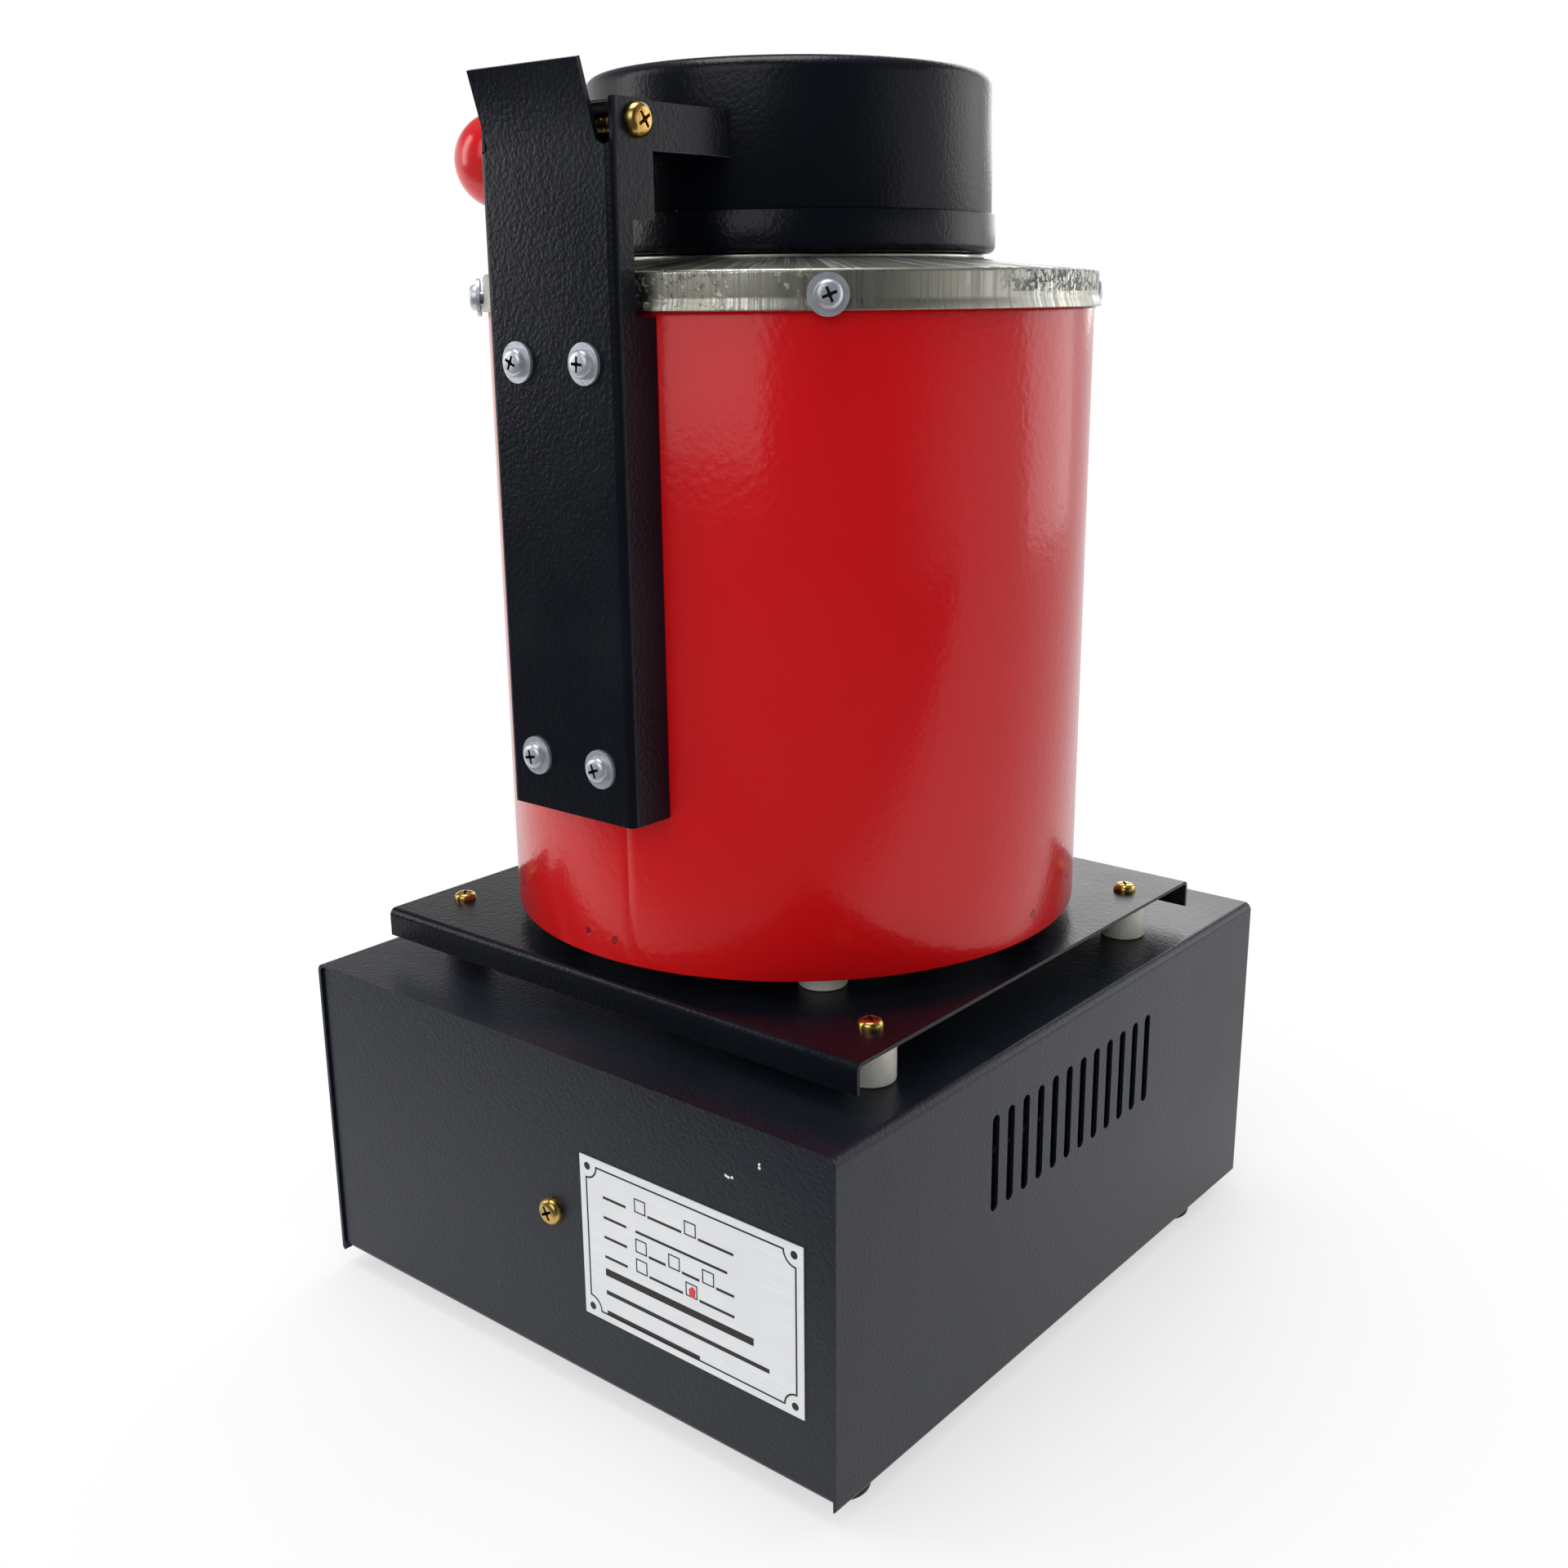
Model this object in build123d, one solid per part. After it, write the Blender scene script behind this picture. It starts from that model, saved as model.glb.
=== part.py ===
from build123d import *
import os
from math import cos, radians, sin, sqrt, tan

# Electric gold melting furnace: a steel control box carries a raised deck, a round
# heating barrel on ceramic standoffs, and a hinged lid with a ball handle.
# Working frame: middle of the control box in X and Y, floor at Z = 0, front towards -Y.
# Every piece is moved at the end, so that the origin lies under the middle of the
# whole furnace's bounding box.

# ---------------------------------------------------------------- driving dimensions, mm
OVERCUT = 1.0            # how far a cutting tool runs past the faces it cuts
SCREW_FIT = 0.2          # radial gap of a screw in a clearance hole
RUNNING_FIT = 0.06       # radial gap of a pin that turns in its hole
SHEET_FIT = 0.4          # gap between a folded sheet and the sheet around it
CURVE_GAP = 0.15         # gap between curved faces that lie on each other
SOFT_GAP = 0.3           # gap round the fibre and ceramic pieces

# Control box: folded cover over a folded chassis
BASE_WIDTH = 235.0
BASE_DEPTH = 263.0
BASE_HEIGHT = 115.4
BASE_SHEET = 1.2
COVER_BEND = 3.0         # outer radius of the cover's long top bends
COVER_FLANGE = 30.0      # inward flange along the cover's lower edges
FLANGE_SETBACK = 5.0     # flange's ends behind the cover's
FLANGE_BEND = 1.5
PANEL_INSET = 1.0        # end panels sit this far inside the cover's ends
PANEL_BEND = 2.4
VENT_COUNT = 12
VENT_PITCH = 9.0
VENT_WIDTH = 4.0
VENT_HEIGHT = 33.5
VENT_LEVEL = 79.8        # middle of the slots above the cover's lower edge

# Feet
FOOT_HEIGHT = 6.0
FOOT_RADIUS = 10.0
FOOT_TAPER = 1.0
FOOT_INSET_SIDE = 12.4
FOOT_INSET_REAR = 18.4
FOOT_INSET_FRONT = 35.0
FOOT_POCKET_DEPTH = 3.4
FOOT_POCKET_RADIUS = 5.2

# Deck plate and where the barrel stands over the box
DECK_WIDTH = 211.5
DECK_DEPTH = 204.4
DECK_SHEET = 1.2
DECK_FLANGE = 10.0
DECK_BEND = 2.5
DECK_SCREW_X = 92.5
DECK_SCREW_Y = 78.1
DECK_CLEARANCE = 15.7    # box top to deck underside
UPPER_X = -1.5
UPPER_Y = 6.0
STANDOFF_RADIUS = 8.0

# Barrel
BARREL_RADIUS = 100.0
BARREL_WALL = 1.2
BARREL_LIFT = 16.0       # deck to barrel floor
SKIRT_LIFT = 6.5         # deck to the barrel's lower edge
BARREL_EXPOSED = 201.2   # lower edge of the barrel to lower edge of its cap
BARREL_SCREW_CIRCLE = 85.0
FLOOR_FLANGE = 8.0
FLOOR_BEND = 2.0

# Cap and mouth
CAP_SHEET = 1.0
CAP_HEIGHT = 11.2
CAP_FLARE = 1.2
CAP_FLARE_HEIGHT = 3.0
CAP_EDGE = 2.0           # rolled outer edge
CAP_RISE = 3.6           # the cone's rise from rim to collar
CAP_SCREW_LEVEL = 4.2    # screw axis above the cap's lower edge
COLLAR_RADIUS = 64.0
COLLAR_SHEET = 1.2
COLLAR_DEPTH = 20.0
MOUTH_RADIUS = 46.0

# Furnace chamber
MUFFLE_WALL = 10.0
MUFFLE_HEIGHT = 123.0
BASE_FIBRE = 49.0
TURN_COUNT = 9
TURN_PITCH = 12.0
TURN_WIRE = 2.0          # radius of one heating turn
TURN_INSET = 1.5         # turn centre line behind the muffle's bore
LEAD_RADIUS = 1.5
LEAD_DEPTH = 6.0         # lead centre line behind the muffle's bore
LEAD_ANGLES = (-60.0, -120.0)
BUSH_RADIUS = 5.0
BUSH_REACH = 7.0         # past the sheets it passes through
PROBE_RADIUS = 3.0
PROBE_ANGLE = 0.0
PROBE_LENGTH = 150.0     # above the barrel floor
PROBE_HEAD = 14.0
LEAD_TAIL = 12.0         # lead below its bush
HEARTH_HEIGHT = 20.0
CRUCIBLE_HEIGHT = 130.0
CRUCIBLE_RADIUS = 40.0
CRUCIBLE_FOOT_RADIUS = 34.0
CRUCIBLE_WALL = 8.0
CRUCIBLE_FLOOR = 12.0

# Lid
LID_RADIUS = 66.0
LID_HEIGHT = 54.5
LID_SHEET = 1.2
LID_EDGE = 4.5
LID_GAP = 0.5            # collar to the lid's lower edge
BAND_HEIGHT = 12.0
BAND_EDGE = 2.4
BAND_LIP = 8.0
LID_FIBRE_TOP_GAP = 2.0

# Hinge
BRACKET_WIDTH = 53.4
BRACKET_SHEET = 1.5
BRACKET_BEND = 2.6
BRACKET_X = -3.8
BRACKET_STANDOFF = 11.9  # web's outer face beyond the barrel
BRACKET_LOWER = 51.6     # bracket's lower end above the barrel's lower edge
WEB_HEIGHT = 194.6       # lower end to the bend of the stop tab
CHEEK_HEIGHT = 205.8
CHEEK_REACH = 16.6       # web's outer face to the cheek's front edge, above the cap
CHEEK_CORNER = 2.0
NOTCH_LOWER = 148.2      # cap notch above the bracket's lower end
NOTCH_HEIGHT = 25.8
NOTCH_DEPTH = 8.0        # web's outer face to the back of the notch
TAB_HEIGHT = 20.4
TAB_LEAN = 17.0
TAB_INSET_LEFT = 5.5     # at the vent side
TAB_INSET_RIGHT = 4.0
SLOT_DEPTH = 1.2         # relief slots below the tab's bend
SLOT_REACH = 1.3         # how far the slots cut into the cheeks' bends
BRACKET_SCREW_PITCH_X = 27.7
BRACKET_SCREW_LOWER = 16.7       # above the bracket's lower end
BRACKET_SCREW_UPPER = 135.5
SPACER_RADIUS = 5.5
PIVOT_LEVEL = 33.9       # above the lid's lower edge
PIVOT_SETBACK = 10.5     # in front of the web's outer face
PIVOT_RADIUS = 2.5
ARM_HEIGHT = 13.0
ARM_ABOVE_PIVOT = 5.5
ARM_SHEET = 1.5
ARM_SIDE_GAP = 0.4
ARM_TAIL_RADIUS = 7.5
ARM_TAIL_WEB = 5.8       # top web's end behind the pivot
LID_TRAVEL = 115.0       # degrees

# Handle
HANDLE_LEVEL = 36.9      # above the lid's lower edge
HANDLE_RADIUS = 4.0
HANDLE_REACH = 139.7     # lid axis to ball centre
BALL_RADIUS = 17.5
BALL_SOCKET = 12.0       # rod's depth past the ball's surface
HANDLE_INNER = 9.0       # rod inside the lid's wall

# Fasteners: shank radius, head radius, head height
SMALL_SCREW = (2.0, 4.0, 2.6)
LARGE_SCREW = (2.5, 4.75, 3.2)
PIVOT_HEAD = (PIVOT_RADIUS, 4.75, 3.2)
PANEL_SCREW = (1.5, 2.9, 1.8)
WASHER_SCREW = (2.1, 4.2, 2.6)
WASHER_RADIUS = 6.0
WASHER_THICKNESS = 1.0
RECESS_DEPTH = 1.5
RECESS_WING = 0.9
RECESS_SPAN = 1.1                # recess length over the head's radius
HEAD_ROUNDING = 0.7              # head's rounding over its height
SMALL_NUT = (2.0, 7.0, 3.2)      # bore radius, across flats, height
PIVOT_NUT_SIZE = (PIVOT_RADIUS, 8.0, 4.0)
HANDLE_NUT_SIZE = (HANDLE_RADIUS, 13.0, 5.0)
THREAD_END = 1.5                 # screw past its nut

# Rear panel
NAMEPLATE_WIDTH = 91.2
NAMEPLATE_HEIGHT = 57.1
NAMEPLATE_THICKNESS = 0.5
NAMEPLATE_X = -59.7
NAMEPLATE_LEVEL = 54.7           # middle above the cover's lower edge
REAR_SCREW_LEVEL = 57.8
TERMINAL_BRACKET_WIDTH = 70.0
TERMINAL_BRACKET_DEPTH = 34.0
TERMINAL_BRACKET_DROP = 14.0     # shelf below the rear screw
TERMINAL_BRACKET_RISE = 10.0
TERMINAL_BRACKET_SHEET = 2.0
TERMINAL_WAYS = 5
TERMINAL_PITCH = 11.0
TERMINAL_DEPTH = 22.0
TERMINAL_HEIGHT = 15.0
TERMINAL_WELL = 3.2

# Front panel
CONTROL_PLATE_WIDTH = 205.0
CONTROL_PLATE_HEIGHT = 94.0
CONTROL_PLATE_THICKNESS = 1.0
CONTROL_PLATE_CORNER = 4.0
CONTROL_LEVEL = 56.5             # middle of the plate above the cover's lower edge
CONTROL_SCREW_INSET = 6.0
CONTROL_FIT = 0.5                # gap between a control and its cut-out
CONTROLLER_X = -48.0
CONTROLLER_FACE = 72.0
CONTROLLER_CASE = 67.0
CONTROLLER_DEPTH = 78.0
CASE_TERMINAL_OFFSET = 16.75     # probe terminals from the middle of the case's back
BEZEL_THICKNESS = 6.5
BEZEL_CORNER = 3.0
BEZEL_EASE = 1.0
WINDOW_WIDTH = 56.0
WINDOW_HEIGHT = 30.0
WINDOW_THICKNESS = 1.2
WINDOW_RECESS = 0.6
WINDOW_UP = 12.0
KEY_NAMES = ("key_set", "key_shift", "key_down", "key_up")
KEY_WIDTH = 10.0
KEY_HEIGHT = 6.0
KEY_PITCH = 14.5
KEY_DOWN = 21.0
KEY_PROUD = 1.0
KEY_TRAVEL = 0.8
KEY_FIT = 0.25
KEY_WELL = 5.0
KEY_CORNER = 1.0
SWITCH_X = 27.0
SWITCH_FACE_WIDTH = 25.0
SWITCH_FACE_HEIGHT = 32.0
SWITCH_FLANGE = 2.0
SWITCH_CORNER = 2.0
SWITCH_EASE = 0.7
SWITCH_WALL = 2.0
SWITCH_DEPTH = 22.0
SWITCH_WELL = 16.0
ROCKER_RADIUS = 11.6
ROCKER_WIDTH = 16.0
ROCKER_FIT = 0.5
ROCKER_PIVOT_DEPTH = 2.0         # pivot behind the plate's face
ROCKER_VALLEY = 4.6              # valley of the rocker's face above its pivot
ROCKER_BACK = 5.0
ROCKER_TILT = 12.0               # degrees each way from the middle
ROCKER_PIN_RADIUS = 1.5
ROCKER_PIN_LENGTH = 1.2
ROCKER_BEARING_DEPTH = 1.7       # pin bores in the well's side walls
INLET_X = 73.0
INLET_FACE_WIDTH = 50.0
INLET_FACE_HEIGHT = 23.5
INLET_FLANGE = 3.0
INLET_CORNER = 4.0
INLET_BODY_WIDTH = 28.0
INLET_BODY_HEIGHT = 21.0
INLET_BODY_DEPTH = 19.0
INLET_RECESS_WIDTH = 24.0
INLET_RECESS_HEIGHT = 16.5
INLET_RECESS_DEPTH = 16.0
INLET_RECESS_CHAMFER = 4.0
INLET_SCREW_PITCH = 40.0
PIN_WIDTH = 2.0
PIN_HEIGHT = 4.0
PIN_LENGTH = 11.0
PIN_PITCH = 7.0
PIN_OFFSET = 2.0
PIN_TAB = 8.0
PIN_FIT = 0.1

# Solid-state relay on its heat sink
SINK_SCREW_GAP = 1.5     # cover's lower flange to the heads of the sink's screws
SINK_Y = 16.0
SINK_HEIGHT = 62.0
SINK_LENGTH = 70.0
SINK_PLATE = 5.0
SINK_FINS = 8
FIN_THICKNESS = 2.0
FIN_REACH = 28.0
SINK_FOOT = 4.0
FIRST_FIN = 12.0         # sink's lower face to its first fin
SINK_SCREW_PITCH = 44.0
RELAY_HEIGHT = 58.0
RELAY_LENGTH = 45.0
RELAY_DEPTH = 23.0
RELAY_WELL = 4.0
RELAY_WELL_END = 11.6    # terminal wells from the block's lower and upper ends
RELAY_WELL_PITCH = 22.5

# Wiring
WIRE_RADIUS = 1.6
WIRE_RUN = 27.0          # straight run before a wire turns
WIRE_END_GAP = 0.3
BEND_SHARE = 0.45        # share of the shorter run that a bend may use

# ---------------------------------------------------------------- levels and places
BASE_BOTTOM = FOOT_HEIGHT
BASE_TOP = BASE_BOTTOM + BASE_HEIGHT
PAN_BOTTOM = BASE_BOTTOM + BASE_SHEET
PAN_TOP = PAN_BOTTOM + BASE_SHEET
PANEL_TOP = BASE_TOP - BASE_SHEET - SHEET_FIT
PANEL_FACE = BASE_DEPTH / 2 - PANEL_INSET
DECK_UNDER = BASE_TOP + DECK_CLEARANCE
DECK_TOP = DECK_UNDER + DECK_SHEET
FLOOR_UNDER = DECK_TOP + BARREL_LIFT
FLOOR_TOP = FLOOR_UNDER + BARREL_WALL
SKIRT_Z = DECK_TOP + SKIRT_LIFT
CAP_BOTTOM = SKIRT_Z + BARREL_EXPOSED
CAP_RIM = CAP_BOTTOM + CAP_HEIGHT
CAP_CREST = CAP_RIM + CAP_RISE
COLLAR_TOP = CAP_CREST + COLLAR_SHEET
LID_BOTTOM = COLLAR_TOP + LID_GAP
LID_TOP = LID_BOTTOM + LID_HEIGHT
CAP_RADIUS = BARREL_RADIUS + CURVE_GAP + CAP_SHEET
BARREL_BORE = BARREL_RADIUS - BARREL_WALL
FIBRE_RADIUS = BARREL_BORE - SOFT_GAP
MUFFLE_RADIUS = MOUTH_RADIUS + MUFFLE_WALL
MUFFLE_BOTTOM = FLOOR_TOP + BASE_FIBRE
MUFFLE_TOP = MUFFLE_BOTTOM + MUFFLE_HEIGHT
TURN_RADIUS = MOUTH_RADIUS + TURN_INSET
FIRST_TURN = MUFFLE_BOTTOM + (MUFFLE_HEIGHT - (TURN_COUNT - 1) * TURN_PITCH) / 2
LEAD_CIRCLE = MOUTH_RADIUS + LEAD_DEPTH
PROBE_CIRCLE = MUFFLE_RADIUS + 2 * SOFT_GAP + PROBE_RADIUS
HEARTH_TOP = MUFFLE_BOTTOM + HEARTH_HEIGHT
BRACKET_BOTTOM = SKIRT_Z + BRACKET_LOWER
WEB_FACE = UPPER_Y + BARREL_RADIUS + BRACKET_STANDOFF
WEB_TOP = BRACKET_BOTTOM + WEB_HEIGHT
CHEEK_TOP = BRACKET_BOTTOM + CHEEK_HEIGHT
BRACKET_SCREW_LENGTH = WEB_FACE - (UPPER_Y + BARREL_BORE) + 2 * BARREL_WALL
PIVOT_Y = WEB_FACE - PIVOT_SETBACK
PIVOT_Z = LID_BOTTOM + PIVOT_LEVEL
HANDLE_Z = LID_BOTTOM + HANDLE_LEVEL
BAND_RADIUS = LID_RADIUS + CURVE_GAP + LID_SHEET
CONTROL_FACE = PANEL_FACE + CONTROL_PLATE_THICKNESS
CONTROL_Z = BASE_BOTTOM + CONTROL_LEVEL
REAR_SCREW_Z = BASE_BOTTOM + REAR_SCREW_LEVEL
SHELF_TOP = REAR_SCREW_Z - TERMINAL_BRACKET_DROP
SINK_SCREW_X = COVER_FLANGE + SINK_SCREW_GAP + SMALL_SCREW[1] - BASE_WIDTH / 2
SINK_X = SINK_SCREW_X + FIN_REACH / 2
STRIP_Y = (PANEL_FACE - BASE_SHEET - TERMINAL_BRACKET_SHEET - THREAD_END - SOFT_GAP
           - TERMINAL_DEPTH / 2)

STANDING = (Align.CENTER, Align.CENTER, Align.MIN)
HANGING = (Align.CENTER, Align.CENTER, Align.MAX)


# ---------------------------------------------------------------- shared shapes
def block(width, depth, height, align=STANDING):
    return Box(width, depth, height, align=align)


def rod(radius, height, align=STANDING):
    return Cylinder(radius, height, align=align)


def ring(outer, inner, height):
    return rod(outer, height) - Pos(0, 0, -OVERCUT) * rod(inner, height + 2 * OVERCUT)


def rounded_plate(width, height, thickness, corner):
    return extrude(RectangleRounded(width, height, corner), thickness)


def turned(points):
    """Solid of revolution about Z from (radius, height) points."""
    outline = make_face(Polyline([(radius, 0, height) for radius, height in points], close=True))
    return revolve(outline, Axis.Z)


def side_plate(points, width):
    """Plate across X from (y, z) points, its middle at X = 0."""
    outline = make_face(Polyline([(0, y, z) for y, z in points], close=True))
    return extrude(outline, width / 2, dir=(1, 0, 0), both=True)


def group(shapes):
    return Compound([solid for shape in shapes for solid in shape.solids()])


def hole(radius, x, y, low, high):
    return Pos(x, y, low - OVERCUT) * rod(radius, high - low + 2 * OVERCUT)


def cross_recess(head_radius):
    length = head_radius * RECESS_SPAN
    cross = block(length, RECESS_WING, RECESS_DEPTH + OVERCUT) + block(
        RECESS_WING, length, RECESS_DEPTH + OVERCUT
    )
    return cross


def screw(sizes, length, washer=False):
    """Cross-recessed screw: seat at Z = 0, head above it, plain shank below."""
    shank_radius, head_radius, head_height = sizes
    head = rod(head_radius, head_height)
    head = fillet(head.edges().sort_by(Axis.Z)[-1], head_height * HEAD_ROUNDING)
    head = head - Pos(0, 0, head_height - RECESS_DEPTH) * cross_recess(head_radius)
    if washer:
        head = Pos(0, 0, WASHER_THICKNESS) * head + rod(WASHER_RADIUS, WASHER_THICKNESS)
    return head + rod(shank_radius, length, align=HANGING)


def nut(sizes):
    """Hexagon nut standing on Z = 0."""
    bore_radius, across_flats, height = sizes
    body = extrude(RegularPolygon(across_flats / 2, 6, major_radius=False), height)
    return body - hole(bore_radius + CURVE_GAP, 0, 0, 0, height)


def on_front(x, z, shape):
    """Place a shape drawn flat, facing +Z, on the control plate's face."""
    return Pos(x, -CONTROL_FACE, z) * Rot(90, 0, 0) * shape


def on_rear(x, z, shape):
    """Place a shape drawn flat, facing +Z, on the rear panel's face."""
    return Pos(x, PANEL_FACE, z) * Rot(0, 0, 180) * Rot(90, 0, 0) * shape


def around_barrel(radius, angle):
    return (
        UPPER_X + radius * cos(radians(angle)),
        UPPER_Y + radius * sin(radians(angle)),
    )


def over_upper(shape):
    """Move a shape drawn about Z onto the barrel's axis."""
    return Pos(UPPER_X, UPPER_Y, 0) * shape


def bend_radii(points):
    """Largest bend for each corner that leaves its two runs a straight middle."""
    corners = [Vector(*point) for point in points]
    radii = []
    for before, corner, after in zip(corners, corners[1:], corners[2:]):
        turn = radians((corner - before).get_angle(after - corner))
        shorter = min((corner - before).length, (after - corner).length)
        radii.append(BEND_SHARE * shorter / tan(turn / 2))
    return radii


def wire(points):
    """Insulated wire along straight runs joined by round bends."""
    path = FilletPolyline(points, radius=bend_radii(points))
    start = Plane(origin=path @ 0, z_dir=path % 0)
    return sweep(start * Circle(WIRE_RADIUS), path)


FOOT_PLACES = [
    (side * (BASE_WIDTH / 2 - FOOT_INSET_SIDE), y)
    for side in (-1, 1)
    for y in (FOOT_INSET_FRONT - BASE_DEPTH / 2, BASE_DEPTH / 2 - FOOT_INSET_REAR)
]
DECK_PLACES = [
    (UPPER_X + side * DECK_SCREW_X, UPPER_Y + end * DECK_SCREW_Y)
    for side in (-1, 1)
    for end in (-1, 1)
]
BARREL_ANGLES = (45.0, 135.0, 225.0, 315.0)
BARREL_PLACES = [around_barrel(BARREL_SCREW_CIRCLE, angle) for angle in BARREL_ANGLES]
LEAD_PLACES = [around_barrel(LEAD_CIRCLE, angle) for angle in LEAD_ANGLES]
PROBE_PLACE = around_barrel(PROBE_CIRCLE, PROBE_ANGLE)
BUSH_PLACES = LEAD_PLACES + [PROBE_PLACE]
CONTROL_SCREW_PLACES = [
    (side * (CONTROL_PLATE_WIDTH / 2 - CONTROL_SCREW_INSET),
     end * (CONTROL_PLATE_HEIGHT / 2 - CONTROL_SCREW_INSET))
    for side in (-1, 1)
    for end in (-1, 1)
]
SINK_SCREW_PLACES = [
    (SINK_SCREW_X, SINK_Y + end * SINK_SCREW_PITCH / 2) for end in (-1, 1)
]
KEY_PLACES = [
    (CONTROLLER_X + (index - (len(KEY_NAMES) - 1) / 2) * KEY_PITCH, CONTROL_Z - KEY_DOWN)
    for index in range(len(KEY_NAMES))
]


# ---------------------------------------------------------------- control box
def base_cover():
    inner_width = BASE_WIDTH - 2 * BASE_SHEET
    outer = Pos(0, 0, BASE_BOTTOM) * block(BASE_WIDTH, BASE_DEPTH, BASE_HEIGHT)
    inner = Pos(0, 0, PAN_BOTTOM) * block(
        inner_width, BASE_DEPTH + 2 * OVERCUT, BASE_HEIGHT - 2 * BASE_SHEET
    )
    outer = fillet(outer.edges().filter_by(Axis.Y).group_by(Axis.Z)[-1], COVER_BEND)
    outer = fillet(outer.edges().filter_by(Axis.Y).group_by(Axis.Z)[0], FLANGE_BEND)
    inner = fillet(inner.edges().filter_by(Axis.Y).group_by(Axis.Z)[-1], COVER_BEND - BASE_SHEET)
    inner = fillet(inner.edges().filter_by(Axis.Y).group_by(Axis.Z)[0], FLANGE_BEND - BASE_SHEET)
    below = Pos(0, 0, BASE_BOTTOM - OVERCUT) * block(
        BASE_WIDTH - 2 * COVER_FLANGE, BASE_DEPTH + 2 * OVERCUT, BASE_SHEET + 2 * OVERCUT
    )
    cover = outer - inner - below
    end_cut = Pos(0, 0, BASE_BOTTOM - OVERCUT) * block(
        inner_width, 2 * FLANGE_SETBACK, BASE_SHEET + 2 * OVERCUT
    )
    for end in (-1, 1):
        cover -= Pos(0, end * BASE_DEPTH / 2, 0) * end_cut
    vent = Plane.YZ * SlotOverall(VENT_HEIGHT, VENT_WIDTH, rotation=90)
    slot = extrude(vent, BASE_WIDTH / 2 + OVERCUT, both=True)
    first = -(VENT_COUNT - 1) * VENT_PITCH / 2
    cover -= group(
        Pos(0, first + index * VENT_PITCH, BASE_BOTTOM + VENT_LEVEL) * slot
        for index in range(VENT_COUNT)
    )
    top_low = BASE_TOP - BASE_SHEET
    for x, y in DECK_PLACES:
        cover -= hole(SMALL_SCREW[0] + SCREW_FIT, x, y, top_low, BASE_TOP)
    for x, y in BUSH_PLACES:
        cover -= hole(BUSH_RADIUS + SCREW_FIT, x, y, top_low, BASE_TOP)
    for x, y in FOOT_PLACES:
        cover -= hole(SMALL_SCREW[0] + SCREW_FIT, x, y, BASE_BOTTOM, PAN_BOTTOM)
    return cover


def front_cutouts():
    """Openings for the controls, shared by the chassis and the control plate."""
    depth = 2 * (CONTROL_PLATE_THICKNESS + BASE_SHEET + OVERCUT)
    case = CONTROLLER_CASE + 2 * CONTROL_FIT
    switch_width = ROCKER_WIDTH + 2 * (ROCKER_FIT + SWITCH_WALL + CONTROL_FIT)
    switch_height = 2 * (ROCKER_RADIUS + ROCKER_FIT + SWITCH_WALL + CONTROL_FIT)
    inlet_width = INLET_BODY_WIDTH + 2 * CONTROL_FIT
    inlet_height = INLET_BODY_HEIGHT + 2 * CONTROL_FIT
    centred = (Align.CENTER, Align.CENTER, Align.CENTER)
    cuts = [
        on_front(CONTROLLER_X, CONTROL_Z, block(case, case, depth, centred)),
        on_front(SWITCH_X, CONTROL_Z, block(switch_width, switch_height, depth, centred)),
        on_front(INLET_X, CONTROL_Z, block(inlet_width, inlet_height, depth, centred)),
    ]
    screw_bore = rod(PANEL_SCREW[0] + SCREW_FIT, depth, align=centred)
    for x, up in CONTROL_SCREW_PLACES:
        cuts.append(on_front(x, CONTROL_Z + up, screw_bore))
    for side in (-1, 1):
        cuts.append(on_front(INLET_X + side * INLET_SCREW_PITCH / 2, CONTROL_Z, screw_bore))
    return group(cuts)


def chassis_pan():
    width = BASE_WIDTH - 2 * (BASE_SHEET + SHEET_FIT)
    height = PANEL_TOP - PAN_BOTTOM
    outer = Pos(0, 0, PAN_BOTTOM) * block(width, 2 * PANEL_FACE, height)
    outer = fillet(outer.edges().filter_by(Axis.X).group_by(Axis.Z)[0], PANEL_BEND)
    inner = Pos(0, 0, PAN_TOP) * block(
        width + 2 * OVERCUT, 2 * (PANEL_FACE - BASE_SHEET), height + OVERCUT
    )
    inner = fillet(inner.edges().filter_by(Axis.X).group_by(Axis.Z)[0], PANEL_BEND - BASE_SHEET)
    pan = outer - inner
    pan = fillet(pan.edges().filter_by(Axis.Y).group_by(Axis.Z)[-1], COVER_BEND)
    for x, y in FOOT_PLACES:
        pan -= hole(SMALL_SCREW[0] + SCREW_FIT, x, y, PAN_BOTTOM, PAN_TOP)
    for x, y in SINK_SCREW_PLACES:
        pan -= hole(SMALL_SCREW[0] + SCREW_FIT, x, y, PAN_BOTTOM, PAN_TOP)
    rear_bore = rod(LARGE_SCREW[0] + SCREW_FIT, 2 * (BASE_SHEET + OVERCUT), align=HANGING)
    pan -= on_rear(0, REAR_SCREW_Z, Pos(0, 0, OVERCUT) * rear_bore)
    return pan - front_cutouts()


def rubber_feet():
    foot = Cone(FOOT_RADIUS - FOOT_TAPER, FOOT_RADIUS, FOOT_HEIGHT, align=STANDING)
    foot -= hole(SMALL_SCREW[0] + SCREW_FIT, 0, 0, 0, FOOT_HEIGHT)
    foot -= Pos(0, 0, -OVERCUT) * rod(FOOT_POCKET_RADIUS, FOOT_POCKET_DEPTH + OVERCUT)
    return group(Pos(x, y, 0) * foot for x, y in FOOT_PLACES)


def foot_screws():
    length = PAN_TOP + SMALL_NUT[2] + THREAD_END - FOOT_POCKET_DEPTH
    piece = Rot(180, 0, 0) * screw(SMALL_SCREW, length)
    return group(Pos(x, y, FOOT_POCKET_DEPTH) * piece for x, y in FOOT_PLACES)


def foot_nuts():
    return group(Pos(x, y, PAN_TOP) * nut(SMALL_NUT) for x, y in FOOT_PLACES)


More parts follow.
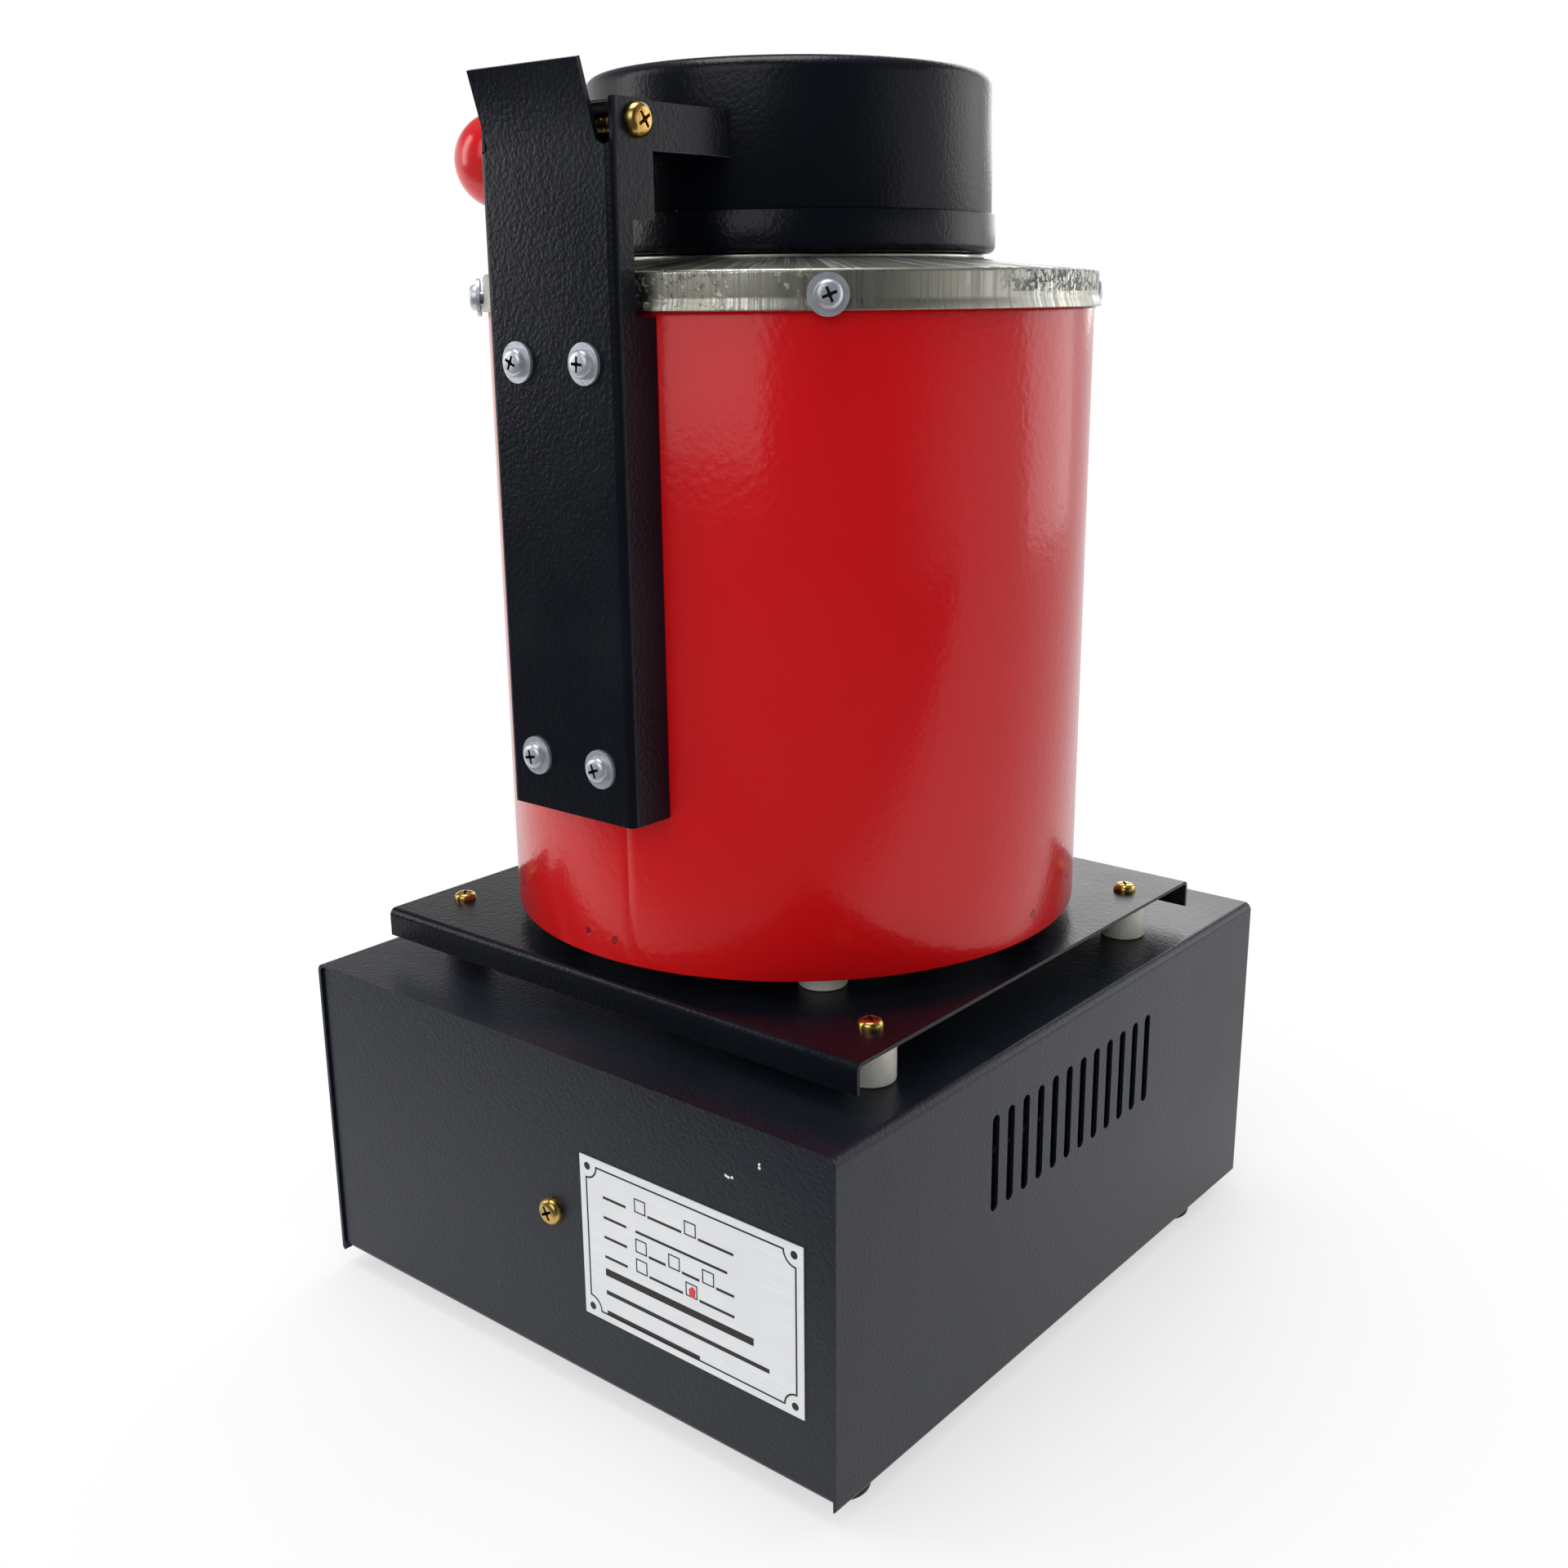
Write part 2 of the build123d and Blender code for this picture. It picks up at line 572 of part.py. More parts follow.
def nameplate():
    plate = block(NAMEPLATE_WIDTH, NAMEPLATE_HEIGHT, NAMEPLATE_THICKNESS)
    return on_rear(NAMEPLATE_X, BASE_BOTTOM + NAMEPLATE_LEVEL, plate)


def rear_panel_screw():
    length = BASE_SHEET + TERMINAL_BRACKET_SHEET + THREAD_END
    return on_rear(0, REAR_SCREW_Z, screw(LARGE_SCREW, length))


def terminal_bracket():
    """Angle behind the rear panel: upright leg on the panel, shelf for the terminals."""
    inside = PANEL_FACE - BASE_SHEET
    low = SHELF_TOP - TERMINAL_BRACKET_SHEET
    points = [
        (inside, low),
        (inside, REAR_SCREW_Z + TERMINAL_BRACKET_RISE),
        (inside - TERMINAL_BRACKET_SHEET, REAR_SCREW_Z + TERMINAL_BRACKET_RISE),
        (inside - TERMINAL_BRACKET_SHEET, SHELF_TOP),
        (inside - TERMINAL_BRACKET_DEPTH, SHELF_TOP),
        (inside - TERMINAL_BRACKET_DEPTH, low),
    ]
    angle = side_plate(points, TERMINAL_BRACKET_WIDTH)
    bore = rod(LARGE_SCREW[0] + CURVE_GAP, TERMINAL_BRACKET_DEPTH, align=HANGING)
    return angle - on_rear(0, REAR_SCREW_Z, bore)


def terminal_block():
    """Moulded strip with one open well and two barriers for each way."""
    width = TERMINAL_WAYS * TERMINAL_PITCH
    strip = block(width, TERMINAL_DEPTH, TERMINAL_HEIGHT)
    well_radius = TERMINAL_PITCH / 2 - OVERCUT
    for way in range(TERMINAL_WAYS):
        x = (way - (TERMINAL_WAYS - 1) / 2) * TERMINAL_PITCH
        strip -= Pos(x, 0, TERMINAL_HEIGHT - TERMINAL_WELL) * rod(well_radius, TERMINAL_HEIGHT)
    return Pos(0, STRIP_Y, SHELF_TOP) * strip


def relay_heatsink():
    """Upright plate with fins towards the vents, on a foot that is screwed to the pan."""
    plate = Pos(SINK_X + SINK_PLATE / 2, SINK_Y, PAN_TOP) * block(
        SINK_PLATE, SINK_LENGTH, SINK_HEIGHT
    )
    foot = Pos(SINK_SCREW_X, SINK_Y, PAN_TOP) * block(FIN_REACH, SINK_LENGTH, SINK_FOOT)
    sink = plate + foot
    rise = (SINK_HEIGHT - FIN_THICKNESS - FIRST_FIN) / (SINK_FINS - 1)
    for index in range(SINK_FINS):
        level = PAN_TOP + FIRST_FIN + index * rise
        sink += Pos(SINK_SCREW_X, SINK_Y, level) * block(
            FIN_REACH, SINK_LENGTH, FIN_THICKNESS
        )
    for x, y in SINK_SCREW_PLACES:
        sink -= hole(SMALL_SCREW[0] + CURVE_GAP, x, y, PAN_TOP, PAN_TOP + SINK_FOOT)
    return sink


def heatsink_screws():
    piece = Rot(180, 0, 0) * screw(SMALL_SCREW, BASE_SHEET + SINK_FOOT + THREAD_END)
    return group(Pos(x, y, PAN_BOTTOM) * piece for x, y in SINK_SCREW_PLACES)


def relay_block():
    middle = SINK_X + SINK_PLATE + RELAY_DEPTH / 2
    body = Pos(middle, SINK_Y, PAN_TOP) * block(RELAY_DEPTH, RELAY_LENGTH, RELAY_HEIGHT)
    face = SINK_X + SINK_PLATE + RELAY_DEPTH
    well = Rot(0, 90, 0) * rod(RELAY_WELL, RELAY_WELL, align=HANGING)
    for end in (-1, 1):
        for level in (RELAY_WELL_END, RELAY_HEIGHT - RELAY_WELL_END):
            body -= Pos(face, SINK_Y + end * RELAY_WELL_PITCH / 2, PAN_TOP + level) * well
    return body


# ---------------------------------------------------------------- deck
def deck_plate():
    height = DECK_FLANGE
    centre = Pos(UPPER_X, UPPER_Y, DECK_TOP - height)
    outer = centre * block(DECK_WIDTH, DECK_DEPTH, height)
    outer = fillet(outer.edges().filter_by(Axis.X).group_by(Axis.Z)[-1], DECK_BEND)
    inner = centre * Pos(0, 0, -OVERCUT) * block(
        DECK_WIDTH + 2 * OVERCUT, DECK_DEPTH - 2 * DECK_SHEET, height - DECK_SHEET + OVERCUT
    )
    inner = fillet(inner.edges().filter_by(Axis.X).group_by(Axis.Z)[-1], DECK_BEND - DECK_SHEET)
    deck = outer - inner
    for x, y in DECK_PLACES + BARREL_PLACES:
        deck -= hole(SMALL_SCREW[0] + SCREW_FIT, x, y, DECK_UNDER, DECK_TOP)
    for x, y in BUSH_PLACES:
        deck -= hole(BUSH_RADIUS + SCREW_FIT, x, y, DECK_UNDER, DECK_TOP)
    return deck


def standoffs(places, low, high):
    body = ring(STANDOFF_RADIUS, SMALL_SCREW[0] + SCREW_FIT, high - low)
    return group(Pos(x, y, low) * body for x, y in places)


def deck_standoffs():
    return standoffs(DECK_PLACES, BASE_TOP, DECK_UNDER)


def deck_screws():
    length = DECK_TOP - (BASE_TOP - BASE_SHEET) + SMALL_NUT[2] + THREAD_END
    return group(Pos(x, y, DECK_TOP) * screw(SMALL_SCREW, length) for x, y in DECK_PLACES)


def deck_nuts():
    level = BASE_TOP - BASE_SHEET - SMALL_NUT[2]
    return group(Pos(x, y, level) * nut(SMALL_NUT) for x, y in DECK_PLACES)


# ---------------------------------------------------------------- barrel
def barrel_standoffs():
    return standoffs(BARREL_PLACES, DECK_TOP, FLOOR_UNDER)


def barrel_screws():
    length = FLOOR_TOP - DECK_UNDER + SMALL_NUT[2] + THREAD_END
    return group(Pos(x, y, FLOOR_TOP) * screw(SMALL_SCREW, length) for x, y in BARREL_PLACES)


def barrel_nuts():
    level = DECK_UNDER - SMALL_NUT[2]
    return group(Pos(x, y, level) * nut(SMALL_NUT) for x, y in BARREL_PLACES)


def radial(radius, angle, level, shape):
    """Place a shape drawn facing +Z on a vertical cylinder, facing outwards."""
    return over_upper(Rot(0, 0, angle) * Pos(radius, 0, level) * Rot(0, 90, 0) * shape)


def bracket_screw_places():
    return [
        (BRACKET_X + side * BRACKET_SCREW_PITCH_X / 2, BRACKET_BOTTOM + level)
        for side in (-1, 1)
        for level in (BRACKET_SCREW_LOWER, BRACKET_SCREW_UPPER)
    ]


def bracket_screw_bores(gap):
    """Bores for the bracket's screws through the barrel's wall and the fibre behind it."""
    length = BRACKET_SCREW_LENGTH + SOFT_GAP
    bore = Rot(-90, 0, 0) * rod(WASHER_SCREW[0] + gap, length)
    return group(Pos(x, WEB_FACE - length, z) * bore for x, z in bracket_screw_places())


def barrel_shell():
    top = CAP_RIM - CAP_SHEET - SOFT_GAP - CAP_EDGE
    shell = over_upper(Pos(0, 0, SKIRT_Z) * ring(BARREL_RADIUS, BARREL_BORE, top - SKIRT_Z))
    bore = rod(WASHER_SCREW[0] + CURVE_GAP, 2 * BARREL_WALL + 2 * OVERCUT)
    for angle in BARREL_ANGLES:
        inner = BARREL_BORE - OVERCUT
        shell -= radial(inner, angle, CAP_BOTTOM + CAP_SCREW_LEVEL, bore)
    return shell - bracket_screw_bores(CURVE_GAP)


def barrel_floor():
    """Disc with a down-turned flange that is spot-welded inside the barrel."""
    outer = BARREL_BORE - CURVE_GAP
    body = Pos(0, 0, FLOOR_TOP - FLOOR_FLANGE) * rod(outer, FLOOR_FLANGE)
    body = fillet(body.edges().sort_by(Axis.Z)[-1], FLOOR_BEND)
    inner = Pos(0, 0, FLOOR_TOP - FLOOR_FLANGE - OVERCUT) * rod(
        outer - BARREL_WALL, FLOOR_FLANGE - BARREL_WALL + OVERCUT
    )
    inner = fillet(inner.edges().sort_by(Axis.Z)[-1], FLOOR_BEND - BARREL_WALL)
    floor = over_upper(body - inner)
    for x, y in BARREL_PLACES:
        floor -= hole(SMALL_SCREW[0] + SCREW_FIT, x, y, FLOOR_UNDER, FLOOR_TOP)
    for x, y in BUSH_PLACES:
        floor -= hole(BUSH_RADIUS + SCREW_FIT, x, y, FLOOR_UNDER, FLOOR_TOP)
    return floor


def cone_height(radius):
    """Top surface of the cap's cone at a radius."""
    return CAP_RIM + CAP_RISE * (CAP_RADIUS - radius) / (CAP_RADIUS - COLLAR_RADIUS)


def top_cap():
    """Spun cap: flared skirt, rolled edge, and a shallow cone up to the collar."""
    flare = CAP_RADIUS + CAP_FLARE
    hole_radius = MOUTH_RADIUS + COLLAR_SHEET + SOFT_GAP
    inner = CAP_RADIUS - CAP_SHEET
    cap = turned([
        (flare, CAP_BOTTOM),
        (CAP_RADIUS, CAP_BOTTOM + CAP_FLARE_HEIGHT),
        (CAP_RADIUS, CAP_RIM - CAP_EDGE),
        (CAP_RADIUS - CAP_EDGE, CAP_RIM),
        (COLLAR_RADIUS, CAP_CREST),
        (hole_radius, CAP_CREST),
        (hole_radius, CAP_CREST - CAP_SHEET),
        (COLLAR_RADIUS, CAP_CREST - CAP_SHEET),
        (inner - CAP_EDGE, CAP_RIM - CAP_SHEET),
        (inner, CAP_RIM - CAP_EDGE - CAP_SHEET),
        (inner, CAP_BOTTOM + CAP_FLARE_HEIGHT),
        (flare - CAP_SHEET, CAP_BOTTOM),
    ])
    cap = over_upper(cap)
    bore = rod(WASHER_SCREW[0] + SCREW_FIT, 2 * (CAP_SHEET + CAP_FLARE) + OVERCUT)
    for angle in BARREL_ANGLES:
        cap -= radial(BARREL_RADIUS - OVERCUT, angle, CAP_BOTTOM + CAP_SCREW_LEVEL, bore)
    return cap


def cap_screws():
    seat = CAP_RADIUS + CAP_FLARE
    piece = screw(WASHER_SCREW, seat - BARREL_BORE, washer=True)
    level = CAP_BOTTOM + CAP_SCREW_LEVEL
    return group(radial(seat, angle, level, piece) for angle in BARREL_ANGLES)


def mouth_collar():
    """Flat ring on the cap's crest with a short tube that lines the mouth."""
    return over_upper(turned([
        (MOUTH_RADIUS, COLLAR_TOP - COLLAR_DEPTH),
        (MOUTH_RADIUS + COLLAR_SHEET, COLLAR_TOP - COLLAR_DEPTH),
        (MOUTH_RADIUS + COLLAR_SHEET, CAP_CREST),
        (COLLAR_RADIUS, CAP_CREST),
        (COLLAR_RADIUS, COLLAR_TOP),
        (MOUTH_RADIUS, COLLAR_TOP),
    ]))


# ---------------------------------------------------------------- furnace chamber
def insulation_base():
    body = over_upper(Pos(0, 0, FLOOR_TOP) * rod(FIBRE_RADIUS, BASE_FIBRE))
    head = SMALL_SCREW[2] + SOFT_GAP
    for x, y in BARREL_PLACES:
        body -= Pos(x, y, FLOOR_TOP - OVERCUT) * rod(SMALL_SCREW[1] + SOFT_GAP, head + OVERCUT)
    for x, y in BUSH_PLACES:
        reach = BUSH_REACH + SOFT_GAP + OVERCUT
        body -= Pos(x, y, FLOOR_TOP - OVERCUT) * rod(BUSH_RADIUS + SOFT_GAP, reach)
    for x, y in LEAD_PLACES:
        body -= hole(LEAD_RADIUS + SOFT_GAP, x, y, FLOOR_TOP, MUFFLE_BOTTOM)
    return body - hole(PROBE_RADIUS + SOFT_GAP, *PROBE_PLACE, FLOOR_TOP, MUFFLE_BOTTOM)


def insulation_blanket():
    inner = MUFFLE_RADIUS + SOFT_GAP / 2
    wrap = over_upper(Pos(0, 0, MUFFLE_BOTTOM) * ring(FIBRE_RADIUS, inner, MUFFLE_HEIGHT))
    wrap -= bracket_screw_bores(SOFT_GAP)
    top = FLOOR_TOP + PROBE_LENGTH + SOFT_GAP
    return wrap - hole(PROBE_RADIUS + SOFT_GAP, *PROBE_PLACE, MUFFLE_BOTTOM, top)


def insulation_ring():
    """Board ring between the wrap and the cap, with room for the cap screws."""
    inner = MOUTH_RADIUS + COLLAR_SHEET + SOFT_GAP
    edge_top = CAP_RIM - CAP_SHEET - CAP_EDGE - 2 * SOFT_GAP
    crest = CAP_CREST - CAP_SHEET - SOFT_GAP
    board = over_upper(turned([
        (inner, MUFFLE_TOP),
        (FIBRE_RADIUS, MUFFLE_TOP),
        (FIBRE_RADIUS, edge_top),
        (FIBRE_RADIUS - CAP_EDGE, cone_height(FIBRE_RADIUS) - CAP_SHEET - 2 * SOFT_GAP),
        (COLLAR_RADIUS, crest),
        (inner, crest),
    ]))
    pocket = rod(WASHER_SCREW[0] + SOFT_GAP, OVERCUT + 2 * SOFT_GAP)
    for angle in BARREL_ANGLES:
        board -= radial(FIBRE_RADIUS - 2 * SOFT_GAP, angle, CAP_BOTTOM + CAP_SCREW_LEVEL, pocket)
    return board - bracket_screw_bores(SOFT_GAP)


def turn_levels():
    return [FIRST_TURN + index * TURN_PITCH for index in range(TURN_COUNT)]


def heater_muffle():
    """Ceramic tube with a round groove for each heating turn and bores for the leads."""
    tube = over_upper(Pos(0, 0, MUFFLE_BOTTOM) * ring(MUFFLE_RADIUS, MOUTH_RADIUS, MUFFLE_HEIGHT))
    for level in turn_levels():
        tube -= over_upper(Pos(0, 0, level) * Torus(TURN_RADIUS, TURN_WIRE + SOFT_GAP))
    ends = (turn_levels()[0], turn_levels()[-1])
    for (x, y), angle, level in zip(LEAD_PLACES, LEAD_ANGLES, ends):
        radius = LEAD_RADIUS + SOFT_GAP
        tube -= hole(radius, x, y, MUFFLE_BOTTOM, level + LEAD_RADIUS - OVERCUT + SOFT_GAP)
        tube -= radial(TURN_RADIUS, angle, level, rod(radius, LEAD_CIRCLE - TURN_RADIUS))
    return tube


def heating_element():
    turn = Torus(TURN_RADIUS, TURN_WIRE)
    return group(over_upper(Pos(0, 0, level) * turn) for level in turn_levels())


def heater_leads():
    """Straight leads up the muffle's wall, each with a short hook to its end turn."""
    low = BASE_TOP - BASE_SHEET - BUSH_REACH - LEAD_TAIL
    ends = (turn_levels()[0], turn_levels()[-1])
    leads = []
    for (x, y), angle, level in zip(LEAD_PLACES, LEAD_ANGLES, ends):
        upright = Pos(x, y, low) * rod(LEAD_RADIUS, level + LEAD_RADIUS - low)
        start = TURN_RADIUS + TURN_WIRE + SOFT_GAP
        hook = radial(start, angle, level, rod(LEAD_RADIUS, LEAD_CIRCLE - start))
        leads.append(upright + hook)
    return group(leads)


def lead_bushes():
    """Ceramic sleeves from inside the box up through the barrel's floor."""
    low = BASE_TOP - BASE_SHEET - BUSH_REACH
    height = FLOOR_TOP + BUSH_REACH - low
    sleeves = [
        Pos(x, y, low) * ring(BUSH_RADIUS, LEAD_RADIUS + SOFT_GAP, height) for x, y in LEAD_PLACES
    ]
    probe = Pos(*PROBE_PLACE, low) * ring(BUSH_RADIUS, PROBE_RADIUS + SOFT_GAP, height)
    return group(sleeves + [probe])


def thermocouple():
    """Sheathed probe beside the muffle, with its connection head inside the box."""
    x, y = PROBE_PLACE
    low = BASE_TOP - BASE_SHEET - BUSH_REACH - SOFT_GAP
    stem = Pos(x, y, low) * rod(PROBE_RADIUS, FLOOR_TOP + PROBE_LENGTH - low)
    head = Pos(x, y, low) * block(PROBE_HEAD, PROBE_HEAD, PROBE_HEAD, align=HANGING)
    return stem + head


def hearth_disc():
    radius = MOUTH_RADIUS - TURN_WIRE - SOFT_GAP
    return over_upper(Pos(0, 0, MUFFLE_BOTTOM) * rod(radius, HEARTH_HEIGHT))


def crucible():
    """Graphite crucible, slightly tapered, with a rounded inner floor."""
    outer = Cone(CRUCIBLE_FOOT_RADIUS, CRUCIBLE_RADIUS, CRUCIBLE_HEIGHT, align=STANDING)
    depth = CRUCIBLE_HEIGHT - CRUCIBLE_FLOOR
    inner = Cone(
        CRUCIBLE_FOOT_RADIUS - CRUCIBLE_WALL, CRUCIBLE_RADIUS - CRUCIBLE_WALL, depth,
        align=STANDING,
    )
    inner = fillet(inner.edges().sort_by(Axis.Z)[0], CRUCIBLE_FLOOR / 2)
    body = outer - Pos(0, 0, CRUCIBLE_FLOOR) * inner
    return over_upper(Pos(0, 0, HEARTH_TOP) * body)


# ---------------------------------------------------------------- hinge
def bracket_outline(front):
    """Side view of a cheek: notched to clear the cap, rounded at its upper corners."""
    low = BRACKET_BOTTOM
    notch_back = WEB_FACE - NOTCH_DEPTH
    upper_front = WEB_FACE - CHEEK_REACH
    points = [
        (WEB_FACE, low),
        (WEB_FACE, CHEEK_TOP),
        (upper_front, CHEEK_TOP),
        (upper_front, low + NOTCH_LOWER + NOTCH_HEIGHT),
        (notch_back, low + NOTCH_LOWER + NOTCH_HEIGHT),
        (notch_back, low + NOTCH_LOWER),
        (front, low + NOTCH_LOWER),
        (front, low),
    ]
    plate = side_plate(points, BRACKET_WIDTH + 2 * OVERCUT)
    corners = plate.edges().filter_by(Axis.X).group_by(Axis.Z)[-1]
    return fillet(corners, CHEEK_CORNER)


def hinge_bracket():
    """Channel on the barrel's back, its web ending in a leaning stop tab for the lid."""
    front = UPPER_Y
    depth = WEB_FACE - front
    height = CHEEK_TOP - BRACKET_BOTTOM
    outer = Pos(0, (WEB_FACE + front) / 2, BRACKET_BOTTOM) * block(BRACKET_WIDTH, depth, height)
    outer = fillet(outer.edges().filter_by(Axis.Z).group_by(Axis.Y)[-1], BRACKET_BEND)
    inner_width = BRACKET_WIDTH - 2 * BRACKET_SHEET
    inner = Pos(0, (WEB_FACE + front) / 2 - BRACKET_SHEET, BRACKET_BOTTOM - OVERCUT) * block(
        inner_width, depth, height + 2 * OVERCUT
    )
    inner = fillet(inner.edges().filter_by(Axis.Z).group_by(Axis.Y)[-1], BRACKET_BEND - BRACKET_SHEET)
    channel = (outer - inner) & bracket_outline(front)

    # The web stops at the tab's bend; a round-ended relief slot divides tab and cheeks.
    above = Pos(0, WEB_FACE, WEB_TOP) * block(inner_width, 2 * BRACKET_BEND, height)
    channel -= above
    for side, width in {-1: TAB_INSET_LEFT, 1: TAB_INSET_RIGHT}.items():
        x = side * (BRACKET_WIDTH - width) / 2
        bottom = WEB_TOP - SLOT_DEPTH + width / 2
        slot = Pos(x, WEB_FACE, bottom) * block(width, 2 * BRACKET_BEND, height)
        slot += Pos(x, WEB_FACE, bottom) * Rot(90, 0, 0) * Cylinder(width / 2, 2 * BRACKET_BEND)
        cheek_x = side * (BRACKET_WIDTH - BRACKET_SHEET) / 2
        cheek = Pos(cheek_x, WEB_FACE - SLOT_REACH - BRACKET_BEND, BRACKET_BOTTOM) * block(
            BRACKET_SHEET, 2 * BRACKET_BEND, 2 * height
        )
        channel -= slot - cheek

    lean = radians(TAB_LEAN)
    rise = TAB_HEIGHT
    back = WEB_FACE + rise * tan(lean)
    inner_face = WEB_FACE - BRACKET_SHEET
    tab = side_plate([
        (WEB_FACE, WEB_TOP - BRACKET_SHEET),
        (WEB_FACE, WEB_TOP),
        (back, WEB_TOP + rise),
        (back - BRACKET_SHEET * cos(lean), WEB_TOP + rise + BRACKET_SHEET * sin(lean)),
        (inner_face, WEB_TOP + BRACKET_SHEET * tan(lean / 2)),
        (inner_face, WEB_TOP - BRACKET_SHEET),
    ], BRACKET_WIDTH - TAB_INSET_LEFT - TAB_INSET_RIGHT)
    channel += Pos((TAB_INSET_LEFT - TAB_INSET_RIGHT) / 2, 0, 0) * tab

    bracket = Pos(BRACKET_X, 0, 0) * channel
    bracket -= over_upper(Pos(0, 0, SKIRT_Z) * rod(BARREL_RADIUS + SOFT_GAP, CAP_RIM - SKIRT_Z))
    bore = Rot(90, 0, 0) * Cylinder(WASHER_SCREW[0] + SCREW_FIT, 4 * BRACKET_SHEET)
    for x, z in bracket_screw_places():
        bracket -= Pos(x, WEB_FACE, z) * bore
    pivot_bore = Rot(0, 90, 0) * Cylinder(PIVOT_RADIUS + CURVE_GAP, BRACKET_WIDTH + 2 * OVERCUT)
    return bracket - Pos(BRACKET_X, PIVOT_Y, PIVOT_Z) * pivot_bore


def bracket_screws():
    piece = Rot(-90, 0, 0) * screw(WASHER_SCREW, BRACKET_SCREW_LENGTH, washer=True)
    return group(Pos(x, WEB_FACE, z) * piece for x, z in bracket_screw_places())


def bracket_spacers():
    """Steel spacers between web and barrel, their ends coped to the barrel."""
    length = BRACKET_STANDOFF
    body = Rot(90, 0, 0) * ring(SPACER_RADIUS, WASHER_SCREW[0] + SCREW_FIT, length)
    around = over_upper(Pos(0, 0, SKIRT_Z) * rod(BARREL_RADIUS + CURVE_GAP, CAP_BOTTOM - SKIRT_Z))
    return group(
        Pos(x, WEB_FACE - BRACKET_SHEET, z) * body - around for x, z in bracket_screw_places()
    )


def pivot_screw():
    length = BRACKET_WIDTH + PIVOT_NUT_SIZE[2] + THREAD_END
    piece = Rot(0, -90, 0) * screw(PIVOT_HEAD, length)
    return Pos(BRACKET_X - BRACKET_WIDTH / 2, PIVOT_Y, PIVOT_Z) * piece


def pivot_nut():
    return Pos(BRACKET_X + BRACKET_WIDTH / 2, PIVOT_Y, PIVOT_Z) * Rot(0, 90, 0) * nut(PIVOT_NUT_SIZE)


def hinge_arm():
    """Down-turned channel, welded to the lid and turning between the bracket's cheeks."""
    width = BRACKET_WIDTH - 2 * (BRACKET_SHEET + ARM_SIDE_GAP)
    top = PIVOT_Z + ARM_ABOVE_PIVOT
    low = top - ARM_HEIGHT
    outer = side_plate([
        (UPPER_Y, low), (PIVOT_Y, low), (PIVOT_Y, top), (UPPER_Y, top),
    ], width)
    tail = Pos(0, PIVOT_Y, PIVOT_Z) * Rot(0, 90, 0) * Cylinder(ARM_TAIL_RADIUS, width)
    trim = Pos(0, PIVOT_Y, low) * block(width, 2 * ARM_TAIL_RADIUS, ARM_HEIGHT)
    arm = outer + (tail & trim)
    inner_width = width - 2 * ARM_SHEET
    under = side_plate([
        (UPPER_Y - OVERCUT, low - OVERCUT),
        (PIVOT_Y + ARM_TAIL_RADIUS, low - OVERCUT),
        (PIVOT_Y + ARM_TAIL_RADIUS, top - ARM_SHEET),
        (UPPER_Y - OVERCUT, top - ARM_SHEET),
    ], inner_width)
    behind = Pos(0, PIVOT_Y + ARM_TAIL_WEB + ARM_TAIL_RADIUS, low) * block(
        inner_width, 2 * ARM_TAIL_RADIUS, ARM_HEIGHT + OVERCUT
    )
    arm = arm - under - behind
    bore = Rot(0, 90, 0) * Cylinder(PIVOT_RADIUS + RUNNING_FIT, width + 2 * OVERCUT)
    arm -= Pos(0, PIVOT_Y, PIVOT_Z) * bore
    arm = Pos(BRACKET_X, 0, 0) * arm
    return arm - over_upper(Pos(0, 0, LID_BOTTOM) * rod(LID_RADIUS + CURVE_GAP, LID_HEIGHT))


# ---------------------------------------------------------------- lid
def lid_shell():
    """Drawn steel cup, open below, with a hole in its side for the handle rod."""
    low = LID_BOTTOM + BAND_EDGE
    cup = Pos(0, 0, low) * rod(LID_RADIUS, LID_TOP - low)
    cup = fillet(cup.edges().sort_by(Axis.Z)[-1], LID_EDGE)
    void = Pos(0, 0, low - OVERCUT) * rod(LID_RADIUS - LID_SHEET, LID_TOP - LID_SHEET - low + OVERCUT)
    void = fillet(void.edges().sort_by(Axis.Z)[-1], LID_EDGE - LID_SHEET)
    cup = over_upper(cup - void)
    bore = Rot(0, 90, 0) * rod(HANDLE_RADIUS + CURVE_GAP, LID_RADIUS + OVERCUT)
    return cup - over_upper(Pos(0, 0, HANDLE_Z) * bore)


def lid_band():
    """Rolled band round the lid's lower edge, its lip turned in under the fibre."""
    body = Pos(0, 0, LID_BOTTOM) * rod(BAND_RADIUS, BAND_HEIGHT)
    body = fillet(body.edges().sort_by(Axis.Z)[0], BAND_EDGE)
    void = Pos(0, 0, LID_BOTTOM + LID_SHEET) * rod(LID_RADIUS + CURVE_GAP, BAND_HEIGHT)
    void = fillet(void.edges().sort_by(Axis.Z)[0], BAND_EDGE - LID_SHEET)
    mouth = hole(LID_RADIUS - BAND_LIP, 0, 0, LID_BOTTOM, LID_BOTTOM + LID_SHEET)
    return over_upper(body - void - mouth)


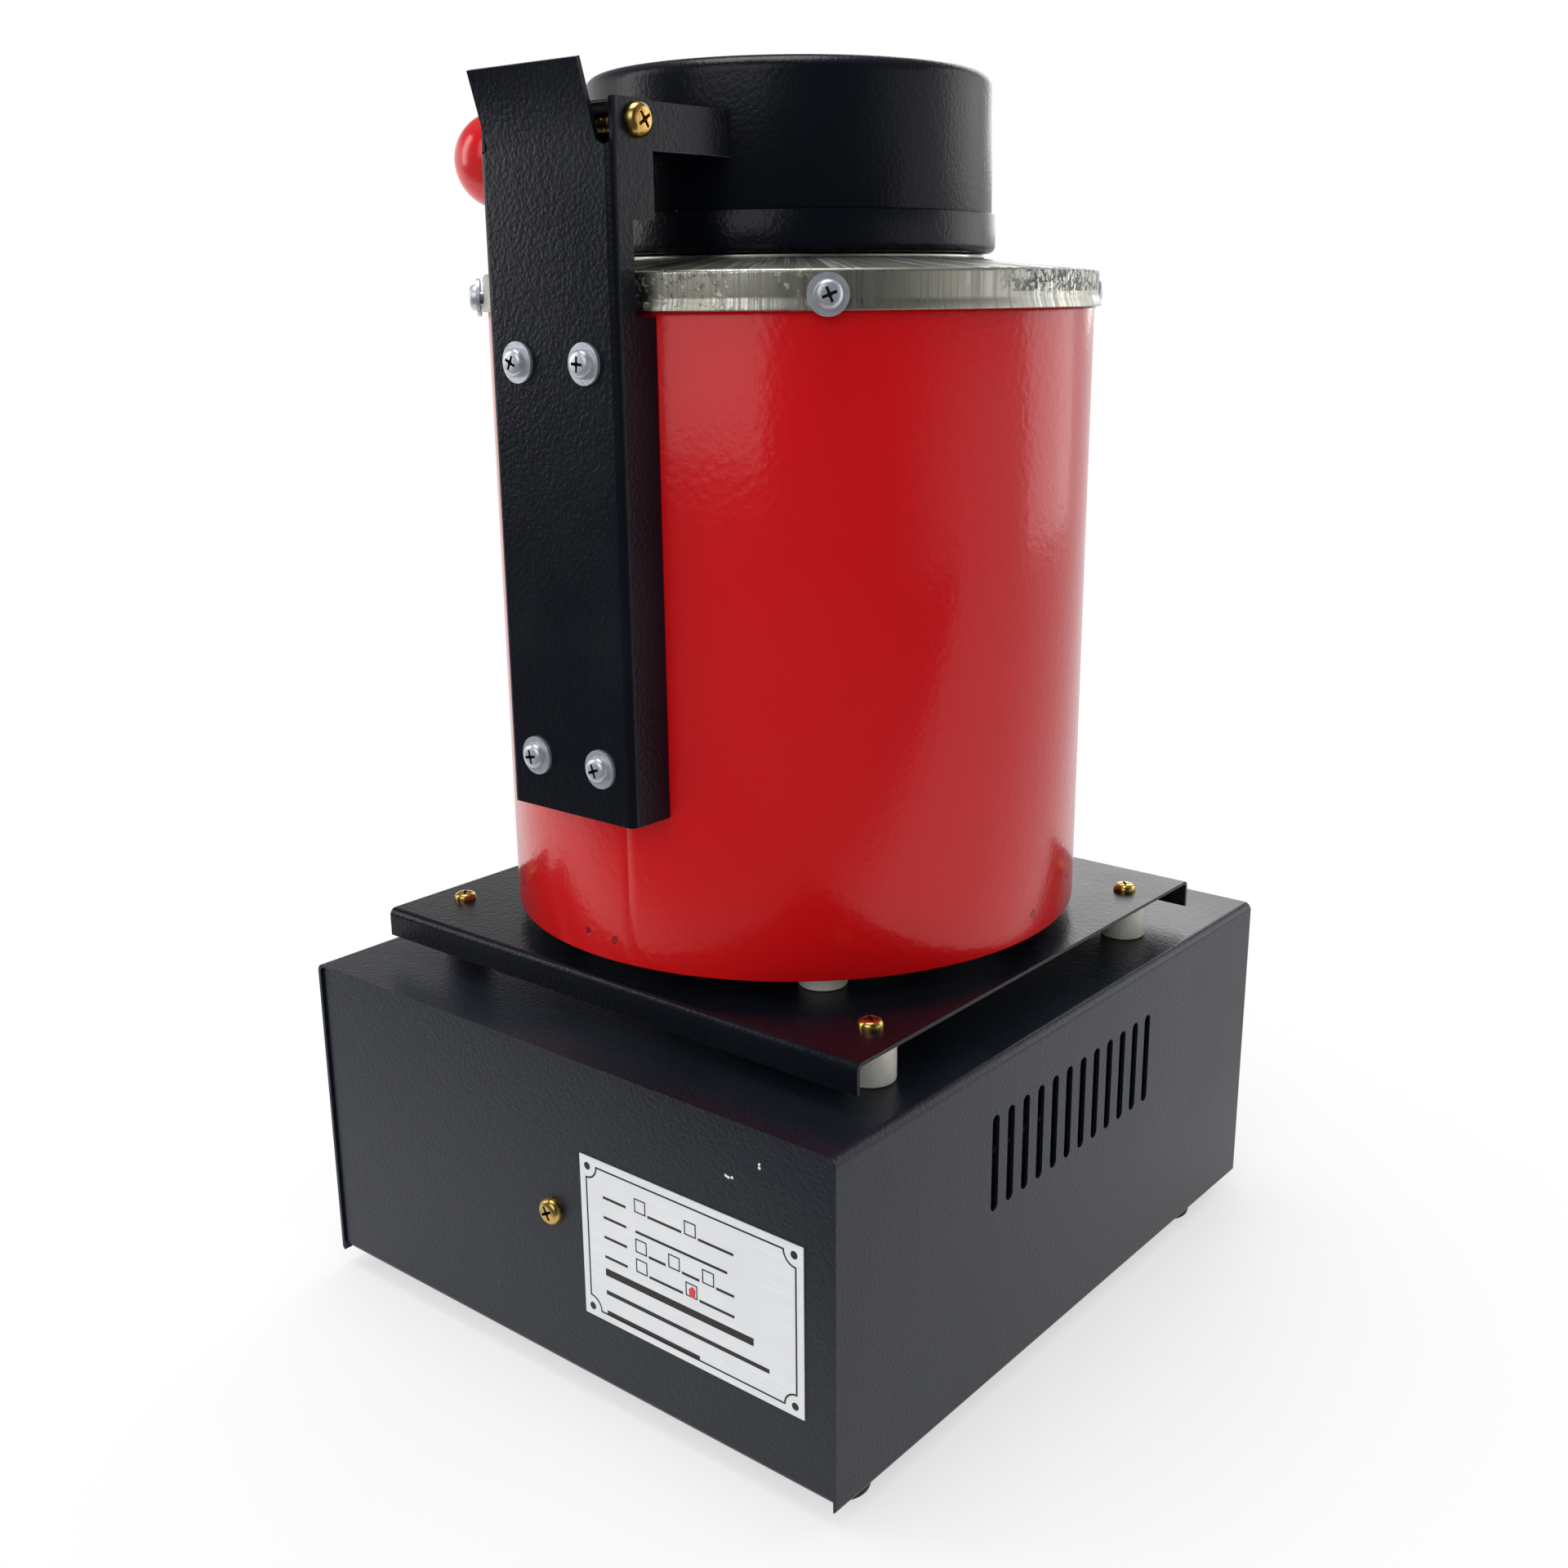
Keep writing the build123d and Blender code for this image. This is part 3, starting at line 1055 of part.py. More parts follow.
def lid_insulation():
    """Moulded fibre plug that fills the lid and stands proud to seat on the collar."""
    outer = LID_RADIUS - LID_SHEET - SOFT_GAP
    boss = LID_RADIUS - BAND_LIP - SOFT_GAP
    low = LID_BOTTOM + LID_SHEET + SOFT_GAP
    top = LID_TOP - LID_SHEET - LID_FIBRE_TOP_GAP
    chamfer = LID_EDGE
    plug = over_upper(turned([
        (0, COLLAR_TOP + SOFT_GAP),
        (boss, COLLAR_TOP + SOFT_GAP),
        (boss, low),
        (outer, low),
        (outer, top - chamfer),
        (outer - chamfer, top),
        (0, top),
    ]))
    reach = HANDLE_INNER + SOFT_GAP
    pocket = Rot(0, 90, 0) * rod(HANDLE_NUT_SIZE[1], reach + OVERCUT)
    start = LID_RADIUS - LID_SHEET - reach
    return plug - over_upper(Pos(start, 0, HANDLE_Z) * pocket)


def handle_rod():
    start = LID_RADIUS - LID_SHEET - HANDLE_INNER
    end = HANDLE_REACH - BALL_RADIUS + BALL_SOCKET
    piece = Rot(0, 90, 0) * rod(HANDLE_RADIUS, end - start)
    return over_upper(Pos(start, 0, HANDLE_Z) * piece)


def handle_nut():
    inner_face = sqrt((LID_RADIUS - LID_SHEET) ** 2 - HANDLE_NUT_SIZE[1] ** 2 / 3)
    start = inner_face - HANDLE_NUT_SIZE[2] - CURVE_GAP
    return over_upper(Pos(start, 0, HANDLE_Z) * Rot(0, 90, 0) * nut(HANDLE_NUT_SIZE))


def ball_knob():
    ball = Sphere(BALL_RADIUS)
    start = -BALL_RADIUS - OVERCUT
    socket = Pos(start, 0, 0) * Rot(0, 90, 0) * rod(
        HANDLE_RADIUS + CURVE_GAP, OVERCUT + BALL_SOCKET + SOFT_GAP
    )
    return over_upper(Pos(HANDLE_REACH, 0, HANDLE_Z) * (ball - socket))


# ---------------------------------------------------------------- controls
def control_plate():
    plate = rounded_plate(
        CONTROL_PLATE_WIDTH, CONTROL_PLATE_HEIGHT, CONTROL_PLATE_THICKNESS, CONTROL_PLATE_CORNER
    )
    placed = on_front(0, CONTROL_Z, Pos(0, 0, -CONTROL_PLATE_THICKNESS) * plate)
    return placed - front_cutouts()


def controller_case():
    body = block(CONTROLLER_CASE, CONTROLLER_CASE, CONTROLLER_DEPTH, align=HANGING)
    return on_front(CONTROLLER_X, CONTROL_Z, body)


def controller_bezel():
    bezel = rounded_plate(CONTROLLER_FACE, CONTROLLER_FACE, BEZEL_THICKNESS, BEZEL_CORNER)
    bezel = fillet(bezel.edges().group_by(Axis.Z)[-1], BEZEL_EASE)
    depth = WINDOW_THICKNESS + WINDOW_RECESS
    bezel -= Pos(0, WINDOW_UP, BEZEL_THICKNESS - depth) * block(
        WINDOW_WIDTH + 2 * CURVE_GAP, WINDOW_HEIGHT + 2 * CURVE_GAP, depth + OVERCUT
    )
    well = block(KEY_WIDTH + 2 * KEY_FIT, KEY_HEIGHT + 2 * KEY_FIT, KEY_WELL + OVERCUT)
    for x, z in KEY_PLACES:
        bezel -= Pos(x - CONTROLLER_X, z - CONTROL_Z, BEZEL_THICKNESS - KEY_WELL) * well
    return on_front(CONTROLLER_X, CONTROL_Z, bezel)


def display_window():
    pane = block(WINDOW_WIDTH, WINDOW_HEIGHT, WINDOW_THICKNESS)
    level = BEZEL_THICKNESS - WINDOW_THICKNESS - WINDOW_RECESS
    return on_front(CONTROLLER_X, CONTROL_Z, Pos(0, WINDOW_UP, level) * pane)


def controller_key(index):
    """Key cap that can travel into its well without reaching the bottom."""
    height = KEY_WELL + KEY_PROUD - KEY_TRAVEL - KEY_FIT
    cap = rounded_plate(KEY_WIDTH, KEY_HEIGHT, height, KEY_CORNER)
    cap = fillet(cap.edges().group_by(Axis.Z)[-1], KEY_CORNER / 2)
    x, z = KEY_PLACES[index]
    return on_front(x, z, Pos(0, 0, BEZEL_THICKNESS + KEY_PROUD - height) * cap)


def switch_frame():
    """Moulded snap-in frame with a well that the rocker turns in."""
    flange = rounded_plate(SWITCH_FACE_WIDTH, SWITCH_FACE_HEIGHT, SWITCH_FLANGE, SWITCH_CORNER)
    flange = fillet(flange.edges().group_by(Axis.Z)[-1], SWITCH_EASE)
    well_width = ROCKER_WIDTH + 2 * ROCKER_FIT
    well_height = 2 * (ROCKER_RADIUS + ROCKER_FIT)
    body = block(well_width + 2 * SWITCH_WALL, well_height + 2 * SWITCH_WALL, SWITCH_DEPTH,
                 align=HANGING)
    well = Pos(0, 0, -SWITCH_WELL) * block(
        well_width, well_height, SWITCH_WELL + SWITCH_FLANGE + OVERCUT
    )
    bearings = Rot(0, 90, 0) * Cylinder(
        ROCKER_PIN_RADIUS + RUNNING_FIT, well_width + 2 * ROCKER_BEARING_DEPTH
    )
    frame = flange + body - well - Pos(0, 0, -ROCKER_PIVOT_DEPTH) * bearings
    return on_front(SWITCH_X, CONTROL_Z, frame)


def power_rocker():
    """Rocker with a shallow valley, at rest with its lower half pressed."""
    drum = Rot(0, 90, 0) * Cylinder(ROCKER_RADIUS, ROCKER_WIDTH)
    peak = ROCKER_VALLEY + ROCKER_RADIUS * tan(radians(ROCKER_TILT))
    outline = side_plate([
        (-ROCKER_RADIUS, -ROCKER_BACK),
        (ROCKER_RADIUS, -ROCKER_BACK),
        (ROCKER_RADIUS, peak),
        (0, ROCKER_VALLEY),
        (-ROCKER_RADIUS, peak),
    ], ROCKER_WIDTH)
    rocker = drum & outline
    pin_length = ROCKER_WIDTH + 2 * (ROCKER_FIT + ROCKER_PIN_LENGTH)
    rocker += Rot(0, 90, 0) * Cylinder(ROCKER_PIN_RADIUS, pin_length)
    tilted = Pos(0, 0, -ROCKER_PIVOT_DEPTH) * Rot(ROCKER_TILT, 0, 0) * rocker
    return on_front(SWITCH_X, CONTROL_Z, tilted)


def recess_outline():
    """Inlet recess with two chamfered upper corners."""
    half = INLET_RECESS_WIDTH / 2
    low = -INLET_RECESS_HEIGHT / 2
    cut = INLET_RECESS_CHAMFER
    return make_face(Polyline([
        (-half, low), (half, low), (half, -low - cut),
        (half - cut, -low), (cut - half, -low), (-half, -low - cut),
    ], close=True))


def pin_places():
    return [(-PIN_PITCH, -PIN_OFFSET / 2), (0, PIN_OFFSET), (PIN_PITCH, -PIN_OFFSET / 2)]


def inlet_body():
    flange = rounded_plate(INLET_FACE_WIDTH, INLET_FACE_HEIGHT, INLET_FLANGE, INLET_CORNER)
    body = block(INLET_BODY_WIDTH, INLET_BODY_HEIGHT, INLET_BODY_DEPTH, align=HANGING)
    inlet = flange + body
    floor_level = INLET_FLANGE - INLET_RECESS_DEPTH
    inlet -= Pos(0, 0, floor_level) * extrude(recess_outline(), INLET_RECESS_DEPTH + OVERCUT)
    slit = block(PIN_WIDTH + 2 * PIN_FIT, PIN_HEIGHT + 2 * PIN_FIT, INLET_BODY_DEPTH + OVERCUT,
                 align=HANGING)
    for x, y in pin_places():
        inlet -= Pos(x, y, floor_level + OVERCUT) * slit
    for side in (-1, 1):
        inlet -= hole(PANEL_SCREW[0] + SCREW_FIT, side * INLET_SCREW_PITCH / 2, 0, 0, INLET_FLANGE)
    return on_front(INLET_X, CONTROL_Z, inlet)


def inlet_pins():
    length = PIN_LENGTH + INLET_BODY_DEPTH + INLET_FLANGE - INLET_RECESS_DEPTH + PIN_TAB
    top = INLET_FLANGE - INLET_RECESS_DEPTH + PIN_LENGTH
    pin = block(PIN_WIDTH, PIN_HEIGHT, length, align=HANGING)
    return group(on_front(INLET_X, CONTROL_Z, Pos(x, y, top) * pin) for x, y in pin_places())


def panel_screws():
    """Four screws of the control plate and two of the inlet."""
    length = CONTROL_PLATE_THICKNESS + BASE_SHEET + THREAD_END
    screws = [
        on_front(x, CONTROL_Z + up, screw(PANEL_SCREW, length)) for x, up in CONTROL_SCREW_PLACES
    ]
    for side in (-1, 1):
        raised = Pos(0, 0, INLET_FLANGE) * screw(PANEL_SCREW, length + INLET_FLANGE)
        screws.append(on_front(INLET_X + side * INLET_SCREW_PITCH / 2, CONTROL_Z, raised))
    return group(screws)


# ---------------------------------------------------------------- wiring
def wiring():
    """Insulated wires, each ending just short of its terminal."""
    lead_low = BASE_TOP - BASE_SHEET - BUSH_REACH - LEAD_TAIL - WIRE_END_GAP
    (right_x, right_y), (left_x, left_y) = LEAD_PLACES
    relay_face = SINK_X + SINK_PLATE + RELAY_DEPTH + WIRE_END_GAP
    relay_up = PAN_TOP + RELAY_HEIGHT - RELAY_WELL_END
    relay_low = PAN_TOP + RELAY_WELL_END
    relay_near = SINK_Y - RELAY_WELL_PITCH / 2
    relay_far = SINK_Y + RELAY_WELL_PITCH / 2
    strip_top = SHELF_TOP + TERMINAL_HEIGHT - TERMINAL_WELL + WIRE_END_GAP
    over_strip = strip_top + WIRE_RUN
    inlet_back = -CONTROL_FACE + INLET_BODY_DEPTH + PIN_TAB + WIRE_END_GAP
    inlet_run = inlet_back + WIRE_RUN
    switch_back = -CONTROL_FACE + SWITCH_DEPTH + WIRE_END_GAP
    case_back = -CONTROL_FACE + CONTROLLER_DEPTH + WIRE_END_GAP
    probe_x, probe_y = PROBE_PLACE
    probe_low = BASE_TOP - BASE_SHEET - BUSH_REACH - SOFT_GAP - PROBE_HEAD - WIRE_END_GAP
    case_x = CONTROLLER_X + CASE_TERMINAL_OFFSET
    case_z = CONTROL_Z - CASE_TERMINAL_OFFSET
    routes = [
        [  # heater to relay
            (left_x, left_y, lead_low),
            (left_x, left_y, relay_up),
            (left_x, relay_near, relay_up),
            (relay_face, relay_near, relay_up),
        ],
        [  # relay to terminal strip
            (relay_face, relay_far, relay_low),
            (relay_face + WIRE_RUN, relay_far, relay_low),
            (-TERMINAL_PITCH, relay_far + WIRE_RUN, over_strip),
            (-TERMINAL_PITCH, STRIP_Y, over_strip),
            (-TERMINAL_PITCH, STRIP_Y, strip_top),
        ],
        [  # heater to terminal strip
            (right_x, right_y, lead_low),
            (right_x, right_y, relay_up),
            (TERMINAL_PITCH, relay_near, relay_up),
            (TERMINAL_PITCH, relay_far + WIRE_RUN, over_strip),
            (TERMINAL_PITCH, STRIP_Y, over_strip),
            (TERMINAL_PITCH, STRIP_Y, strip_top),
        ],
        [  # inlet to terminal strip
            (INLET_X, inlet_back, CONTROL_Z + PIN_OFFSET),
            (INLET_X, inlet_run, CONTROL_Z + PIN_OFFSET),
            (2 * TERMINAL_PITCH, relay_far + WIRE_RUN, over_strip),
            (2 * TERMINAL_PITCH, STRIP_Y, over_strip),
            (2 * TERMINAL_PITCH, STRIP_Y, strip_top),
        ],
        [  # inlet to switch
            (INLET_X - PIN_PITCH, inlet_back, CONTROL_Z - PIN_OFFSET / 2),
            (INLET_X - PIN_PITCH, inlet_run, CONTROL_Z - PIN_OFFSET / 2),
            (SWITCH_X, inlet_run, CONTROL_Z - PIN_OFFSET / 2),
            (SWITCH_X, switch_back, CONTROL_Z - PIN_OFFSET / 2),
        ],
        [  # thermocouple to controller
            (probe_x, probe_y, probe_low),
            (probe_x, probe_y, case_z),
            (probe_x, case_back + WIRE_RUN, case_z),
            (case_x, case_back + WIRE_RUN, case_z),
            (case_x, case_back, case_z),
        ],
    ]
    return group(wire(route) for route in routes)


# ---------------------------------------------------------------- assembly
PIECES = {
    "base_cover": base_cover,
    "chassis_pan": chassis_pan,
    "rubber_feet": rubber_feet,
    "foot_screws": foot_screws,
    "foot_nuts": foot_nuts,
    "nameplate": nameplate,
    "rear_panel_screw": rear_panel_screw,
    "terminal_bracket": terminal_bracket,
    "terminal_block": terminal_block,
    "relay_heatsink": relay_heatsink,
    "heatsink_screws": heatsink_screws,
    "relay_block": relay_block,
    "deck_plate": deck_plate,
    "deck_standoffs": deck_standoffs,
    "deck_screws": deck_screws,
    "deck_nuts": deck_nuts,
    "barrel_standoffs": barrel_standoffs,
    "barrel_screws": barrel_screws,
    "barrel_nuts": barrel_nuts,
    "barrel_shell": barrel_shell,
    "barrel_floor": barrel_floor,
    "top_cap": top_cap,
    "cap_screws": cap_screws,
    "mouth_collar": mouth_collar,
    "insulation_base": insulation_base,
    "insulation_blanket": insulation_blanket,
    "insulation_ring": insulation_ring,
    "heater_muffle": heater_muffle,
    "heating_element": heating_element,
    "heater_leads": heater_leads,
    "lead_bushes": lead_bushes,
    "thermocouple": thermocouple,
    "hearth_disc": hearth_disc,
    "crucible": crucible,
    "hinge_bracket": hinge_bracket,
    "bracket_screws": bracket_screws,
    "bracket_spacers": bracket_spacers,
    "pivot_screw": pivot_screw,
    "pivot_nut": pivot_nut,
    "hinge_arm": hinge_arm,
    "lid_shell": lid_shell,
    "lid_band": lid_band,
    "lid_insulation": lid_insulation,
    "handle_rod": handle_rod,
    "handle_nut": handle_nut,
    "ball_knob": ball_knob,
    "control_plate": control_plate,
    "controller_case": controller_case,
    "controller_bezel": controller_bezel,
    "display_window": display_window,
    "switch_frame": switch_frame,
    "power_rocker": power_rocker,
    "inlet_body": inlet_body,
    "inlet_pins": inlet_pins,
    "panel_screws": panel_screws,
    "wiring": wiring,
}


def main():
    os.makedirs("parts", exist_ok=True)
    solids = {name: make() for name, make in PIECES.items()}
    for index, name in enumerate(KEY_NAMES):
        solids[name] = controller_key(index)
    box = Compound(list(solids.values())).bounding_box()
    shift = Vector(-(box.min.X + box.max.X) / 2, -(box.min.Y + box.max.Y) / 2, -box.min.Z)
    for name, solid in solids.items():
        export_step(Pos(shift) * solid, f"parts/{name}.step")
    print("origin moved by", shift)
    print("whole size", box.size)
    pivot = Vector(BRACKET_X, PIVOT_Y, PIVOT_Z) + shift
    rocker = Vector(SWITCH_X, -CONTROL_FACE + ROCKER_PIVOT_DEPTH, CONTROL_Z) + shift
    print("lid hinge at", pivot, "opens", LID_TRAVEL, "degrees")
    print("rocker pivot at", rocker)


main()
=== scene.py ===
"""Electric gold melting furnace, dressed for rendering round its fixed frame.

Each sub-assembly is a class that makes its own meshes and gives each of them a finish.
Sizes are in millimetres and are turned into metres where a mesh is made.
"""

import logging
import math
from collections.abc import Iterable, Mapping, Sequence
from dataclasses import dataclass, replace
from enum import Enum
from random import Random

import bmesh
import bpy
from mathutils import Matrix, Vector
from mathutils.bvhtree import BVHTree


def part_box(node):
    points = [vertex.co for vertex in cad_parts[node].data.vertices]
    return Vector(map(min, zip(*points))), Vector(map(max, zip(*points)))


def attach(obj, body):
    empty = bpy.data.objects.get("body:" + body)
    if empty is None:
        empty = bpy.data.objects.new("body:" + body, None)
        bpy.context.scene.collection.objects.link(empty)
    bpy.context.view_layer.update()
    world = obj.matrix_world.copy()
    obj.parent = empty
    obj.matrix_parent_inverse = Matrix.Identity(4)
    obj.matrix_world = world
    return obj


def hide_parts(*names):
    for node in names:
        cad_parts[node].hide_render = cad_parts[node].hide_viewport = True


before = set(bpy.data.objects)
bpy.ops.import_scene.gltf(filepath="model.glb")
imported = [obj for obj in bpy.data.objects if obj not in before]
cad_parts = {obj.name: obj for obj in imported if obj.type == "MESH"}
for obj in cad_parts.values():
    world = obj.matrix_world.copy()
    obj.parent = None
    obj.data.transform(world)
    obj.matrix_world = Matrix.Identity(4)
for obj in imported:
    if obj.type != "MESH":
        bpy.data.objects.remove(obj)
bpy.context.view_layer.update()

LOG = logging.getLogger("furnace")

MM = 0.001
FULL_TURN = 2 * math.pi
WELD = 1e-6
WHITE = (1.0, 1.0, 1.0, 1.0)

Mesh = bpy.types.Mesh
Colour = tuple[float, float, float]
Point = tuple[float, float]
Place = tuple[float, float, float]
Bar = tuple[float, float, float, float]
Socket = bpy.types.NodeSocket
Value = Socket | float | int | tuple[float, ...] | str
Inputs = Mapping[str | int, Value]


class Body(Enum):
    """The rigid bodies that pieces ride on."""

    FURNACE = "furnace"
    LID = "lid"
    ROCKER = "rocker"
    KEY_SET = "key_set"
    KEY_SHIFT = "key_shift"
    KEY_DOWN = "key_down"
    KEY_UP = "key_up"


class Slot(Enum):
    """The finishes that the furnace is made in."""

    BLACK_COAT = "black_powder_coat"
    RED_ENAMEL = "red_enamel"
    STAINLESS = "stainless"
    ZINC = "zinc_plated"
    YELLOW_ZINC = "yellow_zinc"
    GALVANISED = "galvanised"
    CERAMIC = "white_ceramic"
    FIBRE = "ceramic_fibre"
    REFRACTORY = "refractory"
    GRAPHITE = "graphite"
    HEATING_WIRE = "heating_wire"
    SILVER_PLATE = "plate_silver"
    RED_PLASTIC = "red_plastic"
    BLACK_PLASTIC = "black_plastic"
    GREY_PLASTIC = "grey_plastic"
    DARK_WINDOW = "dark_window"
    RUBBER = "rubber_black"
    HEAT_SINK = "heat_sink"
    RED_WIRE = "wire_red"


class Lay(Enum):
    """Which way the marks of a brushed or rolled surface run."""

    SPOKES = "out from the barrel's axis, and up a rim"
    RINGS = "round the barrel's axis"
    ALONG_X = "along X"
    ALONG_Z = "along Z"


def srgb(red: int, green: int, blue: int) -> Colour:
    """Turn an eight-bit display colour into a linear one.

    Args:
        red: Red, from 0 to 255.
        green: Green, from 0 to 255.
        blue: Blue, from 0 to 255.

    Returns:
        The linear colour.
    """

    def linear(level: int) -> float:
        """Undo the display curve of one channel."""
        share = level / 255
        return share / 12.92 if share <= 0.04045 else ((share + 0.055) / 1.055) ** 2.4

    return linear(red), linear(green), linear(blue)


def middle(node: str) -> Vector:
    """Return the middle of a node's box, in millimetres."""
    low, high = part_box(node)
    return (low + high) / 2 / MM


def reach(node: str) -> tuple[Vector, Vector]:
    """Return a node's lowest and highest corners, in millimetres."""
    low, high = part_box(node)
    return low / MM, high / MM


def circle(radius: float, count: int) -> list[Point]:
    """Return points evenly round the origin, anticlockwise from X."""
    turns = [FULL_TURN * index / count for index in range(count)]
    return [(radius * math.cos(turn), radius * math.sin(turn)) for turn in turns]


def placed(name: str, data: bpy.types.ID) -> bpy.types.Object:
    """Make an object of some data and put it into the scene."""
    thing = bpy.data.objects.new(name, data)
    bpy.context.scene.collection.objects.link(thing)
    return thing


def round_reach(node: str) -> tuple[Vector, Vector, float]:
    """Return a round node's lowest and highest corners and its outer radius, in millimetres."""
    low, high = reach(node)
    return low, high, (high.x - low.x) / 2


AXIS = middle("barrel_shell")


# ---------------------------------------------------------------- shader graphs
def open_socket(sockets: Iterable[Socket], key: str | int) -> Socket:
    """Find a socket that is in use, by its name or its place.

    Args:
        sockets: The inputs or outputs of a node.
        key: The socket's name, or its place among all of them.

    Returns:
        The socket.
    """
    if isinstance(key, int):
        return sockets[key]
    return next(each for each in sockets if each.name == key and each.enabled)


class Graph:
    """A node tree that is built one node at a time."""

    def __init__(self, tree: bpy.types.NodeTree) -> None:
        """Keep the tree that the nodes go into."""
        self.tree = tree

    def node(self, kind: str, inputs: Inputs | None = None, **settings) -> bpy.types.Node:
        """Add a node.

        Args:
            kind: The node's type name.
            inputs: What each input takes: another node's output, or a plain value.
            **settings: The node's own options.

        Returns:
            The new node.
        """
        node = self.tree.nodes.new(kind)
        for name, setting in settings.items():
            setattr(node, name, setting)
        for key, value in (inputs or {}).items():
            self.feed(open_socket(node.inputs, key), value)
        return node

    def feed(self, socket: Socket, value: Value) -> None:
        """Link an output to a socket, or set the socket's own value."""
        if isinstance(value, bpy.types.NodeSocket):
            self.tree.links.new(value, socket)
        else:
            socket.default_value = value

    def math(self, operation: str, first: Value, second: Value = 0.0,
             clamp: bool = False) -> Socket:
        """Work out one step of arithmetic."""
        inputs = {0: first, 1: second}
        return self.out("ShaderNodeMath", inputs, operation=operation, use_clamp=clamp)

    def out(self, kind: str, inputs: Inputs | None = None, **settings) -> Socket:
        """Add a node and return its first output."""
        return self.node(kind, inputs, **settings).outputs[0]

    def times(self, first: Value, second: Value) -> Socket:
        """Multiply two values."""
        return self.math("MULTIPLY", first, second)

    def vector(self, x: Value, y: Value, z: Value) -> Socket:
        """Join three numbers into a vector."""
        return self.out("ShaderNodeCombineXYZ", {0: x, 1: y, 2: z})

    def split(self, vector: Socket) -> tuple[Socket, Socket, Socket]:
        """Split a vector into its three numbers."""
        outputs = self.node("ShaderNodeSeparateXYZ", {0: vector}).outputs
        return outputs[0], outputs[1], outputs[2]

    def span(self, value: Value, low: float, high: float, start: float = 0.0,
             end: float = 1.0) -> Socket:
        """Map a range of values smoothly onto another, and hold it at both ends."""
        inputs = {"Value": value, "From Min": low, "From Max": high, "To Min": start, "To Max": end}
        return self.out("ShaderNodeMapRange", inputs, interpolation_type="SMOOTHSTEP")

    def measure(self, operation: str, inputs: Mapping[int, Value]) -> Socket:
        """Work out a number from vectors, such as a distance."""
        return self.node("ShaderNodeVectorMath", inputs, operation=operation).outputs["Value"]

    def rays(self) -> tuple[Socket, Socket]:
        """Return whether the camera sees a place directly, and whether it is seen mirrored."""
        paths = self.node("ShaderNodeLightPath").outputs
        mirrored = self.math("MAXIMUM", paths["Is Glossy Ray"], paths["Is Transmission Ray"])
        return paths["Is Camera Ray"], mirrored


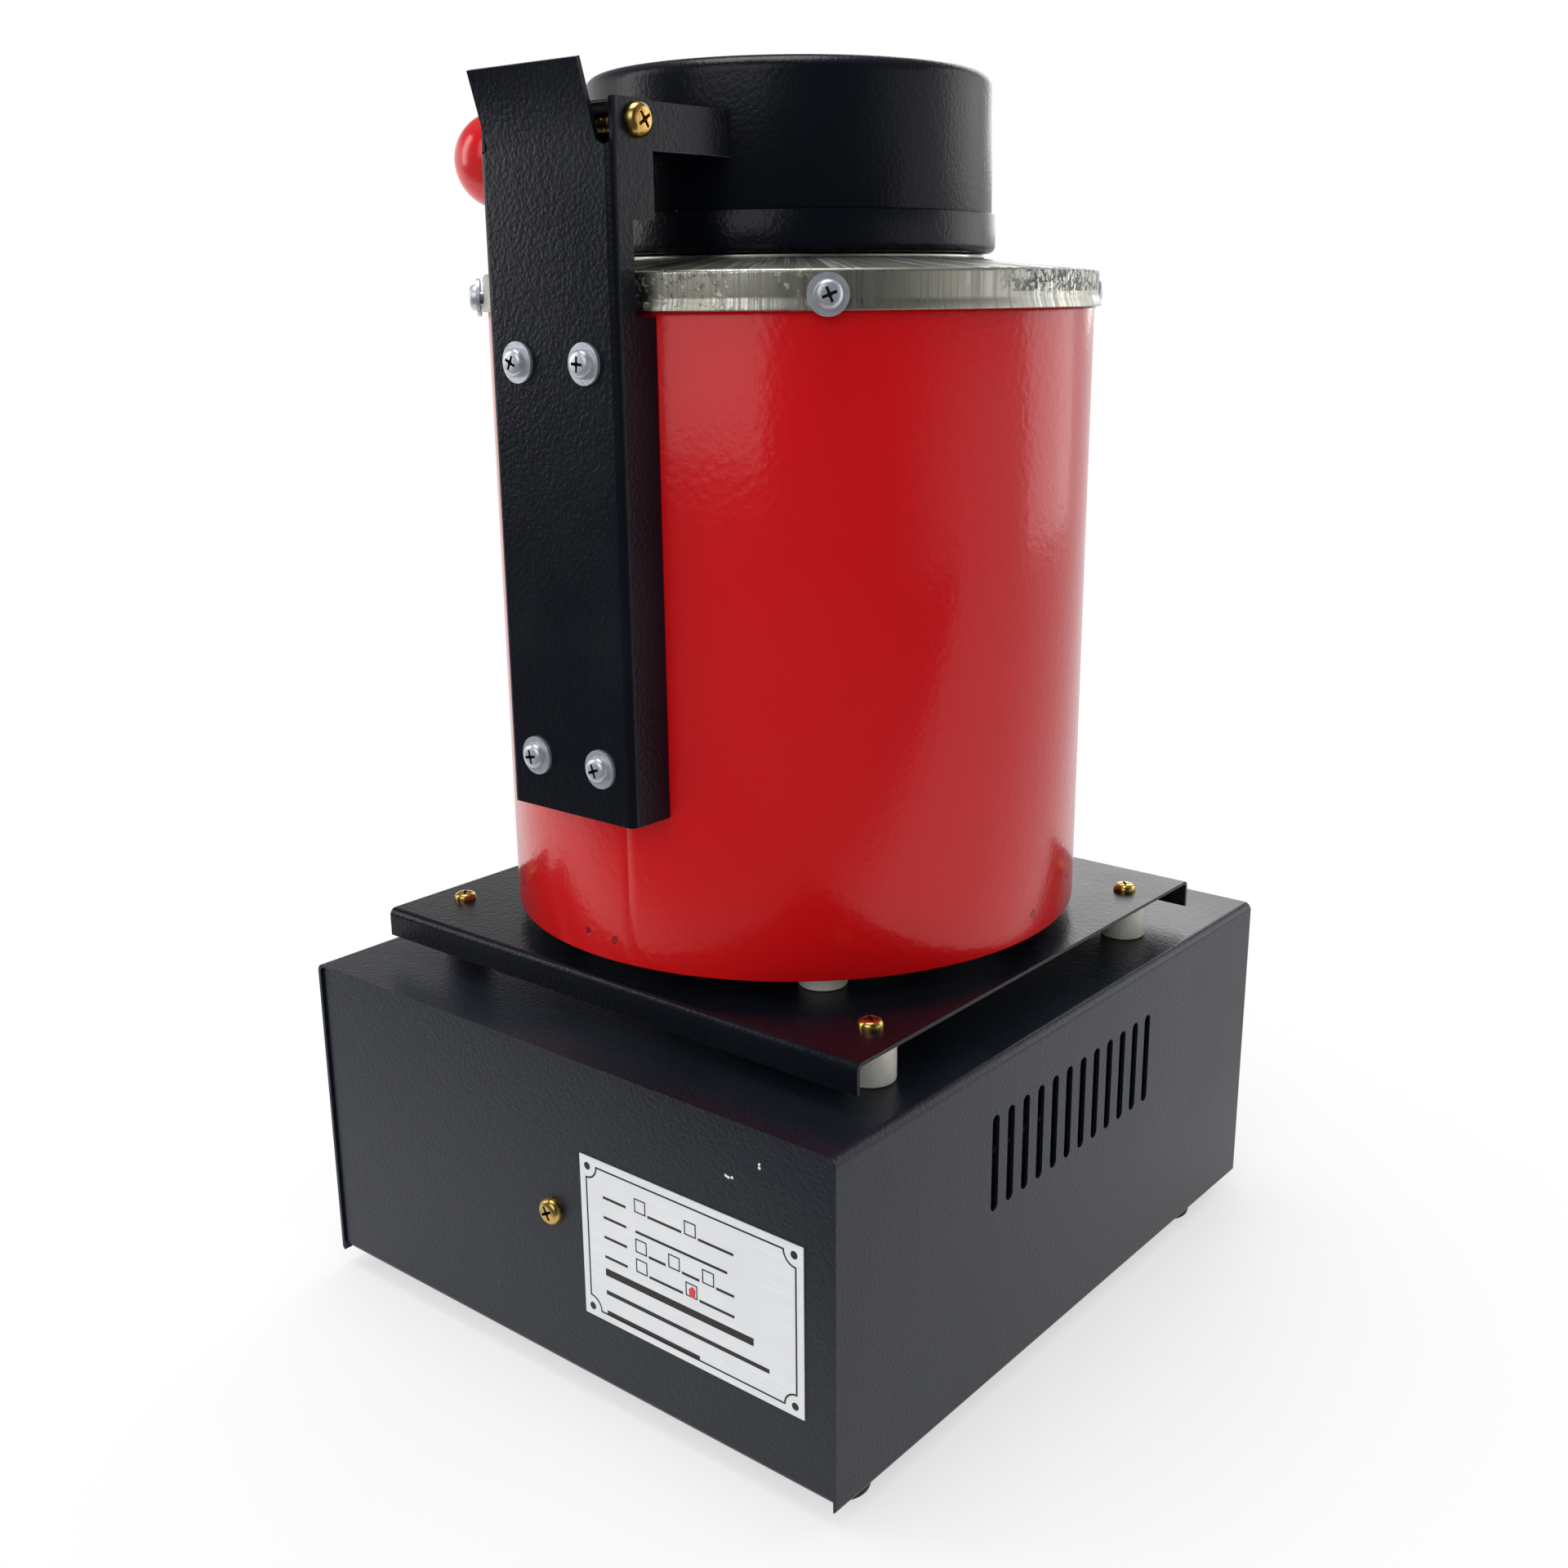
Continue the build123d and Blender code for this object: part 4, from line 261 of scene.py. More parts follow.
class Surface(Graph):
    """The shader of one finish, which its layers change in turn."""

    def __init__(self, name: str, colour: Colour, roughness: float) -> None:
        """Start a plain shader.

        Args:
            name: The material's name.
            colour: The base colour.
            roughness: The base roughness.
        """
        self.material = bpy.data.materials.new(name)
        self.material.use_nodes = True
        super().__init__(self.material.node_tree)
        self.tree.nodes.clear()
        self.shader = self.node("ShaderNodeBsdfPrincipled")
        self.node("ShaderNodeOutputMaterial", {"Surface": self.shader.outputs[0]})
        self.place = self.node("ShaderNodeTexCoord").outputs["Object"]
        self.colour: Value = (*colour, 1.0)
        self.roughness: Value = roughness
        self.metallic: Value = 0.0
        self.normal: Socket | None = None

    def scaled(self, sizes: Sequence[float]) -> Socket:
        """Return the place on the piece, divided by a size in millimetres each way."""
        scale = tuple(1 / (size * MM) for size in sizes)
        node = self.node("ShaderNodeMapping", {"Vector": self.place, "Scale": scale})
        return node.outputs[0]

    def about_axis(self, across: float, along: float) -> Socket:
        """Return a place whose first two numbers turn with the direction from the barrel's axis.

        Args:
            across: How many steps one radian takes.
            along: Size of one step outwards or upwards, in millimetres.

        Returns:
            The vector.
        """
        x, y, z = self.split(self.place)
        x = self.math("SUBTRACT", x, AXIS.x * MM)
        y = self.math("SUBTRACT", y, AXIS.y * MM)
        square = self.math("ADD", self.times(x, x), self.times(y, y))
        radius = self.math("MAXIMUM", self.math("SQRT", square), MM)
        scale = self.math("DIVIDE", across, radius)
        length = self.math("DIVIDE", self.math("ADD", radius, z), along * MM)
        return self.vector(self.times(x, scale), self.times(y, scale), length)

    def noise(self, size: float, detail: float = 2.0, rough: float = 0.5,
              place: Socket | None = None) -> Socket:
        """Return smooth noise from 0 to 1.

        Args:
            size: Size of its largest marks in millimetres, or 1 where the place is scaled already.
            detail: How many finer steps it has.
            rough: How strong the finer steps are.
            place: A vector that is scaled already, instead of the place on the piece.

        Returns:
            The noise.
        """
        vector = place or self.scaled((size, size, size))
        inputs = {"Vector": vector, "Scale": 1.0, "Detail": detail, "Roughness": rough}
        return self.out("ShaderNodeTexNoise", inputs)

    def cells(self, spacing: float) -> tuple[Socket, Socket]:
        """Return the distance to the nearest scattered point, and that point's random number."""
        inputs = {"Vector": self.scaled((spacing, spacing, spacing)), "Scale": 1.0}
        node = self.node("ShaderNodeTexVoronoi", inputs)
        return node.outputs["Distance"], self.split(node.outputs["Color"])[0]

    def blend(self, factor: Value, first: Value, second: Value) -> Socket:
        """Mix two colours."""
        node = self.node("ShaderNodeMix", {0: factor, 6: first, 7: second}, data_type="RGBA")
        return node.outputs[2]

    def tint(self, factor: Value, colour: Colour) -> None:
        """Mix a colour over what is there."""
        self.colour = self.blend(factor, self.colour, (*colour, 1.0))

    def roughen(self, factor: Value, roughness: float) -> None:
        """Move the roughness towards another where the factor is 1."""
        change = self.times(self.math("SUBTRACT", roughness, self.roughness), factor)
        self.roughness = self.math("ADD", self.roughness, change, clamp=True)

    def dull(self, factor: Value) -> None:
        """Cover bare metal with something that isn't metal where the factor is 1."""
        bare = self.math("SUBTRACT", 1.0, factor, clamp=True)
        self.metallic = self.times(self.metallic, bare)

    def raise_by(self, height: Socket, depth: float) -> None:
        """Add relief, from its height between 0 and 1 and its depth in millimetres."""
        inputs = {"Strength": 1.0, "Distance": depth * MM, "Height": height}
        if self.normal is not None:
            inputs["Normal"] = self.normal
        self.normal = self.out("ShaderNodeBump", inputs)

    def finish(self, constants: Mapping[str, float | tuple[float, ...]]) -> bpy.types.Material:
        """Feed the shader and return its material."""
        self.feed(self.shader.inputs["Base Color"], self.colour)
        self.feed(self.shader.inputs["Roughness"], self.roughness)
        self.feed(self.shader.inputs["Metallic"], self.metallic)
        for name, value in constants.items():
            self.shader.inputs[name].default_value = value
        if self.normal is not None:
            self.feed(self.shader.inputs["Normal"], self.normal)
        return self.material


# ---------------------------------------------------------------- layers of a finish
@dataclass(frozen=True)
class Grain:
    """Fine relief, such as orange peel or the bumps of a powder coat."""

    size: float
    depth: float
    detail: float = 1.0
    shading: float = 0.0

    def apply(self, surface: Surface) -> None:
        """Raise the surface, and shade its hollows a little."""
        height = surface.noise(self.size, self.detail)
        surface.raise_by(surface.span(height, 0.3, 0.7), self.depth)
        if self.shading:
            surface.tint(surface.span(height, 0.5, 0.25, 0.0, self.shading), (0.0, 0.0, 0.0))


@dataclass(frozen=True)
class Mottle:
    """Broad, soft patches of another colour and roughness."""

    size: float
    colour: Colour
    amount: float
    roughness: float
    low: float = 0.42
    high: float = 0.68
    detail: float = 3.0

    def apply(self, surface: Surface) -> None:
        """Tint and roughen the patches."""
        patches = surface.noise(self.size, self.detail, 0.55)
        surface.tint(surface.span(patches, self.low, self.high, 0.0, self.amount), self.colour)
        surface.roughen(surface.span(patches, self.low, self.high), self.roughness)


@dataclass(frozen=True)
class Specks:
    """Scattered specks, such as dust, chips or pits."""

    spacing: float
    size: float
    share: float
    colour: Colour
    amount: float = 1.0
    depth: float = 0.0

    def apply(self, surface: Surface) -> None:
        """Mark a share of the scattered points."""
        distance, chance = surface.cells(self.spacing)
        edge = self.size / self.spacing
        near = surface.span(distance, edge, edge * 0.55, 0.0, self.amount)
        picked = surface.math("GREATER_THAN", chance, 1 - self.share)
        mask = surface.times(near, picked)
        surface.tint(mask, self.colour)
        surface.roughen(mask, 0.8)
        if self.depth:
            surface.raise_by(mask, self.depth)


@dataclass(frozen=True)
class BrushAndReflectionStreaks:
    """Fine parallel marks of brushing, rolling or drawing, and painted reflection and highlight
    streaks on the cap's cone.
    """

    lay: Lay
    width: float
    length: float
    dark: Colour
    amount: float
    depth: float
    low: float = 0.35
    high: float = 0.65
    above: float = 0.0

    def lines(self, surface: Surface) -> Socket:
        """Return the marks, from 0 to 1."""
        if self.lay is Lay.SPOKES:
            place = surface.about_axis(AXIS_STEPS / self.width, self.length)
        elif self.lay is Lay.RINGS:
            place = surface.about_axis(AXIS_STEPS / self.length, self.width)
        elif self.lay is Lay.ALONG_X:
            place = surface.scaled((self.length, self.width, self.width))
        else:
            place = surface.scaled((self.width, self.width, self.length))
        return surface.noise(1.0, 3.0, 0.6, place)

    def apply(self, surface: Surface) -> None:
        """Shade, roughen and raise the marks."""
        lines = self.lines(surface)
        if self.above:
            z = surface.split(surface.place)[2]
            reached = surface.span(z, (self.above - 0.2) * MM, (self.above + 0.2) * MM)
            lines = surface.times(lines, reached)
        surface.tint(surface.span(lines, self.low, self.high, 0.0, self.amount), self.dark)
        surface.roughen(surface.span(lines, self.low, self.high), 0.5)
        surface.raise_by(lines, self.depth)


@dataclass(frozen=True)
class Fade:
    """A slow change of colour with height."""

    low: float
    high: float
    colour: Colour
    amount: float

    def apply(self, surface: Surface) -> None:
        """Tint towards the colour from the low level to the high one."""
        z = surface.split(surface.place)[2]
        surface.tint(surface.span(z, self.low * MM, self.high * MM, 0.0, self.amount), self.colour)


@dataclass(frozen=True)
class Smear:
    """Dried glue and soot that clings to one side of a round piece."""

    angle: float
    spread: float
    size: float
    colour: Colour
    amount: float
    floor: float = 0.46
    levels: tuple[float, float] = (0.0, 1000.0)

    def apply(self, surface: Surface) -> None:
        """Cover ragged patches near the angle."""
        turn = math.radians(self.angle)
        x, y, _ = surface.split(surface.about_axis(1.0, 1.0))
        across = surface.times(x, math.cos(turn))
        aside = surface.math("ADD", across, surface.times(y, math.sin(turn)))
        edge = math.cos(math.radians(self.spread))
        side = surface.span(aside, edge - 0.04, min(edge + 0.05, 0.999))
        ragged = surface.noise(self.size, 5.0, 0.7)
        level = surface.times(side, surface.span(ragged, self.floor, self.floor + 0.05))
        z = surface.split(surface.place)[2]
        low, high = self.levels
        level = surface.times(level, surface.span(z, low * MM, (low + 0.6) * MM))
        level = surface.times(level, surface.span(z, high * MM, (high - 0.4) * MM))
        mask = surface.times(level, self.amount)
        surface.tint(mask, self.colour)
        surface.roughen(mask, 0.45)
        surface.dull(mask)
        surface.raise_by(level, 0.12)


@dataclass(frozen=True)
class Marks:
    """Small round marks at known places, such as spot welds and chips."""

    places: tuple[Place, ...]
    radius: float
    colour: Colour
    amount: float
    depth: float

    def apply(self, surface: Surface) -> None:
        """Tint and sink each mark, a little out of round."""
        wobble = surface.times(surface.noise(self.radius, 2.0), self.radius * MM)
        for place in self.places:
            spot = tuple(each * MM for each in place)
            inputs = {0: surface.place, 1: spot}
            distance = surface.math("ADD", surface.measure("DISTANCE", inputs), wobble)
            mask = surface.span(distance, self.radius * 1.4 * MM, self.radius * MM)
            surface.tint(surface.times(mask, self.amount), self.colour)
            if self.depth:
                surface.raise_by(mask, self.depth)


Layer = Grain | Mottle | Specks | BrushAndReflectionStreaks | Fade | Smear | Marks
AXIS_STEPS = 100.0


@dataclass(frozen=True)
class Finish:
    """One surface finish: a base and the layers over it."""

    name: str
    slot: Slot
    colour: Colour
    roughness: float
    metallic: float = 0.0
    constants: tuple[tuple[str, float | tuple[float, ...]], ...] = ()
    layers: tuple[Layer, ...] = ()

    def material(self) -> bpy.types.Material:
        """Return the finish's material, made the first time it is asked for."""
        known = bpy.data.materials.get(self.name)
        if known is not None:
            return known
        surface = Surface(self.name, self.colour, self.roughness)
        surface.metallic = self.metallic
        for layer in self.layers:
            layer.apply(surface)
        return surface.finish(dict(self.constants))


# ---------------------------------------------------------------- the furnace's finishes
DUST = srgb(190, 194, 200)
STEEL_SHADE = srgb(96, 96, 92)
BARREL_RADIUS = AXIS.x - reach("barrel_shell")[0].x
BAND_RADIUS = AXIS.x - reach("lid_band")[0].x


def on_barrel(angle: float, lift: float, radius: float = BARREL_RADIUS) -> Place:
    """Return a place on the barrel or lid, by its direction in degrees and its height."""
    turn = math.radians(angle)
    level = reach("barrel_shell")[0].z + lift
    return AXIS.x + radius * math.cos(turn), AXIS.y + radius * math.sin(turn), level


SPOT_WELDS = tuple(
    on_barrel(angle, lift)
    for angle, lift in (
        (58.7, 9.9), (86.9, 7.9), (93.8, 7.1), (180.8, 8.0), (197.4, 12.2), (12.0, 8.6),
        (278.0, 8.0),
    )
)
LID_SCRATCH = tuple(
    on_barrel(98.3 + aside, 231.0 + up, BAND_RADIUS)
    for aside, up in (
        (0.0, 0.0), (1.0, 0.9), (-1.1, -0.5), (0.8, -1.2), (-0.9, 1.1), (1.9, 0.2), (-1.8, 0.4),
    )
)
PANEL_CHIPS = tuple(
    (reach("nameplate")[0].x + right, reach("nameplate")[0].y, reach("nameplate")[1].z + up)
    for right, up in ((27.0, 12.9), (28.4, 12.6), (29.4, 12.9), (16.4, 19.6), (16.5, 20.7))
)

BLACK_COAT = Finish(
    "black_powder_coat_finish", Slot.BLACK_COAT, srgb(9, 13, 22), 0.25,
    constants=(("Specular IOR Level", 0.2),),
    layers=(
        Mottle(60.0, srgb(14, 18, 28), 0.5, 0.31),
        Grain(1.35, 0.036),
        Grain(0.5, 0.008),
        Specks(9.0, 0.22, 0.10, DUST, 0.6),
        Marks(LID_SCRATCH, 0.6, srgb(176, 182, 194), 0.8, 0.0),
    ),
)
SMOOTH_COAT = Finish(
    "satin_powder_coat_finish", Slot.BLACK_COAT, srgb(17, 23, 34), 0.3,
    constants=(("Specular IOR Level", 0.32),),
    layers=(
        Mottle(90.0, srgb(24, 30, 40), 0.6, 0.36),
        Grain(1.3, 0.04),
        Grain(0.5, 0.008),
        Specks(11.0, 0.2, 0.12, DUST, 0.7),
        Marks(PANEL_CHIPS, 0.7, srgb(228, 231, 234), 0.95, 0.0),
    ),
)
# Eased sheet edges: a lighter colour that is partly worn coat and partly a painted highlight along
# the edge.
WORN_AND_HIGHLIGHT_EDGE = Finish(
    "worn_coat_and_highlight_edge", Slot.BLACK_COAT, srgb(76, 82, 94), 0.3,
    layers=(
        Mottle(5.0, srgb(30, 34, 42), 0.8, 0.34, 0.45, 0.62),
        Mottle(3.0, srgb(150, 152, 155), 0.5, 0.3, 0.58, 0.66),
        Grain(0.8, 0.02),
    ),
)
RED_ENAMEL = Finish(
    "red_enamel_finish", Slot.RED_ENAMEL, srgb(196, 12, 20), 0.18,
    constants=(("Coat Weight", 0.08), ("Coat Roughness", 0.06), ("Specular IOR Level", 0.28)),
    layers=(
        Mottle(120.0, srgb(196, 14, 18), 0.5, 0.22),
        # Painted reflection: the barrel's lower part is tinted a lighter red, standing for the pale
        # floor mirrored in the enamel.
        Fade(230.0, 140.0, srgb(206, 20, 18), 0.5),
        Grain(2.6, 0.035),
        Grain(0.8, 0.006),
        Specks(26.0, 0.35, 0.10, srgb(120, 14, 14), 0.8),
        Marks(SPOT_WELDS, 1.7, srgb(96, 8, 12), 0.75, -0.22),
    ),
)
STAINLESS = Finish(
    "brushed_stainless_finish", Slot.STAINLESS, srgb(184, 183, 173), 0.26, 1.0,
    layers=(
        BrushAndReflectionStreaks(Lay.SPOKES, 0.7, 60.0, STEEL_SHADE, 0.35, 0.008, 0.40, 0.62),
        # Painted reflection: dark radial streaks on the cap's cone stand for dark surroundings
        # mirrored in the steel.
        BrushAndReflectionStreaks(Lay.SPOKES, 3.4, 120.0, srgb(34, 37, 50), 0.7, 0.0, 0.43, 0.55, above=357.0),
        # Painted highlight: light radial streaks on the cap's cone stand for the lamps' light on
        # the spun marks.
        BrushAndReflectionStreaks(Lay.SPOKES, 4.2, 140.0, srgb(222, 226, 238), 0.55, 0.0, 0.52, 0.62, above=357.0),
        Mottle(14.0, srgb(172, 168, 152), 0.5, 0.42),
        Smear(192.0, 24.0, 2.2, srgb(22, 24, 46), 0.95, 0.48, (350.4, 357.0)),
        Smear(192.0, 22.0, 3.0, srgb(206, 208, 210), 0.5, 0.54, (349.0, 357.0)),
        Smear(104.0, 10.0, 2.0, srgb(66, 60, 52), 0.8, 0.54, (349.5, 357.0)),
        Smear(116.0, 9.0, 3.0, srgb(214, 213, 204), 0.55, 0.57, (346.0, 357.0)),
    ),
)
COLLAR_STEEL = Finish(
    "collar_steel_finish", Slot.STAINLESS, srgb(206, 205, 200), 0.24, 1.0,
    layers=(
        BrushAndReflectionStreaks(Lay.RINGS, 0.8, 40.0, STEEL_SHADE, 0.4, 0.01),
        Mottle(22.0, srgb(176, 168, 150), 0.35, 0.34),
    ),
)
ZINC = Finish(
    "bright_zinc_finish", Slot.ZINC, srgb(214, 219, 226), 0.38, 0.8,
    layers=(
        Mottle(3.4, srgb(160, 170, 184), 0.4, 0.44),
        Grain(1.2, 0.004),
    ),
)
YELLOW_ZINC = Finish(
    "yellow_zinc_finish", Slot.YELLOW_ZINC, srgb(206, 172, 92), 0.22, 1.0,
    layers=(
        Mottle(1.9, srgb(176, 118, 96), 0.55, 0.3),
        Mottle(2.7, srgb(150, 168, 96), 0.4, 0.28, 0.5, 0.62),
        Grain(0.5, 0.006, 2.0),
    ),
)
# Painted shade: screw recesses get darker finishes that stand for the shade falling inside them.
RECESS_SHADE = Finish(
    "screw_recess_painted_shade", Slot.ZINC, srgb(58, 62, 72), 0.45, 0.7,
    layers=(Mottle(1.5, srgb(70, 74, 82), 0.5, 0.4),),
)
GOLD_RECESS_SHADE = Finish(
    "gold_recess_painted_shade", Slot.YELLOW_ZINC, srgb(92, 62, 30), 0.4, 0.8,
    layers=(Mottle(1.5, srgb(124, 88, 44), 0.5, 0.36),),
)
GALVANISED = Finish(
    "galvanised_finish", Slot.GALVANISED, srgb(168, 172, 176), 0.38, 1.0,
    layers=(
        Mottle(6.0, srgb(134, 140, 146), 0.7, 0.5),
        BrushAndReflectionStreaks(Lay.ALONG_X, 0.6, 30.0, srgb(110, 114, 120), 0.3, 0.004),
    ),
)
CERAMIC = Finish(
    "white_ceramic_finish", Slot.CERAMIC, srgb(226, 223, 214), 0.34,
    layers=(
        Mottle(7.0, srgb(205, 198, 184), 0.5, 0.5),
        Grain(0.7, 0.015, 2.0),
        Specks(4.0, 0.16, 0.16, srgb(120, 108, 90), 0.7),
    ),
)
FIBRE = Finish(
    "ceramic_fibre_finish", Slot.FIBRE, srgb(232, 228, 218), 0.95,
    layers=(
        Mottle(16.0, srgb(206, 198, 182), 0.6, 1.0),
        Grain(1.6, 0.35, 4.0, 0.25),
        Grain(0.4, 0.08, 2.0),
    ),
)
SCORCHED_FIBRE = Finish(
    "scorched_fibre_finish", Slot.FIBRE, srgb(214, 204, 186), 0.95,
    layers=(
        Mottle(18.0, srgb(164, 140, 112), 0.6, 1.0),
        Grain(1.6, 0.35, 4.0, 0.3),
        Grain(0.4, 0.08, 2.0),
    ),
)
REFRACTORY = Finish(
    "refractory_finish", Slot.REFRACTORY, srgb(205, 190, 164), 0.9,
    layers=(
        Mottle(12.0, srgb(168, 146, 116), 0.6, 0.95),
        Grain(1.0, 0.12, 4.0, 0.3),
        Specks(3.0, 0.3, 0.25, srgb(110, 90, 70), 0.6, -0.1),
    ),
)
GRAPHITE = Finish(
    "graphite_finish", Slot.GRAPHITE, srgb(52, 53, 56), 0.42, 0.35,
    layers=(
        BrushAndReflectionStreaks(Lay.RINGS, 0.5, 60.0, srgb(34, 35, 38), 0.5, 0.015),
        Mottle(9.0, srgb(74, 75, 78), 0.5, 0.55),
        Specks(2.2, 0.2, 0.2, srgb(24, 24, 26), 0.7, -0.05),
    ),
)
HEATING_WIRE = Finish(
    "heating_wire_finish", Slot.HEATING_WIRE, srgb(112, 104, 98), 0.5, 0.9,
    layers=(
        Mottle(3.0, srgb(84, 74, 66), 0.7, 0.6),
        Grain(0.4, 0.02, 2.0),
    ),
)
SILVER_PLATE = Finish(
    "silver_plate_finish", Slot.SILVER_PLATE, srgb(232, 234, 236), 0.42, 0.15,
    layers=(
        BrushAndReflectionStreaks(Lay.ALONG_X, 0.35, 26.0, srgb(212, 215, 219), 0.35, 0.002),
        Mottle(24.0, srgb(222, 224, 226), 0.5, 0.48),
    ),
)
CONTROL_PLATE = Finish(
    "brushed_control_plate_finish", Slot.SILVER_PLATE, srgb(196, 199, 203), 0.32, 0.9,
    layers=(
        BrushAndReflectionStreaks(Lay.ALONG_X, 0.3, 60.0, srgb(140, 144, 150), 0.55, 0.005),
        Mottle(50.0, srgb(176, 180, 186), 0.4, 0.4),
    ),
)
PRINT_BLACK = Finish(
    "printed_black_finish", Slot.SILVER_PLATE, srgb(20, 20, 22), 0.5,
    layers=(Mottle(2.0, srgb(44, 44, 46), 0.5, 0.6),),
)
MARKER_RED = Finish(
    "red_marker_finish", Slot.SILVER_PLATE, srgb(206, 34, 44), 0.42,
    layers=(Mottle(1.2, srgb(236, 92, 96), 0.6, 0.5),),
)
RED_BALL = Finish(
    "red_knob_finish", Slot.RED_PLASTIC, srgb(206, 18, 22), 0.2,
    constants=(("Coat Weight", 0.3), ("Coat Roughness", 0.1), ("Subsurface Weight", 0.04)),
    layers=(
        Mottle(14.0, srgb(188, 12, 18), 0.5, 0.28),
        Grain(1.8, 0.006),
    ),
)
RED_ROCKER = Finish(
    "red_rocker_finish", Slot.RED_PLASTIC, srgb(190, 20, 24), 0.3,
    layers=(
        Mottle(10.0, srgb(168, 12, 18), 0.5, 0.38),
        Grain(0.5, 0.012),
    ),
)
BLACK_PLASTIC = Finish(
    "black_plastic_finish", Slot.BLACK_PLASTIC, srgb(30, 31, 33), 0.45,
    layers=(
        Mottle(30.0, srgb(38, 39, 42), 0.6, 0.52),
        Grain(0.45, 0.018),
    ),
)
GREY_PLASTIC = Finish(
    "grey_plastic_finish", Slot.GREY_PLASTIC, srgb(150, 153, 157), 0.5,
    layers=(
        Mottle(12.0, srgb(136, 139, 144), 0.6, 0.58),
        Grain(0.4, 0.015),
    ),
)
DARK_WINDOW = Finish(
    "smoked_window_finish", Slot.DARK_WINDOW, srgb(26, 10, 12), 0.06,
    constants=(("Coat Weight", 0.6), ("Coat Roughness", 0.04)),
    layers=(
        Mottle(20.0, srgb(18, 8, 10), 0.5, 0.1),
        Grain(6.0, 0.004),
    ),
)
SEGMENT = Finish(
    "unlit_segment_finish", Slot.DARK_WINDOW, srgb(86, 44, 44), 0.3,
    layers=(Mottle(4.0, srgb(70, 36, 38), 0.5, 0.35),),
)
WHITE_INK = Finish(
    "white_ink_finish", Slot.BLACK_PLASTIC, srgb(226, 228, 228), 0.5,
    layers=(Mottle(2.0, srgb(202, 204, 204), 0.5, 0.6),),
)
RUBBER = Finish(
    "black_rubber_finish", Slot.RUBBER, srgb(24, 24, 25), 0.75,
    layers=(
        Mottle(6.0, srgb(44, 44, 45), 0.5, 0.85),
        Grain(0.5, 0.03, 2.0),
        Specks(3.0, 0.2, 0.12, DUST, 0.5),
    ),
)
HEAT_SINK = Finish(
    "extruded_aluminium_finish", Slot.HEAT_SINK, srgb(186, 188, 190), 0.32, 1.0,
    layers=(
        BrushAndReflectionStreaks(Lay.ALONG_Z, 0.5, 60.0, srgb(138, 140, 144), 0.5, 0.006),
        Mottle(20.0, srgb(160, 162, 166), 0.5, 0.42),
    ),
)
RED_WIRE = Finish(
    "red_silicone_finish", Slot.RED_WIRE, srgb(200, 26, 24), 0.42,
    layers=(
        Mottle(9.0, srgb(176, 18, 18), 0.5, 0.5),
        Grain(0.5, 0.02),
    ),
)


